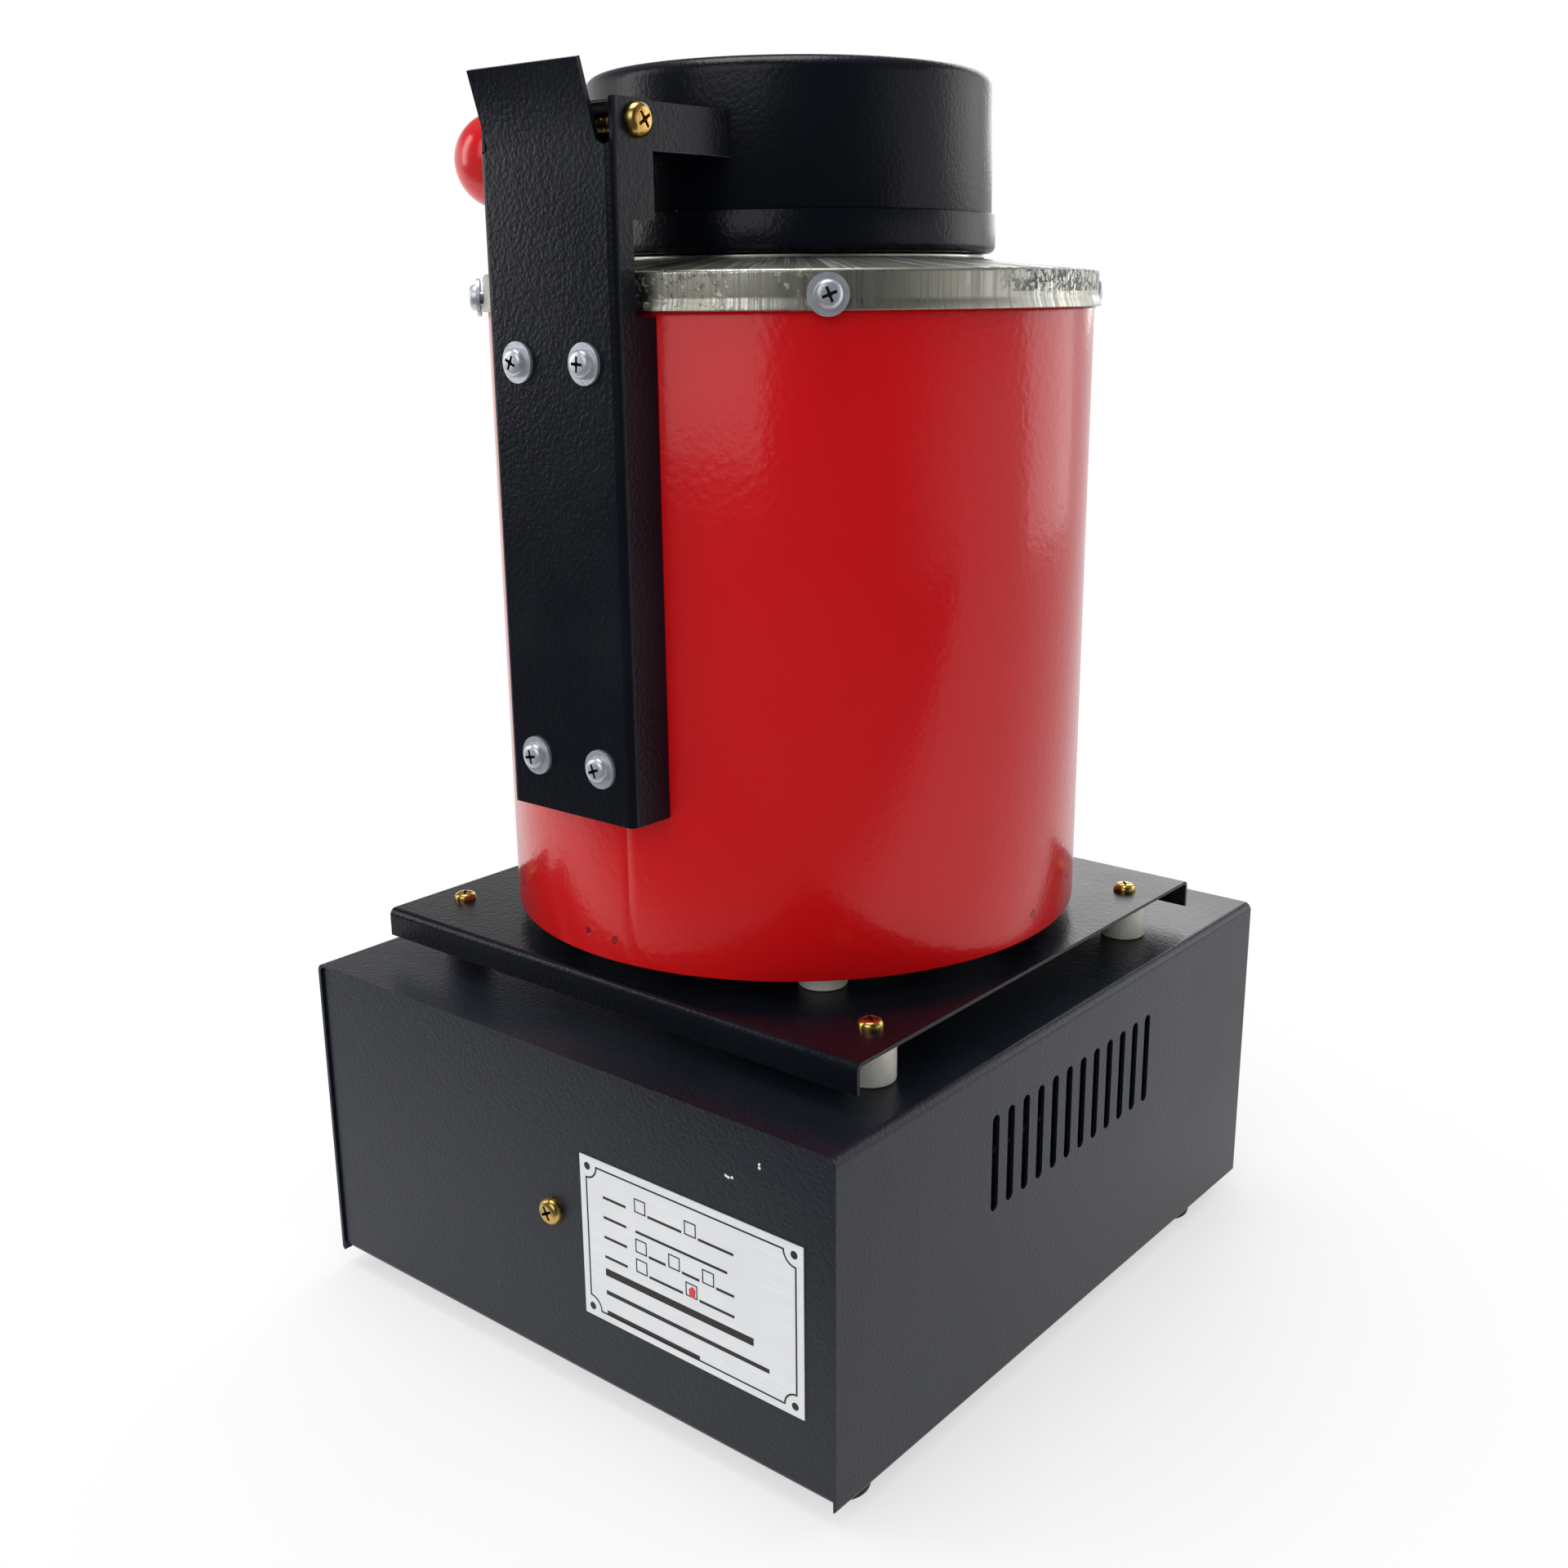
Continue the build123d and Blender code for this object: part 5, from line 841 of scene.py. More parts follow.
# ---------------------------------------------------------------- geometry trees
class ShapeTree(Graph):
    """A Geometry Nodes tree with named inputs, which makes a plain mesh when it is run."""

    SOCKETS = {float: "NodeSocketFloat", int: "NodeSocketInt"}

    def __init__(self, name: str, sizes: Mapping[str, float | int]) -> None:
        """Start a tree.

        Args:
            name: The tree's name.
            sizes: Its named inputs, with their usual values.
        """
        super().__init__(bpy.data.node_groups.new(name, "GeometryNodeTree"))
        face = self.tree.interface
        face.new_socket("Geometry", in_out="INPUT", socket_type="NodeSocketGeometry")
        for label, usual in sizes.items():
            socket = face.new_socket(label, in_out="INPUT", socket_type=self.SOCKETS[type(usual)])
            socket.default_value = usual
        face.new_socket("Finish", in_out="INPUT", socket_type="NodeSocketMaterial")
        face.new_socket("Recess finish", in_out="INPUT", socket_type="NodeSocketMaterial")
        face.new_socket("Geometry", in_out="OUTPUT", socket_type="NodeSocketGeometry")
        self.sources = self.node("NodeGroupInput").outputs
        self.geometry = self.sources["Geometry"]

    def size(self, label: str) -> Socket:
        """Return a named input."""
        return self.sources[label]

    def close(self, shape: Socket) -> None:
        """End the tree: realize what is instanced, give it its finish, and give the recess faces a
        darker finish, which is painted shade.
        """
        whole = self.out("GeometryNodeRealizeInstances", {"Geometry": shape})
        inputs = {"Geometry": whole, "Material": self.sources["Finish"]}
        dressed = self.out("GeometryNodeSetMaterial", inputs)
        inputs = {
            "Geometry": dressed, "Selection": self.stored("recess", "BOOLEAN"),
            "Material": self.sources["Recess finish"],
        }
        self.node("NodeGroupOutput", {"Geometry": self.out("GeometryNodeSetMaterial", inputs)})

    def moved(self, shape: Socket, x: Value = 0.0, y: Value = 0.0, z: Value = 0.0) -> Socket:
        """Move a shape."""
        inputs = {"Geometry": shape, "Translation": self.vector(x, y, z)}
        return self.out("GeometryNodeTransform", inputs)

    def joined(self, *shapes: Socket) -> Socket:
        """Join shapes into one."""
        node = self.node("GeometryNodeJoinGeometry")
        for shape in shapes:
            self.tree.links.new(shape, node.inputs[0])
        return node.outputs[0]

    def box(self, x: Value, y: Value, z: Value) -> Socket:
        """Make a box about the origin."""
        return self.out("GeometryNodeMeshCube", {"Size": self.vector(x, y, z)})

    def rod(self, radius: Value, depth: Value, sides: Value) -> Socket:
        """Make a cylinder about the origin."""
        inputs = {"Vertices": sides, "Radius": radius, "Depth": depth}
        return self.out("GeometryNodeMeshCylinder", inputs)

    def cut(self, shape: Socket, *cutters: Socket) -> Socket:
        """Cut tools out of a shape."""
        node = self.node("GeometryNodeMeshBoolean", operation="DIFFERENCE", solver="EXACT")
        self.tree.links.new(shape, node.inputs[0])
        for cutter in cutters:
            self.tree.links.new(cutter, node.inputs[1])
        return node.outputs[0]

    def cells(self, columns: Value, rows: Value) -> tuple[Socket, Socket, Socket]:
        """Make a grid of points, and return it with each point's row and column."""
        inputs = {"Vertices X": columns, "Vertices Y": rows}
        grid = self.node("GeometryNodeMeshGrid", inputs).outputs["Mesh"]
        index = self.out("GeometryNodeInputIndex")
        column = self.math("FLOOR", self.math("DIVIDE", self.math("ADD", index, 0.5), rows))
        return grid, self.math("FLOORED_MODULO", index, rows), column

    def rolled(self, grid: Socket, radius: Socket, angle: Socket, height: Socket,
               weld: Value) -> Socket:
        """Roll a grid up about Z and weld its seam.

        Args:
            grid: The grid.
            radius: How far each point stands from Z.
            angle: Its direction, in radians.
            height: Its level.
            weld: The distance below which points become one.

        Returns:
            The round shape.
        """
        x = self.times(radius, self.math("COSINE", angle))
        y = self.times(radius, self.math("SINE", angle))
        inputs = {"Geometry": grid, "Position": self.vector(x, y, height)}
        shape = self.out("GeometryNodeSetPosition", inputs)
        return self.out("GeometryNodeMergeByDistance", {"Geometry": shape, "Distance": weld})

    def stored(self, name: str, kind: str) -> Socket:
        """Read one of the carrier's attributes."""
        return self.out("GeometryNodeInputNamedAttribute", {"Name": name}, data_type=kind)

    def on_places(self, shape: Socket) -> Socket:
        """Put a shape at every point of the carrier, turned to the point's own axis and spin."""
        inputs = {"Vector": self.stored("axis", "FLOAT_VECTOR")}
        aligned = self.out("FunctionNodeAlignRotationToVector", inputs, axis="Z")
        inputs = {"Axis": (0.0, 0.0, 1.0), "Angle": self.stored("spin", "FLOAT")}
        spin = self.out("FunctionNodeAxisAngleToRotation", inputs)
        inputs = {"Rotation": aligned, "Rotate By": spin}
        turned = self.out("FunctionNodeRotateRotation", inputs, rotation_space="LOCAL")
        inputs = {"Points": self.geometry, "Instance": shape, "Rotation": turned}
        return self.out("GeometryNodeInstanceOnPoints", inputs)

    def run(self, carrier: Mesh, finish: Finish, **sizes: float | int) -> Mesh:
        """Run the tree on a carrier mesh.

        Args:
            carrier: The mesh that the tree starts from. It is used up.
            finish: The finish of what the tree makes.
            **sizes: Values for the named inputs, with underscores for spaces.

        Returns:
            The plain mesh that comes out.
        """
        holder = placed("carrier", carrier)
        modifier = holder.modifiers.new("shape", "NODES")
        modifier.node_group = self.tree
        wanted = {label.replace("_", " "): value for label, value in sizes.items()}
        wanted["Finish"] = finish.material()
        # The recess faces take a darker finish, which is painted shade.
        wanted["Recess finish"] = (GOLD_RECESS_SHADE if finish is YELLOW_ZINC else RECESS_SHADE).material()
        for item in self.tree.interface.items_tree:
            if item.in_out == "INPUT" and item.name in wanted:
                modifier[item.identifier] = wanted[item.name]
        bpy.context.view_layer.update()
        graph = bpy.context.evaluated_depsgraph_get()
        mesh = bpy.data.meshes.new_from_object(holder.evaluated_get(graph), depsgraph=graph)
        holder.modifiers.remove(modifier)
        bpy.data.objects.remove(holder)
        bpy.data.meshes.remove(carrier)
        return mesh


class TurnedTree(ShapeTree):
    """Turns a profile about Z: the carrier's points are (radius, 0, height), in order."""

    def __init__(self) -> None:
        """Build the tree."""
        super().__init__("turned on the lathe", {"segments": 96, "weld": WELD})
        count = self.node(
            "GeometryNodeAttributeDomainSize", {"Geometry": self.geometry}, component="MESH"
        ).outputs["Point Count"]
        grid, row, column = self.cells(self.math("ADD", self.size("segments"), 1), count)
        position = self.out("GeometryNodeInputPosition")
        inputs = {"Geometry": self.geometry, "Value": position, "Index": row}
        sample = self.node(
            "GeometryNodeSampleIndex", inputs, data_type="FLOAT_VECTOR", domain="POINT"
        )
        radius, _, height = self.split(open_socket(sample.outputs, "Value"))
        angle = self.times(self.math("DIVIDE", column, self.size("segments")), FULL_TURN)
        self.close(self.rolled(grid, radius, angle, height, self.size("weld")))


class ScrewTree(ShapeTree):
    """Pan-head screws with a cross recess, one at each point of the carrier."""

    HEAD_SEGMENTS = 40
    HEAD_ROWS = 14
    SHOULDER = 0.42
    CROWN = 0.85

    def __init__(self) -> None:
        """Build the tree."""
        sizes = {
            "head radius": 4.0, "head height": 2.6, "washer radius": 0.0, "washer height": 0.0,
            "shank radius": 2.0, "shank length": 10.0, "recess length": 4.4, "recess width": 0.9,
            "recess depth": 1.5,
        }
        super().__init__("cross-recessed screw", {name: size * MM for name, size in sizes.items()})
        lift = self.size("washer height")
        parts = [self.moved(self.cut(self.head(), *self.cross()), z=lift)]
        washer = self.rod(self.size("washer radius"), lift, 48)
        parts.append(self.moved(washer, z=self.times(lift, 0.5)))
        length = self.size("shank length")
        shank = self.rod(self.size("shank radius"), length, 24)
        parts.append(self.moved(shank, z=self.times(length, -0.5)))
        self.close(self.on_places(self.joined(*parts)))

    def head(self) -> Socket:
        """Turn the head: a flat seat, a steep shoulder and a low crown."""
        rows = self.HEAD_ROWS
        grid, row, column = self.cells(self.HEAD_SEGMENTS + 1, rows)
        rise = self.math("DIVIDE", self.math("SUBTRACT", row, 1.0), rows - 2.0, clamp=True)
        slope = self.times(rise, math.pi / 2)
        share = self.math("MAXIMUM", self.math("COSINE", slope), 0.0)
        share = self.math("POWER", share, self.SHOULDER)
        share = self.times(share, self.math("GREATER_THAN", row, 0.5))
        radius = self.times(self.size("head radius"), share)
        crown = self.math("POWER", self.math("SINE", slope), self.CROWN)
        height = self.times(self.size("head height"), crown)
        angle = self.times(column, FULL_TURN / self.HEAD_SEGMENTS)
        return self.rolled(grid, radius, angle, height, WELD)

    def cross(self) -> list[Socket]:
        """Make the tools that cut the recess."""
        depth = self.size("recess depth")
        long, short = self.size("recess length"), self.size("recess width")
        top = self.size("head height")
        through = self.times(depth, 2.0)
        wings = [self.box(long, short, through), self.box(short, long, through)]
        wings.append(self.rod(short, self.times(depth, 2.4), 8))
        marked = []
        for wing in wings:
            inputs = {"Geometry": self.moved(wing, z=top), "Name": "recess", "Value": True}
            settings = {"data_type": "BOOLEAN", "domain": "FACE"}
            marked.append(self.out("GeometryNodeStoreNamedAttribute", inputs, **settings))
        return marked


class NutTree(ShapeTree):
    """Hexagon nuts with one chamfered face, one at each point of the carrier."""

    def __init__(self) -> None:
        """Build the tree."""
        sizes = {"across flats": 7.0, "height": 3.2, "bore radius": 2.0}
        super().__init__("hexagon nut", {name: size * MM for name, size in sizes.items()})
        height, flats = self.size("height"), self.size("across flats")
        prism = self.rod(self.math("DIVIDE", flats, math.sqrt(3)), height, 6)
        crown = self.times(flats, 0.48)
        inputs = {
            "Vertices": 48, "Radius Top": crown, "Depth": height,
            "Radius Bottom": self.math("ADD", crown, self.times(height, math.sqrt(3))),
        }
        cone = self.out("GeometryNodeMeshCone", inputs)
        cone = self.moved(cone, z=self.times(height, -0.5))
        node = self.node("GeometryNodeMeshBoolean", operation="INTERSECT", solver="EXACT")
        for shape in (prism, cone):
            self.tree.links.new(shape, node.inputs[1])
        bore = self.rod(self.size("bore radius"), self.times(height, 2.0), 24)
        nut = self.cut(node.outputs[0], bore)
        self.close(self.on_places(self.moved(nut, z=self.times(height, 0.5))))


class CopyTree(ShapeTree):
    """Copies of the object named 'pattern', one at each point of the carrier."""

    def __init__(self, pattern: bpy.types.Object) -> None:
        """Build the tree round one pattern."""
        super().__init__("copies of a pattern", {})
        shape = self.node("GeometryNodeObjectInfo", {"Object": pattern}).outputs["Geometry"]
        self.close(self.on_places(shape))


class HelixTree(ShapeTree):
    """A wire or thread wound into a helix about Z, starting at Z = 0."""

    def __init__(self) -> None:
        """Build the tree."""
        sizes = {"radius": 45 * MM, "height": 100 * MM, "wire radius": 1 * MM, "turns": 9.0}
        super().__init__("wound helix", {**sizes, "steps": 64, "sides": 10})
        inputs = {
            "Resolution": self.size("steps"), "Rotations": self.size("turns"),
            "Start Radius": self.size("radius"), "End Radius": self.size("radius"),
            "Height": self.size("height"),
        }
        path = self.out("GeometryNodeCurveSpiral", inputs)
        inputs = {"Resolution": self.size("sides"), "Radius": self.size("wire radius")}
        section = self.out("GeometryNodeCurvePrimitiveCircle", inputs)
        inputs = {"Curve": path, "Profile Curve": section, "Fill Caps": True}
        self.close(self.out("GeometryNodeCurveToMesh", inputs))


class BarTree(ShapeTree):
    """Thin flat bars of the sizes stored at the carrier's points: printed rules and segments."""

    def __init__(self) -> None:
        """Build the tree."""
        super().__init__("flat bars", {})
        inputs = {
            "Points": self.geometry, "Instance": self.box(1.0, 1.0, 1.0),
            "Scale": self.stored("bar", "FLOAT_VECTOR"),
        }
        self.close(self.out("GeometryNodeInstanceOnPoints", inputs))


# ---------------------------------------------------------------- mesh helpers
def point_mesh(points: Iterable[Sequence[float]]) -> Mesh:
    """Make a mesh of loose points, given in millimetres."""
    mesh = bpy.data.meshes.new("carrier")
    mesh.from_pydata([Vector(point) * MM for point in points], [], [])
    return mesh


def places(points: Sequence[Vector], ways: Vector | Sequence[Vector],
           turns: Sequence[float] = ()) -> Mesh:
    """Make a carrier whose points know which way their piece faces.

    Args:
        points: The seats, in millimetres.
        ways: The direction that each piece's top faces, or one for all.
        turns: How far each is turned about its axis, in radians; not at all if left out.

    Returns:
        The carrier mesh.
    """
    mesh = point_mesh(points)
    mesh.attributes.new("axis", "FLOAT_VECTOR", "POINT")
    mesh.attributes.new("spin", "FLOAT", "POINT")
    axes = mesh.attributes["axis"].data
    spin = mesh.attributes["spin"].data
    for index in range(len(points)):
        axes[index].vector = ways if isinstance(ways, Vector) else ways[index]
        spin[index].value = turns[index] if turns else 0.0
    return mesh


def rounded(corners: Sequence[Point], radii: Sequence[float], steps: int = 6) -> list[Point]:
    """Round the inner corners of an open line.

    Args:
        corners: The line's corners.
        radii: The radius at each corner; those at its two ends aren't used.
        steps: How many pieces each bend is divided into.

    Returns:
        The rounded line.
    """
    line = [corners[0]]
    for before, corner, after, radius in zip(corners, corners[1:], corners[2:], radii[1:]):
        here = Vector(corner)
        back = (Vector(before) - here).normalized()
        ahead = (Vector(after) - here).normalized()
        half = back.angle(ahead) / 2
        if radius <= 0 or half > math.radians(89.5):
            line.append(corner)
            continue
        centre = here + (back + ahead).normalized() * (radius / math.sin(half))
        start = here + back * (radius / math.tan(half)) - centre
        end = here + ahead * (radius / math.tan(half)) - centre
        turn = start.angle_signed(end)
        for step in range(steps + 1):
            spoke = start.copy()
            spoke.rotate(Matrix.Rotation(-turn * step / steps, 2))
            line.append(tuple(centre + spoke))
    line.append(corners[-1])
    return line


def sheet(line: Sequence[Point], thickness: float) -> list[Point]:
    """Give a line the thickness of its sheet, to its left, with eased edges.

    Args:
        line: The sheet's outer face, as (radius, height) points.
        thickness: The sheet's thickness.

    Returns:
        The closed section, whose last point repeats the first.
    """
    tail = (Vector(line[0]) - Vector(line[1])).normalized()
    tip = (Vector(line[-1]) - Vector(line[-2])).normalized()
    ease = thickness / 4
    line = [tuple(Vector(line[0]) - tail * ease), *line[1:-1], tuple(Vector(line[-1]) - tip * ease)]
    offset = []
    for index, point in enumerate(line):
        here = Vector(point)
        before = Vector(line[max(index - 1, 0)])
        after = Vector(line[min(index + 1, len(line) - 1)])
        steps = (here - before, after - here)
        sides = [step.normalized() for step in steps if step.length > 1e-9]
        along = sum(sides, Vector((0.0, 0.0))).normalized()
        stretch = max(along.dot(sides[0]), 0.5)
        offset.append(tuple(here + Vector((-along.y, along.x)) * thickness / stretch))

    def eased(first: Point, second: Point, outwards: Vector) -> list[Point]:
        """Round a cut edge between its two corners."""
        centre = (Vector(first) + Vector(second)) / 2
        spoke = Vector(first) - centre
        return [
            tuple(centre + spoke * math.cos(turn) + outwards * ease * math.sin(turn))
            for turn in (math.pi * step / 6 for step in range(1, 6))
        ]

    section = list(line) + eased(line[-1], offset[-1], tip) + offset[::-1]
    return section + eased(offset[0], line[0], tail) + [line[0]]


def cleaned(mesh: Mesh, sharp: float = 32.0) -> Mesh:
    """Close a mesh's seams, turn its faces outwards and set its shading.

    Args:
        mesh: The mesh, which is changed.
        sharp: The angle in degrees above which an edge stays sharp.

    Returns:
        The same mesh.
    """
    work = bmesh.new()
    work.from_mesh(mesh)
    bmesh.ops.remove_doubles(work, verts=work.verts, dist=2e-7)
    bmesh.ops.dissolve_degenerate(work, edges=work.edges, dist=1e-7)
    bmesh.ops.recalc_face_normals(work, faces=work.faces)
    work.to_mesh(mesh)
    work.free()
    mesh.shade_smooth()
    mesh.set_sharp_from_angle(angle=math.radians(sharp))
    return mesh


def merged(meshes: Sequence[Mesh], finish: Finish) -> Mesh:
    """Join meshes of one finish into one mesh.

    Args:
        meshes: The meshes, which are used up.
        finish: The finish of the whole.

    Returns:
        The joined mesh.
    """
    work = bmesh.new()
    # The recess faces keep their darker finish, which is painted shade.
    finishes = [finish.material(), RECESS_SHADE.material(), GOLD_RECESS_SHADE.material()]
    for mesh in meshes:
        sunk = [slot is finishes[1] for slot in mesh.materials] or [False]
        for face in mesh.polygons:
            face.material_index = int(sunk[face.material_index])
        work.from_mesh(mesh)
        bpy.data.meshes.remove(mesh)
    whole = bpy.data.meshes.new("joined")
    work.to_mesh(whole)
    work.free()
    for each in finishes[:1 + max(face.material_index for face in whole.polygons)]:
        whole.materials.append(each)
    return whole


def copied(node: str, flat: float = 0.6) -> Mesh:
    """Copy a node's mesh, weld its triangles and join the flat ones into whole faces.

    Args:
        node: The node's name.
        flat: The angle in degrees below which neighbouring faces are joined.

    Returns:
        The clean copy.
    """
    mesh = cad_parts[node].data.copy()
    work = bmesh.new()
    work.from_mesh(mesh)
    bmesh.ops.remove_doubles(work, verts=work.verts, dist=2e-6)
    bmesh.ops.dissolve_limit(
        work, angle_limit=math.radians(flat), use_dissolve_boundaries=False,
        verts=work.verts, edges=work.edges, delimit={"NORMAL"},
    )
    clean = bpy.data.meshes.new(node + "_copy")
    work.to_mesh(clean)
    work.free()
    bpy.data.meshes.remove(mesh)
    return clean


EASED_ABOVE = math.radians(40)
TURNED = TurnedTree()
SCREWS = ScrewTree()
NUTS = NutTree()
HELIX = HelixTree()
BARS = BarTree()


def turned(profile: Sequence[Point], finish: Finish, centre: Vector | None = None,
           segments: int = 96) -> Mesh:
    """Turn a profile about an upright axis.

    Args:
        profile: (radius, height) points in millimetres, closed unless both ends are on the axis.
        finish: The finish of the piece.
        centre: Where the axis stands, in millimetres; the origin if left out.
        segments: How many flats go round.

    Returns:
        The clean mesh.
    """
    carrier = point_mesh([(radius, 0.0, height) for radius, height in profile])
    mesh = TURNED.run(carrier, finish, segments=segments)
    if centre is not None:
        mesh.transform(Matrix.Translation(Vector((centre.x, centre.y, 0.0)) * MM))
    return cleaned(mesh)


def add_piece(name: str, mesh: Mesh, finish: Finish, *nodes: str,
              body: Body = Body.FURNACE) -> bpy.types.Object:
    """Add a finished piece to the furnace.

    Args:
        name: The piece's name.
        mesh: Its mesh, in the furnace's own place.
        finish: Its finish.
        *nodes: The nodes that it stands for.
        body: The body that it rides on.

    Returns:
        The new object.
    """
    mesh.name = name
    if len(mesh.materials) < 2:
        mesh.materials.clear()
        mesh.materials.append(finish.material())
    thing = placed(name, mesh)
    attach(thing, body.value)
    if nodes:
        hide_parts(*nodes)
    LOG.info("piece %s on %s, %d faces", name, body.value, len(mesh.polygons))
    return thing


def add_spun(name: str, node: str, finish: Finish, line: Sequence[Point], thickness: float,
             segments: int, body: Body = Body.FURNACE) -> None:
    """Add a round piece of sheet that is spun about the barrel's axis.

    Args:
        name: The piece's name.
        node: The node that it stands for.
        finish: Its finish.
        line: The sheet's outer face, as (radius, height) points.
        thickness: The sheet's thickness.
        segments: How many flats go round.
        body: The body that it rides on.
    """
    mesh = turned(sheet(line, thickness), finish, AXIS, segments)
    add_piece(name, mesh, finish, node, body=body)


def dress(finish: Finish, *nodes: str) -> None:
    """Give nodes that keep their own shape a finish.

    Args:
        finish: The finish.
        *nodes: The nodes' names.
    """
    for node in nodes:
        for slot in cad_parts[node].material_slots:
            slot.material = finish.material()
        LOG.info("node %s dressed", node)


def add_folded(name: str, node: str, finish: Finish, edge: float, worn_and_highlight: Finish | None = None,
               steps: int = 2, body: Body = Body.FURNACE) -> None:
    """Add a folded or moulded piece as a clean copy of its node with eased edges.

    Args:
        name: The piece's name.
        node: The node that it stands for.
        finish: Its finish.
        edge: The width of its eased edges, in millimetres.
        worn_and_highlight: The finish of the eased edges, where they differ: partly worn coat,
            partly painted highlight.
        steps: How many faces an eased edge has.
        body: The body that it rides on.
    """
    thing = add_piece(name, copied(node), finish, node, body=body)
    thing.data.shade_smooth()
    bevel = thing.modifiers.new("eased edges", "BEVEL")
    bevel.width = edge * MM
    bevel.segments = steps
    bevel.limit_method = "ANGLE"
    bevel.angle_limit = EASED_ABOVE
    bevel.use_clamp_overlap = True
    weights = thing.modifiers.new("flat faces first", "WEIGHTED_NORMAL")
    weights.mode = "FACE_AREA"
    weights.weight = 100
    weights.keep_sharp = False
    # The eased edges take a lighter finish: partly worn coat, partly painted highlight.
    if worn_and_highlight is not None:
        thing.data.materials.append(worn_and_highlight.material())
        bevel.material = 1


def corner_places(node: str, inset: float, level: float, upright: bool = False) -> list[Vector]:
    """Return the four places of a group that stands in the corners of its box.

    Args:
        node: The group's node.
        inset: The largest radius of one of its pieces.
        level: The height of the seats, or their Y on an upright face.
        upright: Whether the group sits on an upright face.

    Returns:
        The places, in millimetres.
    """
    low, high = reach(node)
    side = 2 if upright else 1
    pairs = [
        (x, other)
        for x in (low.x + inset, high.x - inset)
        for other in (low[side] + inset, high[side] - inset)
    ]
    return [Vector((x, level, z)) if upright else Vector((x, z, level)) for x, z in pairs]


@dataclass(frozen=True)
class Screw:
    """A pan-head screw with a cross recess; its shank, head and washer are given by their radii."""

    shank: float
    head: float
    height: float
    washer: float = 0.0
    washer_height: float = 0.0
    recess: tuple[float, float, float] = (1.05, 0.2, 0.66)

    def sizes(self, length: float) -> dict[str, float]:
        """Name the screw's sizes for the screw tree, in metres."""
        reach_share, width_share, depth_share = self.recess
        sizes = {
            "head_radius": self.head, "head_height": self.height, "shank_radius": self.shank,
            "shank_length": length,
            "washer_radius": self.washer, "washer_height": self.washer_height,
            "recess_length": self.head * reach_share, "recess_width": self.head * width_share,
            "recess_depth": self.height * depth_share,
        }
        return {name: size * MM for name, size in sizes.items()}

    def drive(self, name: str, node: str, carrier: Mesh, length: float,
              finish: Finish) -> None:
        """Add a set of these screws to the furnace.

        Args:
            name: The piece's name.
            node: The node that it stands for.
            carrier: Where the screws go.
            length: How long their shanks are, in millimetres.
            finish: Their finish.
        """
        mesh = SCREWS.run(carrier, finish, **self.sizes(length))
        add_piece(name, cleaned(mesh), finish, node)


M4_SCREW = Screw(2.0, 4.0, 2.6)
M5_SCREW = Screw(2.5, 4.75, 3.2)
WASHER_SCREW = Screw(2.1, 4.2, 2.6, 6.0, 1.0)
PANEL_SCREW = Screw(1.5, 2.9, 1.8)


def wide_mesh(outline: Sequence[Point], thickness: float, place: Matrix) -> Mesh:
    """Make a thin flat piece from its outline.

    Args:
        outline: The corners in millimetres, anticlockwise in the piece's own X and Y.
        thickness: How far it stands proud along its own Z, in millimetres.
        place: Where it goes, in millimetres.

    Returns:
        The closed mesh.
    """
    count = len(outline)
    points = [place @ Vector((x, y, z)) * MM for z in (0.0, thickness) for x, y in outline]
    sides = [(i, (i + 1) % count, (i + 1) % count + count, i + count) for i in range(count)]
    mesh = bpy.data.meshes.new("flat")
    ends = [tuple(reversed(range(count))), tuple(range(count, 2 * count))]
    mesh.from_pydata(points, [], ends + sides)
    return mesh


def band_mesh(line: Sequence[Point], width: float, thickness: float, place: Matrix) -> Mesh:
    """Make a thin printed line of even width along a closed path.

    Args:
        line: The path's points in millimetres.
        width: The line's width.
        thickness: How far it stands proud.
        place: Where it goes, in millimetres.

    Returns:
        The closed mesh.
    """
    count = len(line)
    edges: list[list[Point]] = [[], []]
    for index in range(count):
        here = Vector(line[index])
        ahead = (Vector(line[(index + 1) % count]) - here).normalized()
        back = (here - Vector(line[index - 1])).normalized()
        along = (ahead + back).normalized()
        side = Vector((-along.y, along.x)) * (width / 2 / max(along.dot(ahead), 0.4))
        edges[0].append(tuple(here + side))
        edges[1].append(tuple(here - side))
    rim = edges[0] + edges[1]
    points = [place @ Vector((x, y, z)) * MM for z in (0.0, thickness) for x, y in rim]
    faces = []
    top = len(rim)
    for index in range(count):
        after = (index + 1) % count
        inner, outer = (index, after), (index + count, after + count)
        faces.append((*inner, outer[1], outer[0]))
        faces.append((outer[0] + top, outer[1] + top, inner[1] + top, inner[0] + top))
        faces.append((inner[0] + top, inner[1] + top, inner[1], inner[0]))
        faces.append((outer[0], outer[1], outer[1] + top, outer[0] + top))
    mesh = bpy.data.meshes.new("band")
    mesh.from_pydata(points, [], faces)
    return cleaned(mesh)


def bar_mesh(bars: Sequence[Bar], thickness: float, place: Matrix, finish: Finish) -> Mesh:
    """Make flat bars with the bar tree.

    Args:
        bars: The middle, width and height of each bar, in the face's own X and Y.
        thickness: How far the bars stand proud.
        place: The face, in millimetres.
        finish: Their finish.

    Returns:
        The mesh.
    """
    carrier = point_mesh([(x, y, thickness / 2) for x, y, _, _ in bars])
    sizes = carrier.attributes.new("bar", "FLOAT_VECTOR", "POINT")
    for index, (_, _, width, height) in enumerate(bars):
        sizes.data[index].vector = Vector((width, height, thickness)) * MM
    mesh = BARS.run(carrier, finish)
    turn = place.to_3x3().to_4x4()
    turn.translation = place.translation * MM
    mesh.transform(turn)
    return mesh


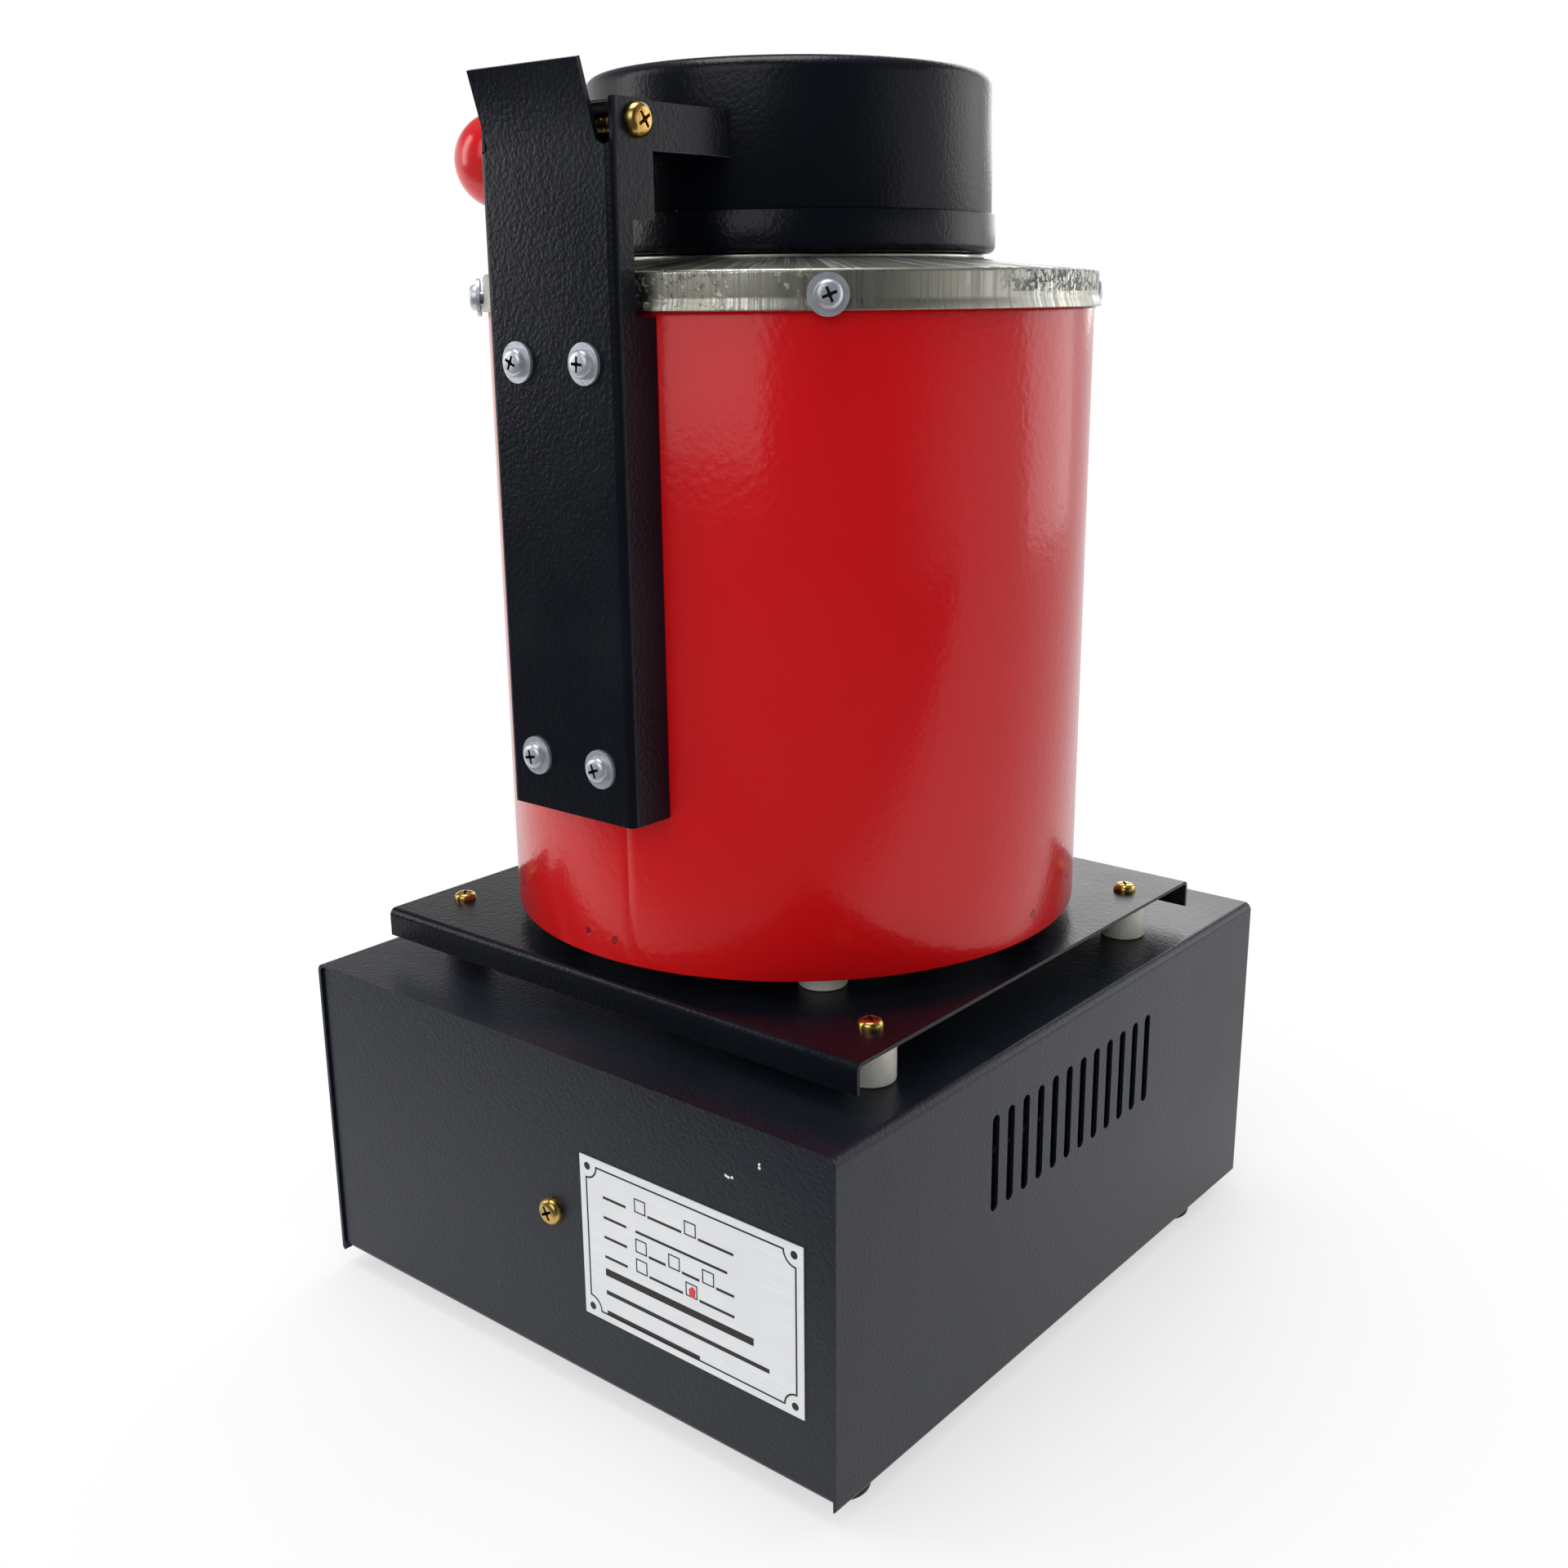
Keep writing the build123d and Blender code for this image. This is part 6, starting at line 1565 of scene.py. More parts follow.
def facing(origin: Vector, normal: Vector, up: Vector) -> Matrix:
    """Return the place whose Z is the normal and whose Y is as near to up as it can be."""
    z = normal.normalized()
    x = up.cross(z).normalized()
    y = z.cross(x)
    return Matrix((
        (x.x, y.x, z.x, origin.x), (x.y, y.y, z.y, origin.y), (x.z, y.z, z.z, origin.z),
        (0.0, 0.0, 0.0, 1.0),
    ))


def face_of(node: str, way: Vector) -> Matrix:
    """Return the place in the middle of a node's front or back, whichever the way points to."""
    low, high = reach(node)
    level = high.y if way.y > 0 else low.y
    return facing(Vector(((low.x + high.x) / 2, level, (low.z + high.z) / 2)), way, UP)


UP = Vector((0.0, 0.0, 1.0))
DOWN = -UP
LEFT = Vector((-1.0, 0.0, 0.0))
RIGHT = -LEFT
BACK = Vector((0.0, 1.0, 0.0))
FRONT = -BACK


def laid_along(mesh: Mesh, origin: Vector, direction: Vector) -> Mesh:
    """Move a mesh that stands on the origin so that it starts at a point and runs a given way."""
    turn = UP.rotation_difference(direction).to_matrix().to_4x4()
    mesh.transform(Matrix.Translation(origin * MM) @ turn)
    return mesh


def copies(pattern: Mesh, carrier: Mesh, finish: Finish) -> Mesh:
    """Copy a mesh to every point of a carrier with the copy tree, and use the pattern up."""
    holder = placed("pattern", pattern)
    mesh = CopyTree(holder).run(carrier, finish)
    bpy.data.objects.remove(holder)
    bpy.data.meshes.remove(pattern)
    return cleaned(mesh)


def spins(count: int, seed: int) -> list[float]:
    """Return how far each screw of a set happens to be turned."""
    draw = Random(seed)
    return [draw.uniform(0.0, math.pi / 2) for _ in range(count)]


# ---------------------------------------------------------------- sub-assemblies
@dataclass
class ControlBox:
    """Folded steel box on four rubber feet, with its nameplate and what is inside it."""

    sheet_edge: float = 0.5
    foot_radius: float = 10.0
    foot_taper: float = 1.0
    foot_bore: float = 2.2
    pocket_radius: float = 5.2
    pocket_depth: float = 3.4

    def build(self) -> None:
        """Make every piece of the box."""
        for name, node in (("box_cover", "base_cover"), ("box_chassis", "chassis_pan")):
            add_folded(name, node, SMOOTH_COAT, self.sheet_edge, WORN_AND_HIGHLIGHT_EDGE)
        self.feet()
        self.rear_screw()
        Nameplate().build()
        dress(GALVANISED, "terminal_bracket")
        dress(BLACK_PLASTIC, "terminal_block")
        dress(HEAT_SINK, "relay_heatsink")
        dress(GREY_PLASTIC, "relay_block")
        dress(ZINC, "heatsink_screws", "foot_nuts")
        dress(RED_WIRE, "wiring")

    def feet(self) -> None:
        """Turn the rubber feet and drive their screws."""
        low, high = reach("rubber_feet")
        tall = high.z - low.z
        outer = rounded(
            [(self.pocket_radius, 0.0), (self.foot_radius - self.foot_taper, 0.0),
             (self.foot_radius, tall), (self.foot_bore, tall), (self.foot_bore, self.pocket_depth),
             (self.pocket_radius, self.pocket_depth), (self.pocket_radius, 0.0)],
            [0, 1.2, 0.5, 0, 0, 0, 0], 4,
        )
        foot = turned(outer, RUBBER, segments=48)
        seats = corner_places("rubber_feet", self.foot_radius, low.z)
        mesh = copies(foot, places(seats, UP), RUBBER)
        add_piece("foot_set", mesh, RUBBER, "rubber_feet")
        _, top = reach("foot_screws")
        seats = corner_places("rubber_feet", self.foot_radius, self.pocket_depth)
        carrier = places(seats, DOWN, spins(4, 3))
        M4_SCREW.drive("foot_screw_set", "foot_screws", carrier, top.z - self.pocket_depth, ZINC)

    def rear_screw(self) -> None:
        """Drive the yellow screw of the rear panel."""
        low, high = reach("rear_panel_screw")
        seat = Vector(((low.x + high.x) / 2, high.y - M5_SCREW.height, (low.z + high.z) / 2))
        carrier = places([seat], BACK, [0.5])
        M5_SCREW.drive("rear_screw", "rear_panel_screw", carrier, seat.y - low.y, YELLOW_ZINC)


@dataclass
class Nameplate:
    """Silver plate with a printed border, blank rules and tick boxes."""

    inset: float = 2.8
    notch: float = 4.6
    line: float = 0.6
    dot: float = 1.3
    proud: float = 0.04
    box: float = 4.4
    margin: float = 10.0
    row_pitch: float = 7.0
    rule: float = 0.9
    dot_shift: float = 0.6
    dab_place: Point = (37.4, 21.6)
    label: float = 10.0
    field_start: float = 14.0
    field_width: float = 42.0
    box_line: float = 0.45
    box_gap: float = 1.0
    run_gap: float = 2.4
    blank: float = 38.0
    boxes: tuple[int, ...] = (2, 0, 3, 2)
    closing: tuple[Point, ...] = ((62.0, 2.6), (68.0, 1.5), (40.0, 1.5))
    closing_row: float = 4.1
    closing_pitch: float = 7.4

    def build(self) -> None:
        """Make the plate, its print and the marker dab."""
        low, high = reach("nameplate")
        width, height = high.x - low.x, high.z - low.z
        face = face_of("nameplate", BACK)
        add_folded("name_plate_blank", "nameplate", SILVER_PLATE, 0.12)
        parts = [self.border(width, height, face), *self.dots(width, height, face)]
        parts.append(bar_mesh(self.rules(width, height), self.proud, face, PRINT_BLACK))
        add_piece("name_plate_print", merged(parts, PRINT_BLACK), PRINT_BLACK)
        corners = [(-1.0, -1.6), (1.2, -1.8), (1.5, 1.2), (0.2, 2.2), (-1.3, 0.8), (-1.0, -1.6)]
        dab = rounded(corners, [0, 0.7, 0.8, 0.7, 0.6, 0], 4)[:-1]
        right, down = self.dab_place
        x, y = self.margin - width / 2 + right, height / 2 - self.margin - down
        mesh = wide_mesh(dab, 2 * self.proud, face @ Matrix.Translation((x, y, 0.0)))
        add_piece("marker_dab", mesh, MARKER_RED)

    def border(self, width: float, height: float, face: Matrix) -> Mesh:
        """Draw the border, which steps round a dot in each corner."""
        x, y = width / 2 - self.inset, height / 2 - self.inset
        path = []
        for turn, (side, end) in enumerate(((1, 1), (-1, 1), (-1, -1), (1, -1))):
            start = math.pi / 2 * (turn - 1)
            for step in range(9):
                angle = start - (math.pi / 2) * step / 8
                right, up = self.notch * math.cos(angle), self.notch * math.sin(angle)
                path.append((side * x + right, end * y + up))
        return band_mesh(path, self.line, self.proud, face)

    def dots(self, width: float, height: float, face: Matrix) -> list[Mesh]:
        """Print a dot in each corner."""
        x, y = (size / 2 - self.inset - self.dot_shift for size in (width, height))
        corners = [(side * x, end * y, 0.0) for side in (-1, 1) for end in (-1, 1)]
        spots = [face @ Matrix.Translation(corner) for corner in corners]
        return [wide_mesh(circle(self.dot, 24), self.proud, spot) for spot in spots]

    def rules(self, width: float, height: float) -> list[Bar]:
        """Lay out the blank rules and the tick boxes of the form."""
        bars = []
        left = self.margin - width / 2
        top = height / 2 - self.margin
        start = left + self.field_start
        for row, boxes in enumerate(self.boxes):
            level = top - row * self.row_pitch
            line = level - self.box / 2
            bars.append((left + self.label / 2, line, self.label, self.rule))
            if not boxes:
                bars.append((start + self.blank / 2, line, self.blank, self.rule))
            for index in range(boxes):
                pitch = self.field_width / boxes
                bars += self.tick_box(start + self.box / 2 + index * pitch, level)
                run = pitch - self.box - self.run_gap
                x = start + index * pitch + self.box + self.box_gap + run / 2
                bars.append((x, line, run, self.rule))
        for index, (length, weight) in enumerate(self.closing):
            level = top - self.closing_row * self.row_pitch - index * self.closing_pitch
            bars.append((left + length / 2, level, length, weight))
        return bars

    def tick_box(self, x: float, y: float) -> list[Bar]:
        """Draw one empty square."""
        half, line = self.box / 2, self.box_line
        level = [(x, y + side, self.box, line) for side in (half, -half)]
        return level + [(x + side, y, line, self.box + line) for side in (-half, half)]


@dataclass
class Deck:
    """Steel deck over the box, on four ceramic standoffs."""

    edge: float = 0.55
    standoff_radius: float = 8.0
    standoff_bore: float = 2.2
    chamfer: float = 0.8

    def build(self) -> None:
        """Make the plate, its screws and both sets of standoffs."""
        add_folded("deck_sheet", "deck_plate", BLACK_COAT, self.edge, WORN_AND_HIGHLIGHT_EDGE)
        self.standoffs("deck_standoff_set", "deck_standoffs")
        self.standoffs("barrel_standoff_set", "barrel_standoffs")
        low, _ = reach("deck_screws")
        _, top = reach("deck_plate")
        seats = corner_places("deck_screws", M4_SCREW.head, top.z)
        carrier = places(seats, UP, spins(4, 11))
        M4_SCREW.drive("deck_screw_set", "deck_screws", carrier, top.z - low.z, YELLOW_ZINC)
        dress(ZINC, "deck_nuts")

    def standoffs(self, name: str, node: str) -> None:
        """Turn one set of ceramic standoffs."""
        low, high = reach(node)
        tall = high.z - low.z
        section = rounded(
            [(self.standoff_bore, 0.0), (self.standoff_radius, 0.0), (self.standoff_radius, tall),
             (self.standoff_bore, tall), (self.standoff_bore, 0.0)],
            [0, self.chamfer, self.chamfer, 0.3, 0], 4,
        )
        pattern = turned(section, CERAMIC, segments=48)
        seats = corner_places(node, self.standoff_radius, low.z)
        mesh = copies(pattern, places(seats, UP), CERAMIC)
        add_piece(name, mesh, CERAMIC, node)


@dataclass
class Barrel:
    """Red barrel with its spun steel cap and the collar round the mouth."""

    wall: float = 1.2
    cap_sheet: float = 1.0
    flare: float = 1.2
    flare_height: float = 3.0
    rim_height: float = 11.2
    rim_radius: float = 1.3
    collar_sheet: float = 1.2
    seam_angle: float = 97.5
    seam_width: float = 0.45
    seam_depth: float = 0.14
    cap_lap: float = 16.4
    ring_width: float = 18.0
    cap_screw_length: float = 3.5

    def build(self) -> None:
        """Make the shell, cap, collar and cap screws."""
        self.shell()
        self.cap()
        self.collar()
        self.cap_screws()
        dress(GALVANISED, "barrel_floor")
        dress(ZINC, "barrel_screws", "barrel_nuts")

    def shell(self) -> None:
        """Turn the shell and press its seam in."""
        low, high, radius = round_reach("barrel_shell")
        section = sheet([(radius, low.z), (radius, high.z)], self.wall)
        mesh = turned(section, RED_ENAMEL, AXIS, 192)
        turn = math.radians(self.seam_angle)
        out = Vector((math.cos(turn), math.sin(turn), 0.0))
        side = Vector((-out.y, out.x, 0.0))
        centre = Vector((AXIS.x, AXIS.y, 0.0))
        work = bmesh.new()
        work.from_mesh(mesh)
        for offset in (-2, -1, 1, 2):
            shift = offset * self.seam_width / 2
            faces = [
                face for face in work.faces
                if (face.calc_center_median() / MM - centre).dot(out) > radius / 2
            ]
            edges = {edge for face in faces for edge in face.edges}
            verts = {vert for face in faces for vert in face.verts}
            bmesh.ops.bisect_plane(
                work, geom=[*faces, *edges, *verts], dist=1e-7,
                plane_co=(centre + side * shift) * MM, plane_no=side,
            )
        for vert in work.verts:
            spoke = vert.co / MM - centre
            outside = Vector((spoke.x, spoke.y)).length > radius - self.wall / 2
            if outside and spoke.dot(out) > 0 and abs(spoke.dot(side)) < self.seam_width * 0.6:
                vert.co -= out * (self.seam_depth * MM)
        work.to_mesh(mesh)
        work.free()
        add_piece("barrel_wall", mesh, RED_ENAMEL, "barrel_shell")

    def cap(self) -> None:
        """Turn the cap: flared skirt, rolled edge and a shallow cone."""
        low, high, flare = round_reach("top_cap")
        skirt = flare - self.flare
        collar, _ = reach("mouth_collar")
        line = rounded(
            [(flare, low.z), (skirt, low.z + self.flare_height), (skirt, low.z + self.rim_height),
             (AXIS.x - collar.x, high.z), (AXIS.x - collar.x - self.cap_lap, high.z)],
            [0, 4.0, self.rim_radius, 6.0, 0], 8,
        )
        add_spun("spun_cap", "top_cap", STAINLESS, line, self.cap_sheet, 160)

    def collar(self) -> None:
        """Turn the collar: a flat ring with a tube down into the mouth."""
        low, high, outer = round_reach("mouth_collar")
        bore = outer - self.ring_width
        line = rounded([(outer, high.z), (bore, high.z), (bore, low.z)], [0, 2.2, 0], 6)
        sheet_size = self.collar_sheet
        add_spun("mouth_ring", "mouth_collar", COLLAR_STEEL, line, sheet_size, 128)

    def cap_screws(self) -> None:
        """Drive four washer-head screws through the cap's skirt."""
        _, _, seat_radius = round_reach("top_cap")
        level = middle("cap_screws").z
        turns = [math.radians(angle) for angle in (45, 135, 225, 315)]
        axes = [Vector((math.cos(turn), math.sin(turn), 0.0)) for turn in turns]
        seats = [Vector((AXIS.x, AXIS.y, level)) + axis * seat_radius for axis in axes]
        carrier = places(seats, axes, spins(4, 5))
        WASHER_SCREW.drive("cap_screw_set", "cap_screws", carrier, self.cap_screw_length, ZINC)


@dataclass
class Chamber:
    """What the barrel holds: fibre, muffle, heater, hearth and crucible."""

    rim: float = 1.6
    wall: float = 8.0
    floor: float = 12.0
    foot_radius: float = 34.0

    def build(self) -> None:
        """Turn the crucible, and finish the rest."""
        low, high, outer = round_reach("crucible")
        inner = outer - self.wall
        line = rounded(
            [(0.0, low.z), (self.foot_radius, low.z), (outer, high.z), (inner, high.z),
             (self.foot_radius - self.wall, low.z + self.floor), (0.0, low.z + self.floor)],
            [0, 2.0, self.rim, self.rim, 7.0, 0], 8,
        )
        mesh = turned(line, GRAPHITE, AXIS, 96)
        add_piece("graphite_cup", mesh, GRAPHITE, "crucible")
        dress(FIBRE, "insulation_base", "insulation_blanket", "insulation_ring")
        dress(REFRACTORY, "heater_muffle", "thermocouple", "hearth_disc")
        dress(HEATING_WIRE, "heating_element", "heater_leads")
        dress(CERAMIC, "lead_bushes")


@dataclass
class Hinge:
    """Bracket on the barrel, its screws, and the pivot that the lid turns on."""

    edge: float = 0.3
    nut: tuple[float, float, float] = (8.0, 4.0, 2.5)
    thread_pitch: float = 0.8
    thread_depth: float = 0.28
    thread_end: float = 0.5

    def build(self) -> None:
        """Make every piece of the hinge."""
        add_folded("bracket_sheet", "hinge_bracket", BLACK_COAT, self.edge, WORN_AND_HIGHLIGHT_EDGE)
        self.bracket_screws()
        self.pivot()
        dress(GALVANISED, "bracket_spacers")

    def bracket_screws(self) -> None:
        """Drive the four washer-head screws of the bracket."""
        low, high = reach("bracket_screws")
        seat = high.y - WASHER_SCREW.height - WASHER_SCREW.washer_height
        seats = corner_places("bracket_screws", WASHER_SCREW.washer, seat, upright=True)
        carrier = places(seats, BACK, spins(4, 8))
        WASHER_SCREW.drive("bracket_screw_set", "bracket_screws", carrier, seat - low.y, ZINC)

    def pivot(self) -> None:
        """Make the pivot screw with its rolled thread, and its nut."""
        low, high = reach("pivot_screw")
        seat = Vector((low.x + M5_SCREW.height, (low.y + high.y) / 2, (low.z + high.z) / 2))
        length = high.x - seat.x
        rolled = length - 2 * self.thread_end
        bolt = replace(M5_SCREW, shank=M5_SCREW.shank - self.thread_depth)
        screw = SCREWS.run(places([seat], LEFT, [0.6]), YELLOW_ZINC, **bolt.sizes(length))
        thread = HELIX.run(
            bpy.data.meshes.new("carrier"), YELLOW_ZINC, radius=bolt.shank * MM, height=rolled * MM,
            turns=rolled / self.thread_pitch, wire_radius=self.thread_depth * MM, steps=16, sides=6,
        )
        laid_along(thread, seat + RIGHT * self.thread_end, RIGHT)
        mesh = merged([cleaned(screw), cleaned(thread)], YELLOW_ZINC)
        add_piece("hinge_screw", mesh, YELLOW_ZINC, "pivot_screw")
        flats, tall, bore = self.nut
        inner, _ = reach("pivot_nut")
        seat = Vector((inner.x, seat.y, seat.z))
        sizes = {"across_flats": flats * MM, "height": tall * MM, "bore_radius": bore * MM}
        nut = NUTS.run(places([seat], RIGHT, [0.4]), ZINC, **sizes)
        add_piece("hinge_nut", cleaned(nut), ZINC, "pivot_nut")


@dataclass
class Lid:
    """Drawn lid with its band, arm, fibre plug and ball handle."""

    sheet: float = 1.2
    corner: float = 4.5
    band_corner: float = 2.4
    band_lip: float = 8.0
    ball_radius: float = 17.5
    ball_bore: float = 4.2
    ball_depth: float = 12.0
    roughness: float = 0.25
    arm_edge: float = 0.3

    def build(self) -> None:
        """Make every piece that turns with the lid."""
        self.shell()
        self.band()
        add_folded("lid_arm", "hinge_arm", BLACK_COAT, self.arm_edge, WORN_AND_HIGHLIGHT_EDGE, body=Body.LID)
        self.fibre()
        self.handle()
        dress(ZINC, "handle_nut")

    def shell(self) -> None:
        """Turn the lid's cup."""
        low, high, radius = round_reach("lid_shell")
        line = rounded([(radius, low.z), (radius, high.z), (0.0, high.z)], [0, self.corner, 0], 12)
        add_spun("lid_cup", "lid_shell", BLACK_COAT, line, self.sheet, 160, body=Body.LID)

    def band(self) -> None:
        """Turn the band with its turned-in lip."""
        low, high, radius = round_reach("lid_band")
        lip = radius - self.sheet - self.band_lip
        corners = [(lip, low.z), (radius, low.z), (radius, high.z)]
        line = rounded(corners, [0, self.band_corner, 0], 8)
        add_spun("lid_rim_band", "lid_band", BLACK_COAT, line, self.sheet, 160, body=Body.LID)

    def fibre(self) -> None:
        """Turn the fibre plug and rough up its soft face."""
        low, high, outer = round_reach("lid_insulation")
        band_low, _ = reach("lid_band")
        boss = outer - self.band_lip + 1.2
        step = band_low.z + self.sheet + 0.3
        rings = [(boss * share / 14, low.z) for share in range(14)]
        side = rounded(
            [(boss - 2.0, low.z), (boss, low.z), (boss, step), (outer, step),
             (outer, high.z - self.corner), (outer - self.corner, high.z), (0.0, high.z)],
            [0, 1.2, 0, 0.8, 2.0, 2.0, 0], 4,
        )
        mesh = turned(rings + side, SCORCHED_FIBRE, AXIS, 96)
        draw = Random(17)
        for vert in mesh.vertices:
            if vert.co.z < (low.z + 0.5) * MM:
                vert.co.z += draw.uniform(0.0, self.roughness) * MM
        add_piece("lid_fibre_plug", mesh, SCORCHED_FIBRE, "lid_insulation", body=Body.LID)

    def handle(self) -> None:
        """Make the handle's rod and its ball."""
        low, high = reach("handle_rod")
        radius = (high.z - low.z) / 2
        start = Vector((low.x, (low.y + high.y) / 2, (low.z + high.z) / 2))
        length = high.x - low.x
        section = rounded(
            [(0.0, 0.0), (radius, 0.0), (radius, length), (0.0, length)], [0, 0.6, 0.6, 0], 4
        )
        rod = laid_along(turned(section, ZINC, segments=48), start, RIGHT)
        add_piece("handle_bar", rod, ZINC, "handle_rod", body=Body.LID)
        low, high = reach("ball_knob")
        centre = Vector((high.x - self.ball_radius, (low.y + high.y) / 2, (low.z + high.z) / 2))
        mouth = centre.x - low.x
        first = -math.asin(mouth / self.ball_radius)
        turns = [first + (math.pi / 2 - first) * step / 40 for step in range(41)]
        inside = self.ball_depth - mouth
        section = [
            (0.0, inside), (self.ball_bore, inside), (self.ball_bore, -mouth + 0.3),
            (self.ball_bore + 0.4, -mouth),
        ]
        radius = self.ball_radius
        section += [(radius * math.cos(turn), radius * math.sin(turn)) for turn in turns]
        section[-1] = (0.0, radius)
        ball = laid_along(turned(section, RED_BALL, segments=80), centre, RIGHT)
        add_piece("handle_ball", ball, RED_BALL, "ball_knob", body=Body.LID)


@dataclass
class ControlPanel:
    """Front plate with the temperature controller, the power switch and the mains inlet."""

    ink: float = 0.05
    key_bodies: tuple[tuple[str, Body], ...] = (
        ("key_set", Body.KEY_SET), ("key_shift", Body.KEY_SHIFT),
        ("key_down", Body.KEY_DOWN), ("key_up", Body.KEY_UP),
    )
    inlet_flange: float = 3.0
    inlet_reach: float = 20.0
    rows: tuple[tuple[float, float, float], ...] = ((6.6, 11.0, 6.2), (5.0, 7.6, -8.2))
    digit_pitch: float = 1.55
    segment_width: float = 0.16
    segment_gap: float = 1.6
    sign_height: float = 6.0
    ring_sign: tuple[float, float] = (2.0, 0.7)
    line_sign: tuple[float, float] = (0.8, 4.4)

    def build(self) -> None:
        """Make every piece of the front."""
        add_folded("front_plate", "control_plate", CONTROL_PLATE, 0.25)
        add_folded("controller_frame", "controller_bezel", BLACK_PLASTIC, 0.4, steps=3)
        add_folded("controller_window", "display_window", DARK_WINDOW, 0.15)
        add_folded("switch_surround", "switch_frame", BLACK_PLASTIC, 0.25)
        add_folded("switch_rocker", "power_rocker", RED_ROCKER, 0.45, steps=3, body=Body.ROCKER)
        add_folded("inlet_housing", "inlet_body", BLACK_PLASTIC, 0.5, steps=3)
        dress(BLACK_PLASTIC, "controller_case")
        dress(ZINC, "inlet_pins")
        self.digits()
        self.keys()
        self.rocker_marks()
        self.screws()

    def digits(self) -> None:
        """Lay unlit digits behind the window's face, four above four."""
        bars = []
        for width, tall, level in self.rows:
            for place in range(4):
                bars += self.segments((place - 1.5) * width * self.digit_pitch, level, width, tall)
        mesh = bar_mesh(bars, self.ink, face_of("display_window", FRONT), SEGMENT)
        add_piece("display_segments", mesh, SEGMENT)

    def segments(self, x: float, y: float, width: float, tall: float) -> list[Bar]:
        """Return the seven bars of one digit."""
        line = width * self.segment_width
        gap = self.segment_gap * line
        level = [(x, y + shift * tall / 2, width - gap, line) for shift in (-1, 0, 1)]
        upright = [
            (x + side * width / 2, y + end * tall / 4, line, tall / 2 - gap)
            for side in (-1, 1)
            for end in (-1, 1)
        ]
        return level + upright

    def keys(self) -> None:
        """Make the four keys with a generic sign on each."""
        signs = {
            "key_up": [(-1.8, -1.1), (1.8, -1.1), (0.0, 1.5)],
            "key_down": [(0.0, -1.5), (1.8, 1.1), (-1.8, 1.1)],
            "key_shift": [(-1.9, 0.0), (1.2, -1.7), (1.2, 1.7)],
            "key_set": circle(1.3, 20),
        }
        for node, body in self.key_bodies:
            add_folded(node + "_cap", node, GREY_PLASTIC, 0.35, steps=3, body=body)
            mesh = wide_mesh(signs[node], self.ink, face_of(node, FRONT))
            add_piece(node + "_sign", mesh, PRINT_BLACK, body=body)

    def rocker_marks(self) -> None:
        """Print the line and the ring on the rocker's two halves."""
        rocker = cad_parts["power_rocker"].data
        faces = [tuple(face.vertices) for face in rocker.polygons]
        skin = BVHTree.FromPolygons([vert.co for vert in rocker.vertices], faces)
        centre = middle("power_rocker")
        meshes = []
        for offset in (-self.sign_height, self.sign_height):
            start = Vector((centre.x, -200.0, middle("switch_frame").z + offset)) * MM
            spot, normal, _, _ = skin.ray_cast(start, BACK)
            face = facing(spot / MM, normal, UP)
            if offset < 0:
                radius, line = self.ring_sign
                meshes.append(band_mesh(circle(radius, 32), line, self.ink, face))
            else:
                meshes.append(bar_mesh([(0.0, 0.0, *self.line_sign)], self.ink, face, WHITE_INK))
        add_piece("rocker_signs", merged(meshes, WHITE_INK), WHITE_INK, body=Body.ROCKER)

    def screws(self) -> None:
        """Drive the screws of the plate and of the inlet."""
        _, high = reach("panel_screws")
        plate, _ = reach("control_plate")
        seats = corner_places("panel_screws", PANEL_SCREW.head, plate.y, upright=True)
        inlet = middle("inlet_body")
        for side in (-self.inlet_reach, self.inlet_reach):
            seats.append(Vector((inlet.x + side, plate.y - self.inlet_flange, inlet.z)))
        carrier = places(seats, FRONT, spins(6, 21))
        PANEL_SCREW.drive("panel_screw_set", "panel_screws", carrier, high.y - plate.y, ZINC)


# ---------------------------------------------------------------- studio
@dataclass(frozen=True)
class Lamp:
    """A soft rectangular lamp that points at the furnace."""

    name: str
    place: Place
    size: tuple[float, float]
    power: float

    def build(self, target: Vector) -> None:
        """Hang the lamp."""
        data = bpy.data.lights.new(self.name, "AREA")
        data.shape = "RECTANGLE"
        data.size, data.size_y = self.size
        data.energy = self.power
        lamp = placed(self.name, data)
        lamp.location = self.place
        lamp.rotation_euler = (target - lamp.location).to_track_quat("-Z", "Y").to_euler()


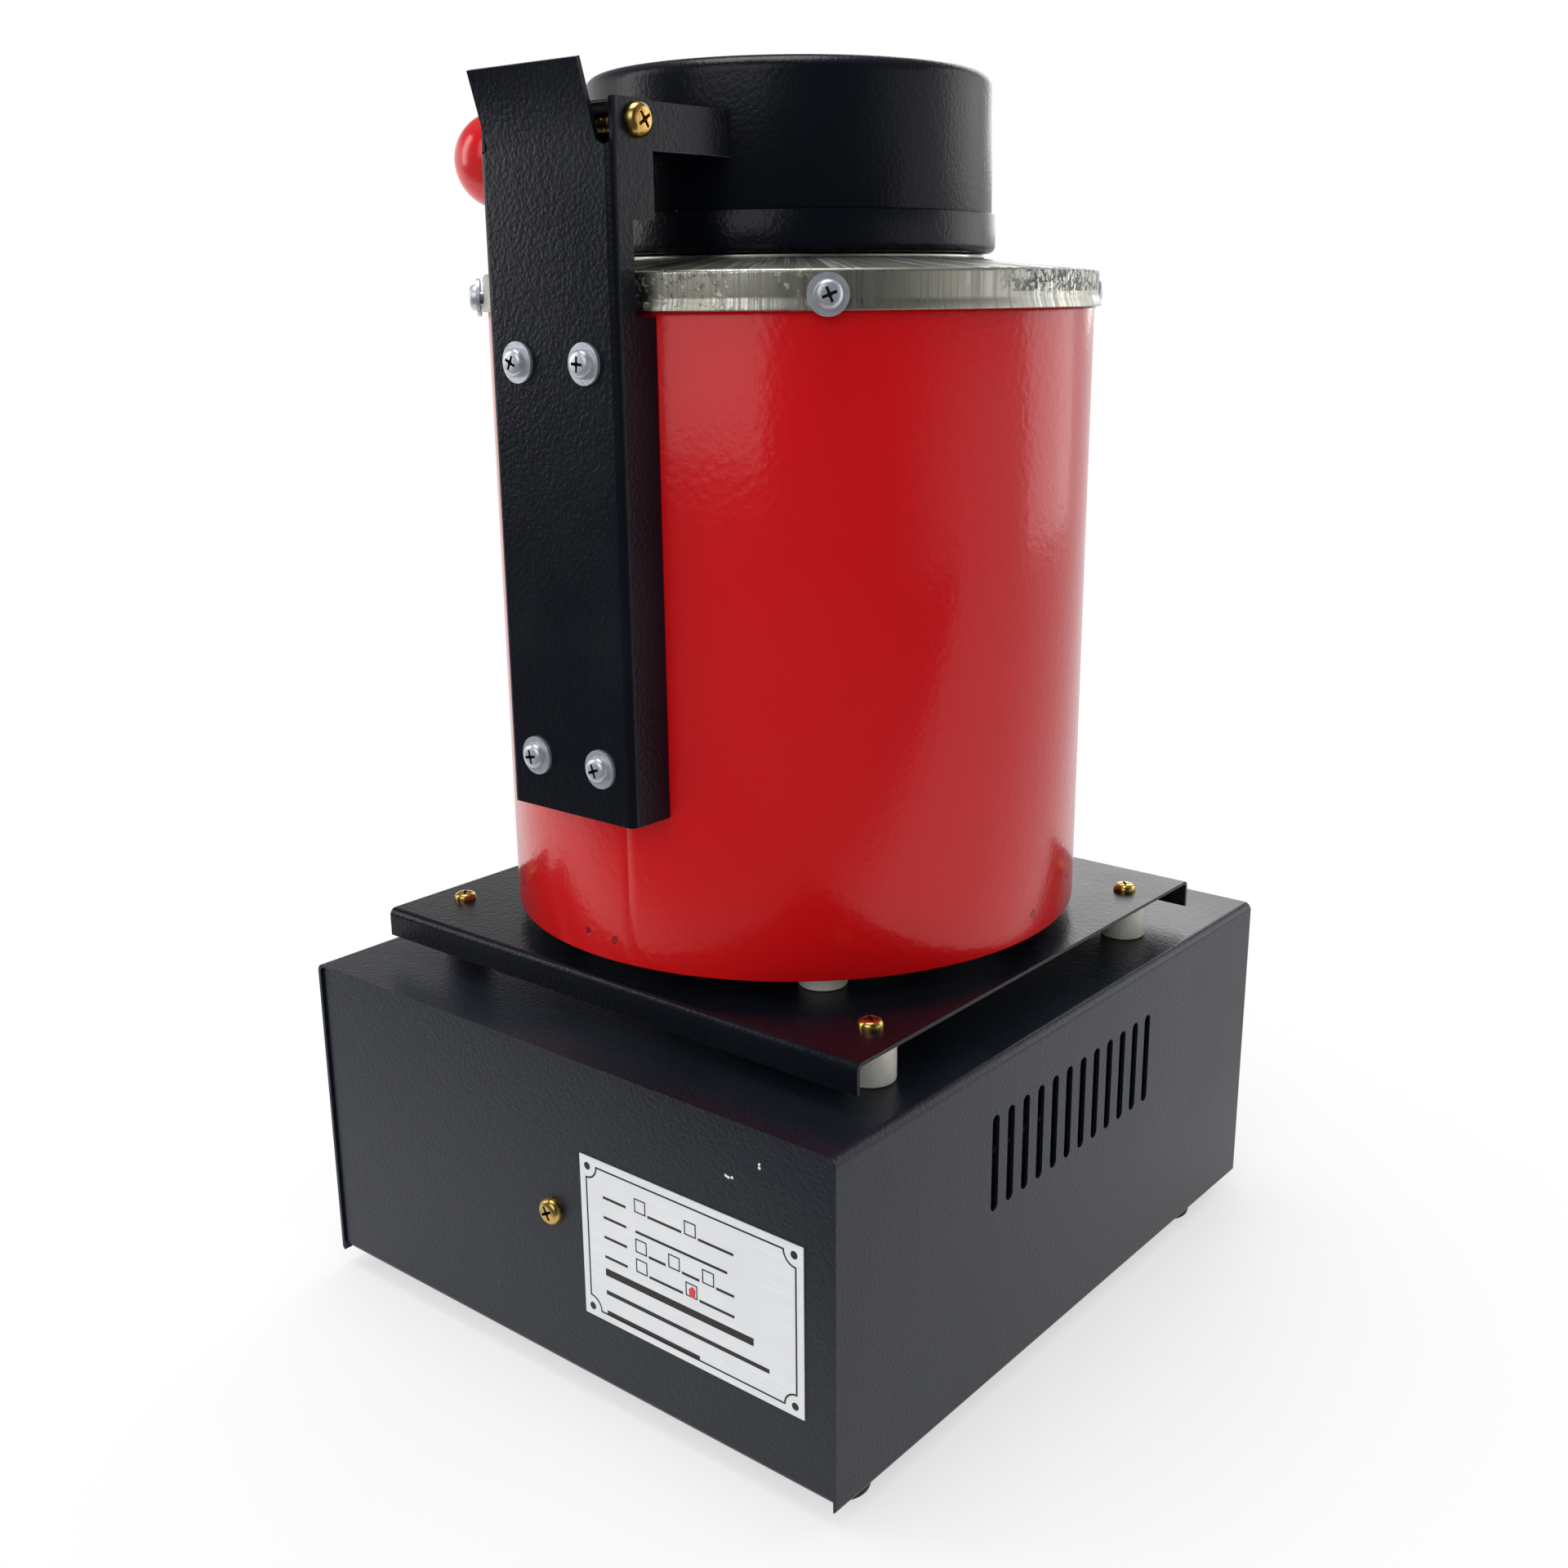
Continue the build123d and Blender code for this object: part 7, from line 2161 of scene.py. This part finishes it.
@dataclass
class Studio:
    """Pale floor, soft lamps, white surroundings and the camera."""

    floor_radius: float = 4.0
    world_strength: float = 0.42
    ceiling: float = 0.22
    room: float = 0.1
    dark_way: Place = (-0.3, 0.954, 0.0)
    ceiling_span: Point = (0.12, 0.5)
    room_span: Point = (-0.1, 0.6)
    dark_span: Point = (0.17, 0.32)
    white_span: Point = (0.15, 0.42)
    white_shares: Point = (0.6, 1.0)
    camera_place: Place = (-397.97, 470.94, 350.52)
    camera_yaw: float = 219.596
    camera_pitch: float = -15.913
    camera_roll: float = -0.557
    lens: float = 39.49
    lamps: tuple[Lamp, ...] = (
        Lamp("top_softbox", (0.2, 0.1, 1.9), (1.0, 1.0), 17.0),
        Lamp("rear_softbox", (-0.3, 2.0, 1.3), (1.7, 1.4), 14.0),
        Lamp("far_softbox", (1.5, 1.0, 0.9), (0.5, 1.4), 8.0),
        Lamp("side_softbox", (-0.9, -1.6, 0.8), (1.1, 1.4), 7.0),
        Lamp("front_softbox", (0.6, -1.8, 1.0), (1.0, 1.2), 9.0),
    )

    def build(self) -> None:
        """Set up everything round the furnace."""
        target = Vector((0.0, 0.0, 0.2))
        for lamp in self.lamps:
            lamp.build(target)
        self.surroundings()
        self.floor()
        self.camera()
        bpy.context.scene.view_settings.view_transform = "Standard"

    def surroundings(self) -> None:
        """Light the furnace evenly, and show plain white behind it."""
        world = bpy.data.worlds.new("white surroundings")
        world.use_nodes = True
        graph = Graph(world.node_tree)
        graph.tree.nodes.clear()
        direct, mirrored = graph.rays()
        way = graph.node("ShaderNodeTexCoord").outputs["Generated"]
        overhead = graph.span(graph.split(way)[2], *self.ceiling_span, 1.0, self.ceiling)
        towards = graph.measure("DOT_PRODUCT", {0: way, 1: self.dark_way})
        overhead = graph.times(overhead, graph.span(towards, *self.room_span, 1.0, self.room))
        shown = graph.times(mirrored, overhead)
        lit = graph.times(graph.math("SUBTRACT", 1.0, mirrored), self.world_strength)
        strength = graph.math("MAXIMUM", graph.math("ADD", shown, lit), direct)
        shade = graph.node("ShaderNodeBackground", {"Color": WHITE, "Strength": strength})
        graph.node("ShaderNodeOutputWorld", {"Surface": shade.outputs[0]})
        bpy.context.scene.world = world

    def floor(self) -> None:
        """Lay the pale floor, which turns to plain white away from the furnace."""
        count = 96
        rim = [(x, y, 0.0) for x, y in circle(self.floor_radius, count)]
        mesh = bpy.data.meshes.new("floor")
        mesh.from_pydata(rim, [], [tuple(range(count))])
        floor = placed("floor", mesh)
        surface = Surface("pale floor", (0.82, 0.82, 0.82), 0.9)
        diffuse = surface.node("ShaderNodeBsdfDiffuse", {"Color": (0.92, 0.92, 0.92, 1.0)})
        towards = surface.measure("DOT_PRODUCT", {0: surface.place, 1: self.dark_way})
        distance = surface.measure("LENGTH", {0: surface.place})
        direct, mirrored = surface.rays()
        dark = surface.span(towards, *self.dark_span, 0.0, 1.0 - self.room)
        strength = surface.math("SUBTRACT", 1.0, surface.times(dark, mirrored))
        white = surface.node("ShaderNodeEmission", {"Color": WHITE, "Strength": strength})
        seen = surface.math("MAXIMUM", direct, mirrored)
        share = surface.times(surface.span(distance, *self.white_span, *self.white_shares), seen)
        inputs = {0: share, 1: diffuse.outputs[0], 2: white.outputs[0]}
        mixed = surface.node("ShaderNodeMixShader", inputs)
        output = next(node for node in surface.tree.nodes if node.type == "OUTPUT_MATERIAL")
        surface.feed(output.inputs["Surface"], mixed.outputs[0])
        surface.tree.nodes.remove(surface.shader)
        mesh.materials.append(surface.material)

    def camera(self) -> None:
        """Stand the camera behind the furnace, to the vent side."""
        yaw, pitch = math.radians(self.camera_yaw), math.radians(self.camera_pitch)
        roll = math.radians(self.camera_roll)
        level = math.cos(pitch)
        ahead = Vector((-math.sin(yaw) * level, math.cos(yaw) * level, math.sin(pitch)))
        right = ahead.cross(UP).normalized()
        up = right.cross(ahead)
        turned_right = right * math.cos(roll) + up * math.sin(roll)
        turned_up = up * math.cos(roll) - right * math.sin(roll)
        data = bpy.data.cameras.new("camera")
        data.lens = self.lens
        data.sensor_width = 36.0
        data.clip_start = 0.01
        camera = placed("camera", data)
        turn = Matrix((turned_right, turned_up, -ahead)).transposed().to_4x4()
        camera.matrix_world = Matrix.Translation(Vector(self.camera_place) * MM) @ turn
        bpy.context.scene.camera = camera


def main() -> None:
    """Build the sub-assemblies in order, then the studio round them."""
    logging.basicConfig(level=logging.INFO, format="%(name)s: %(message)s")
    for assembly in (ControlBox(), Deck(), Barrel(), Chamber(), Hinge(), Lid(), ControlPanel()):
        LOG.info("building %s", type(assembly).__name__)
        assembly.build()
    Studio().build()


if __name__ == "__main__":
    main()
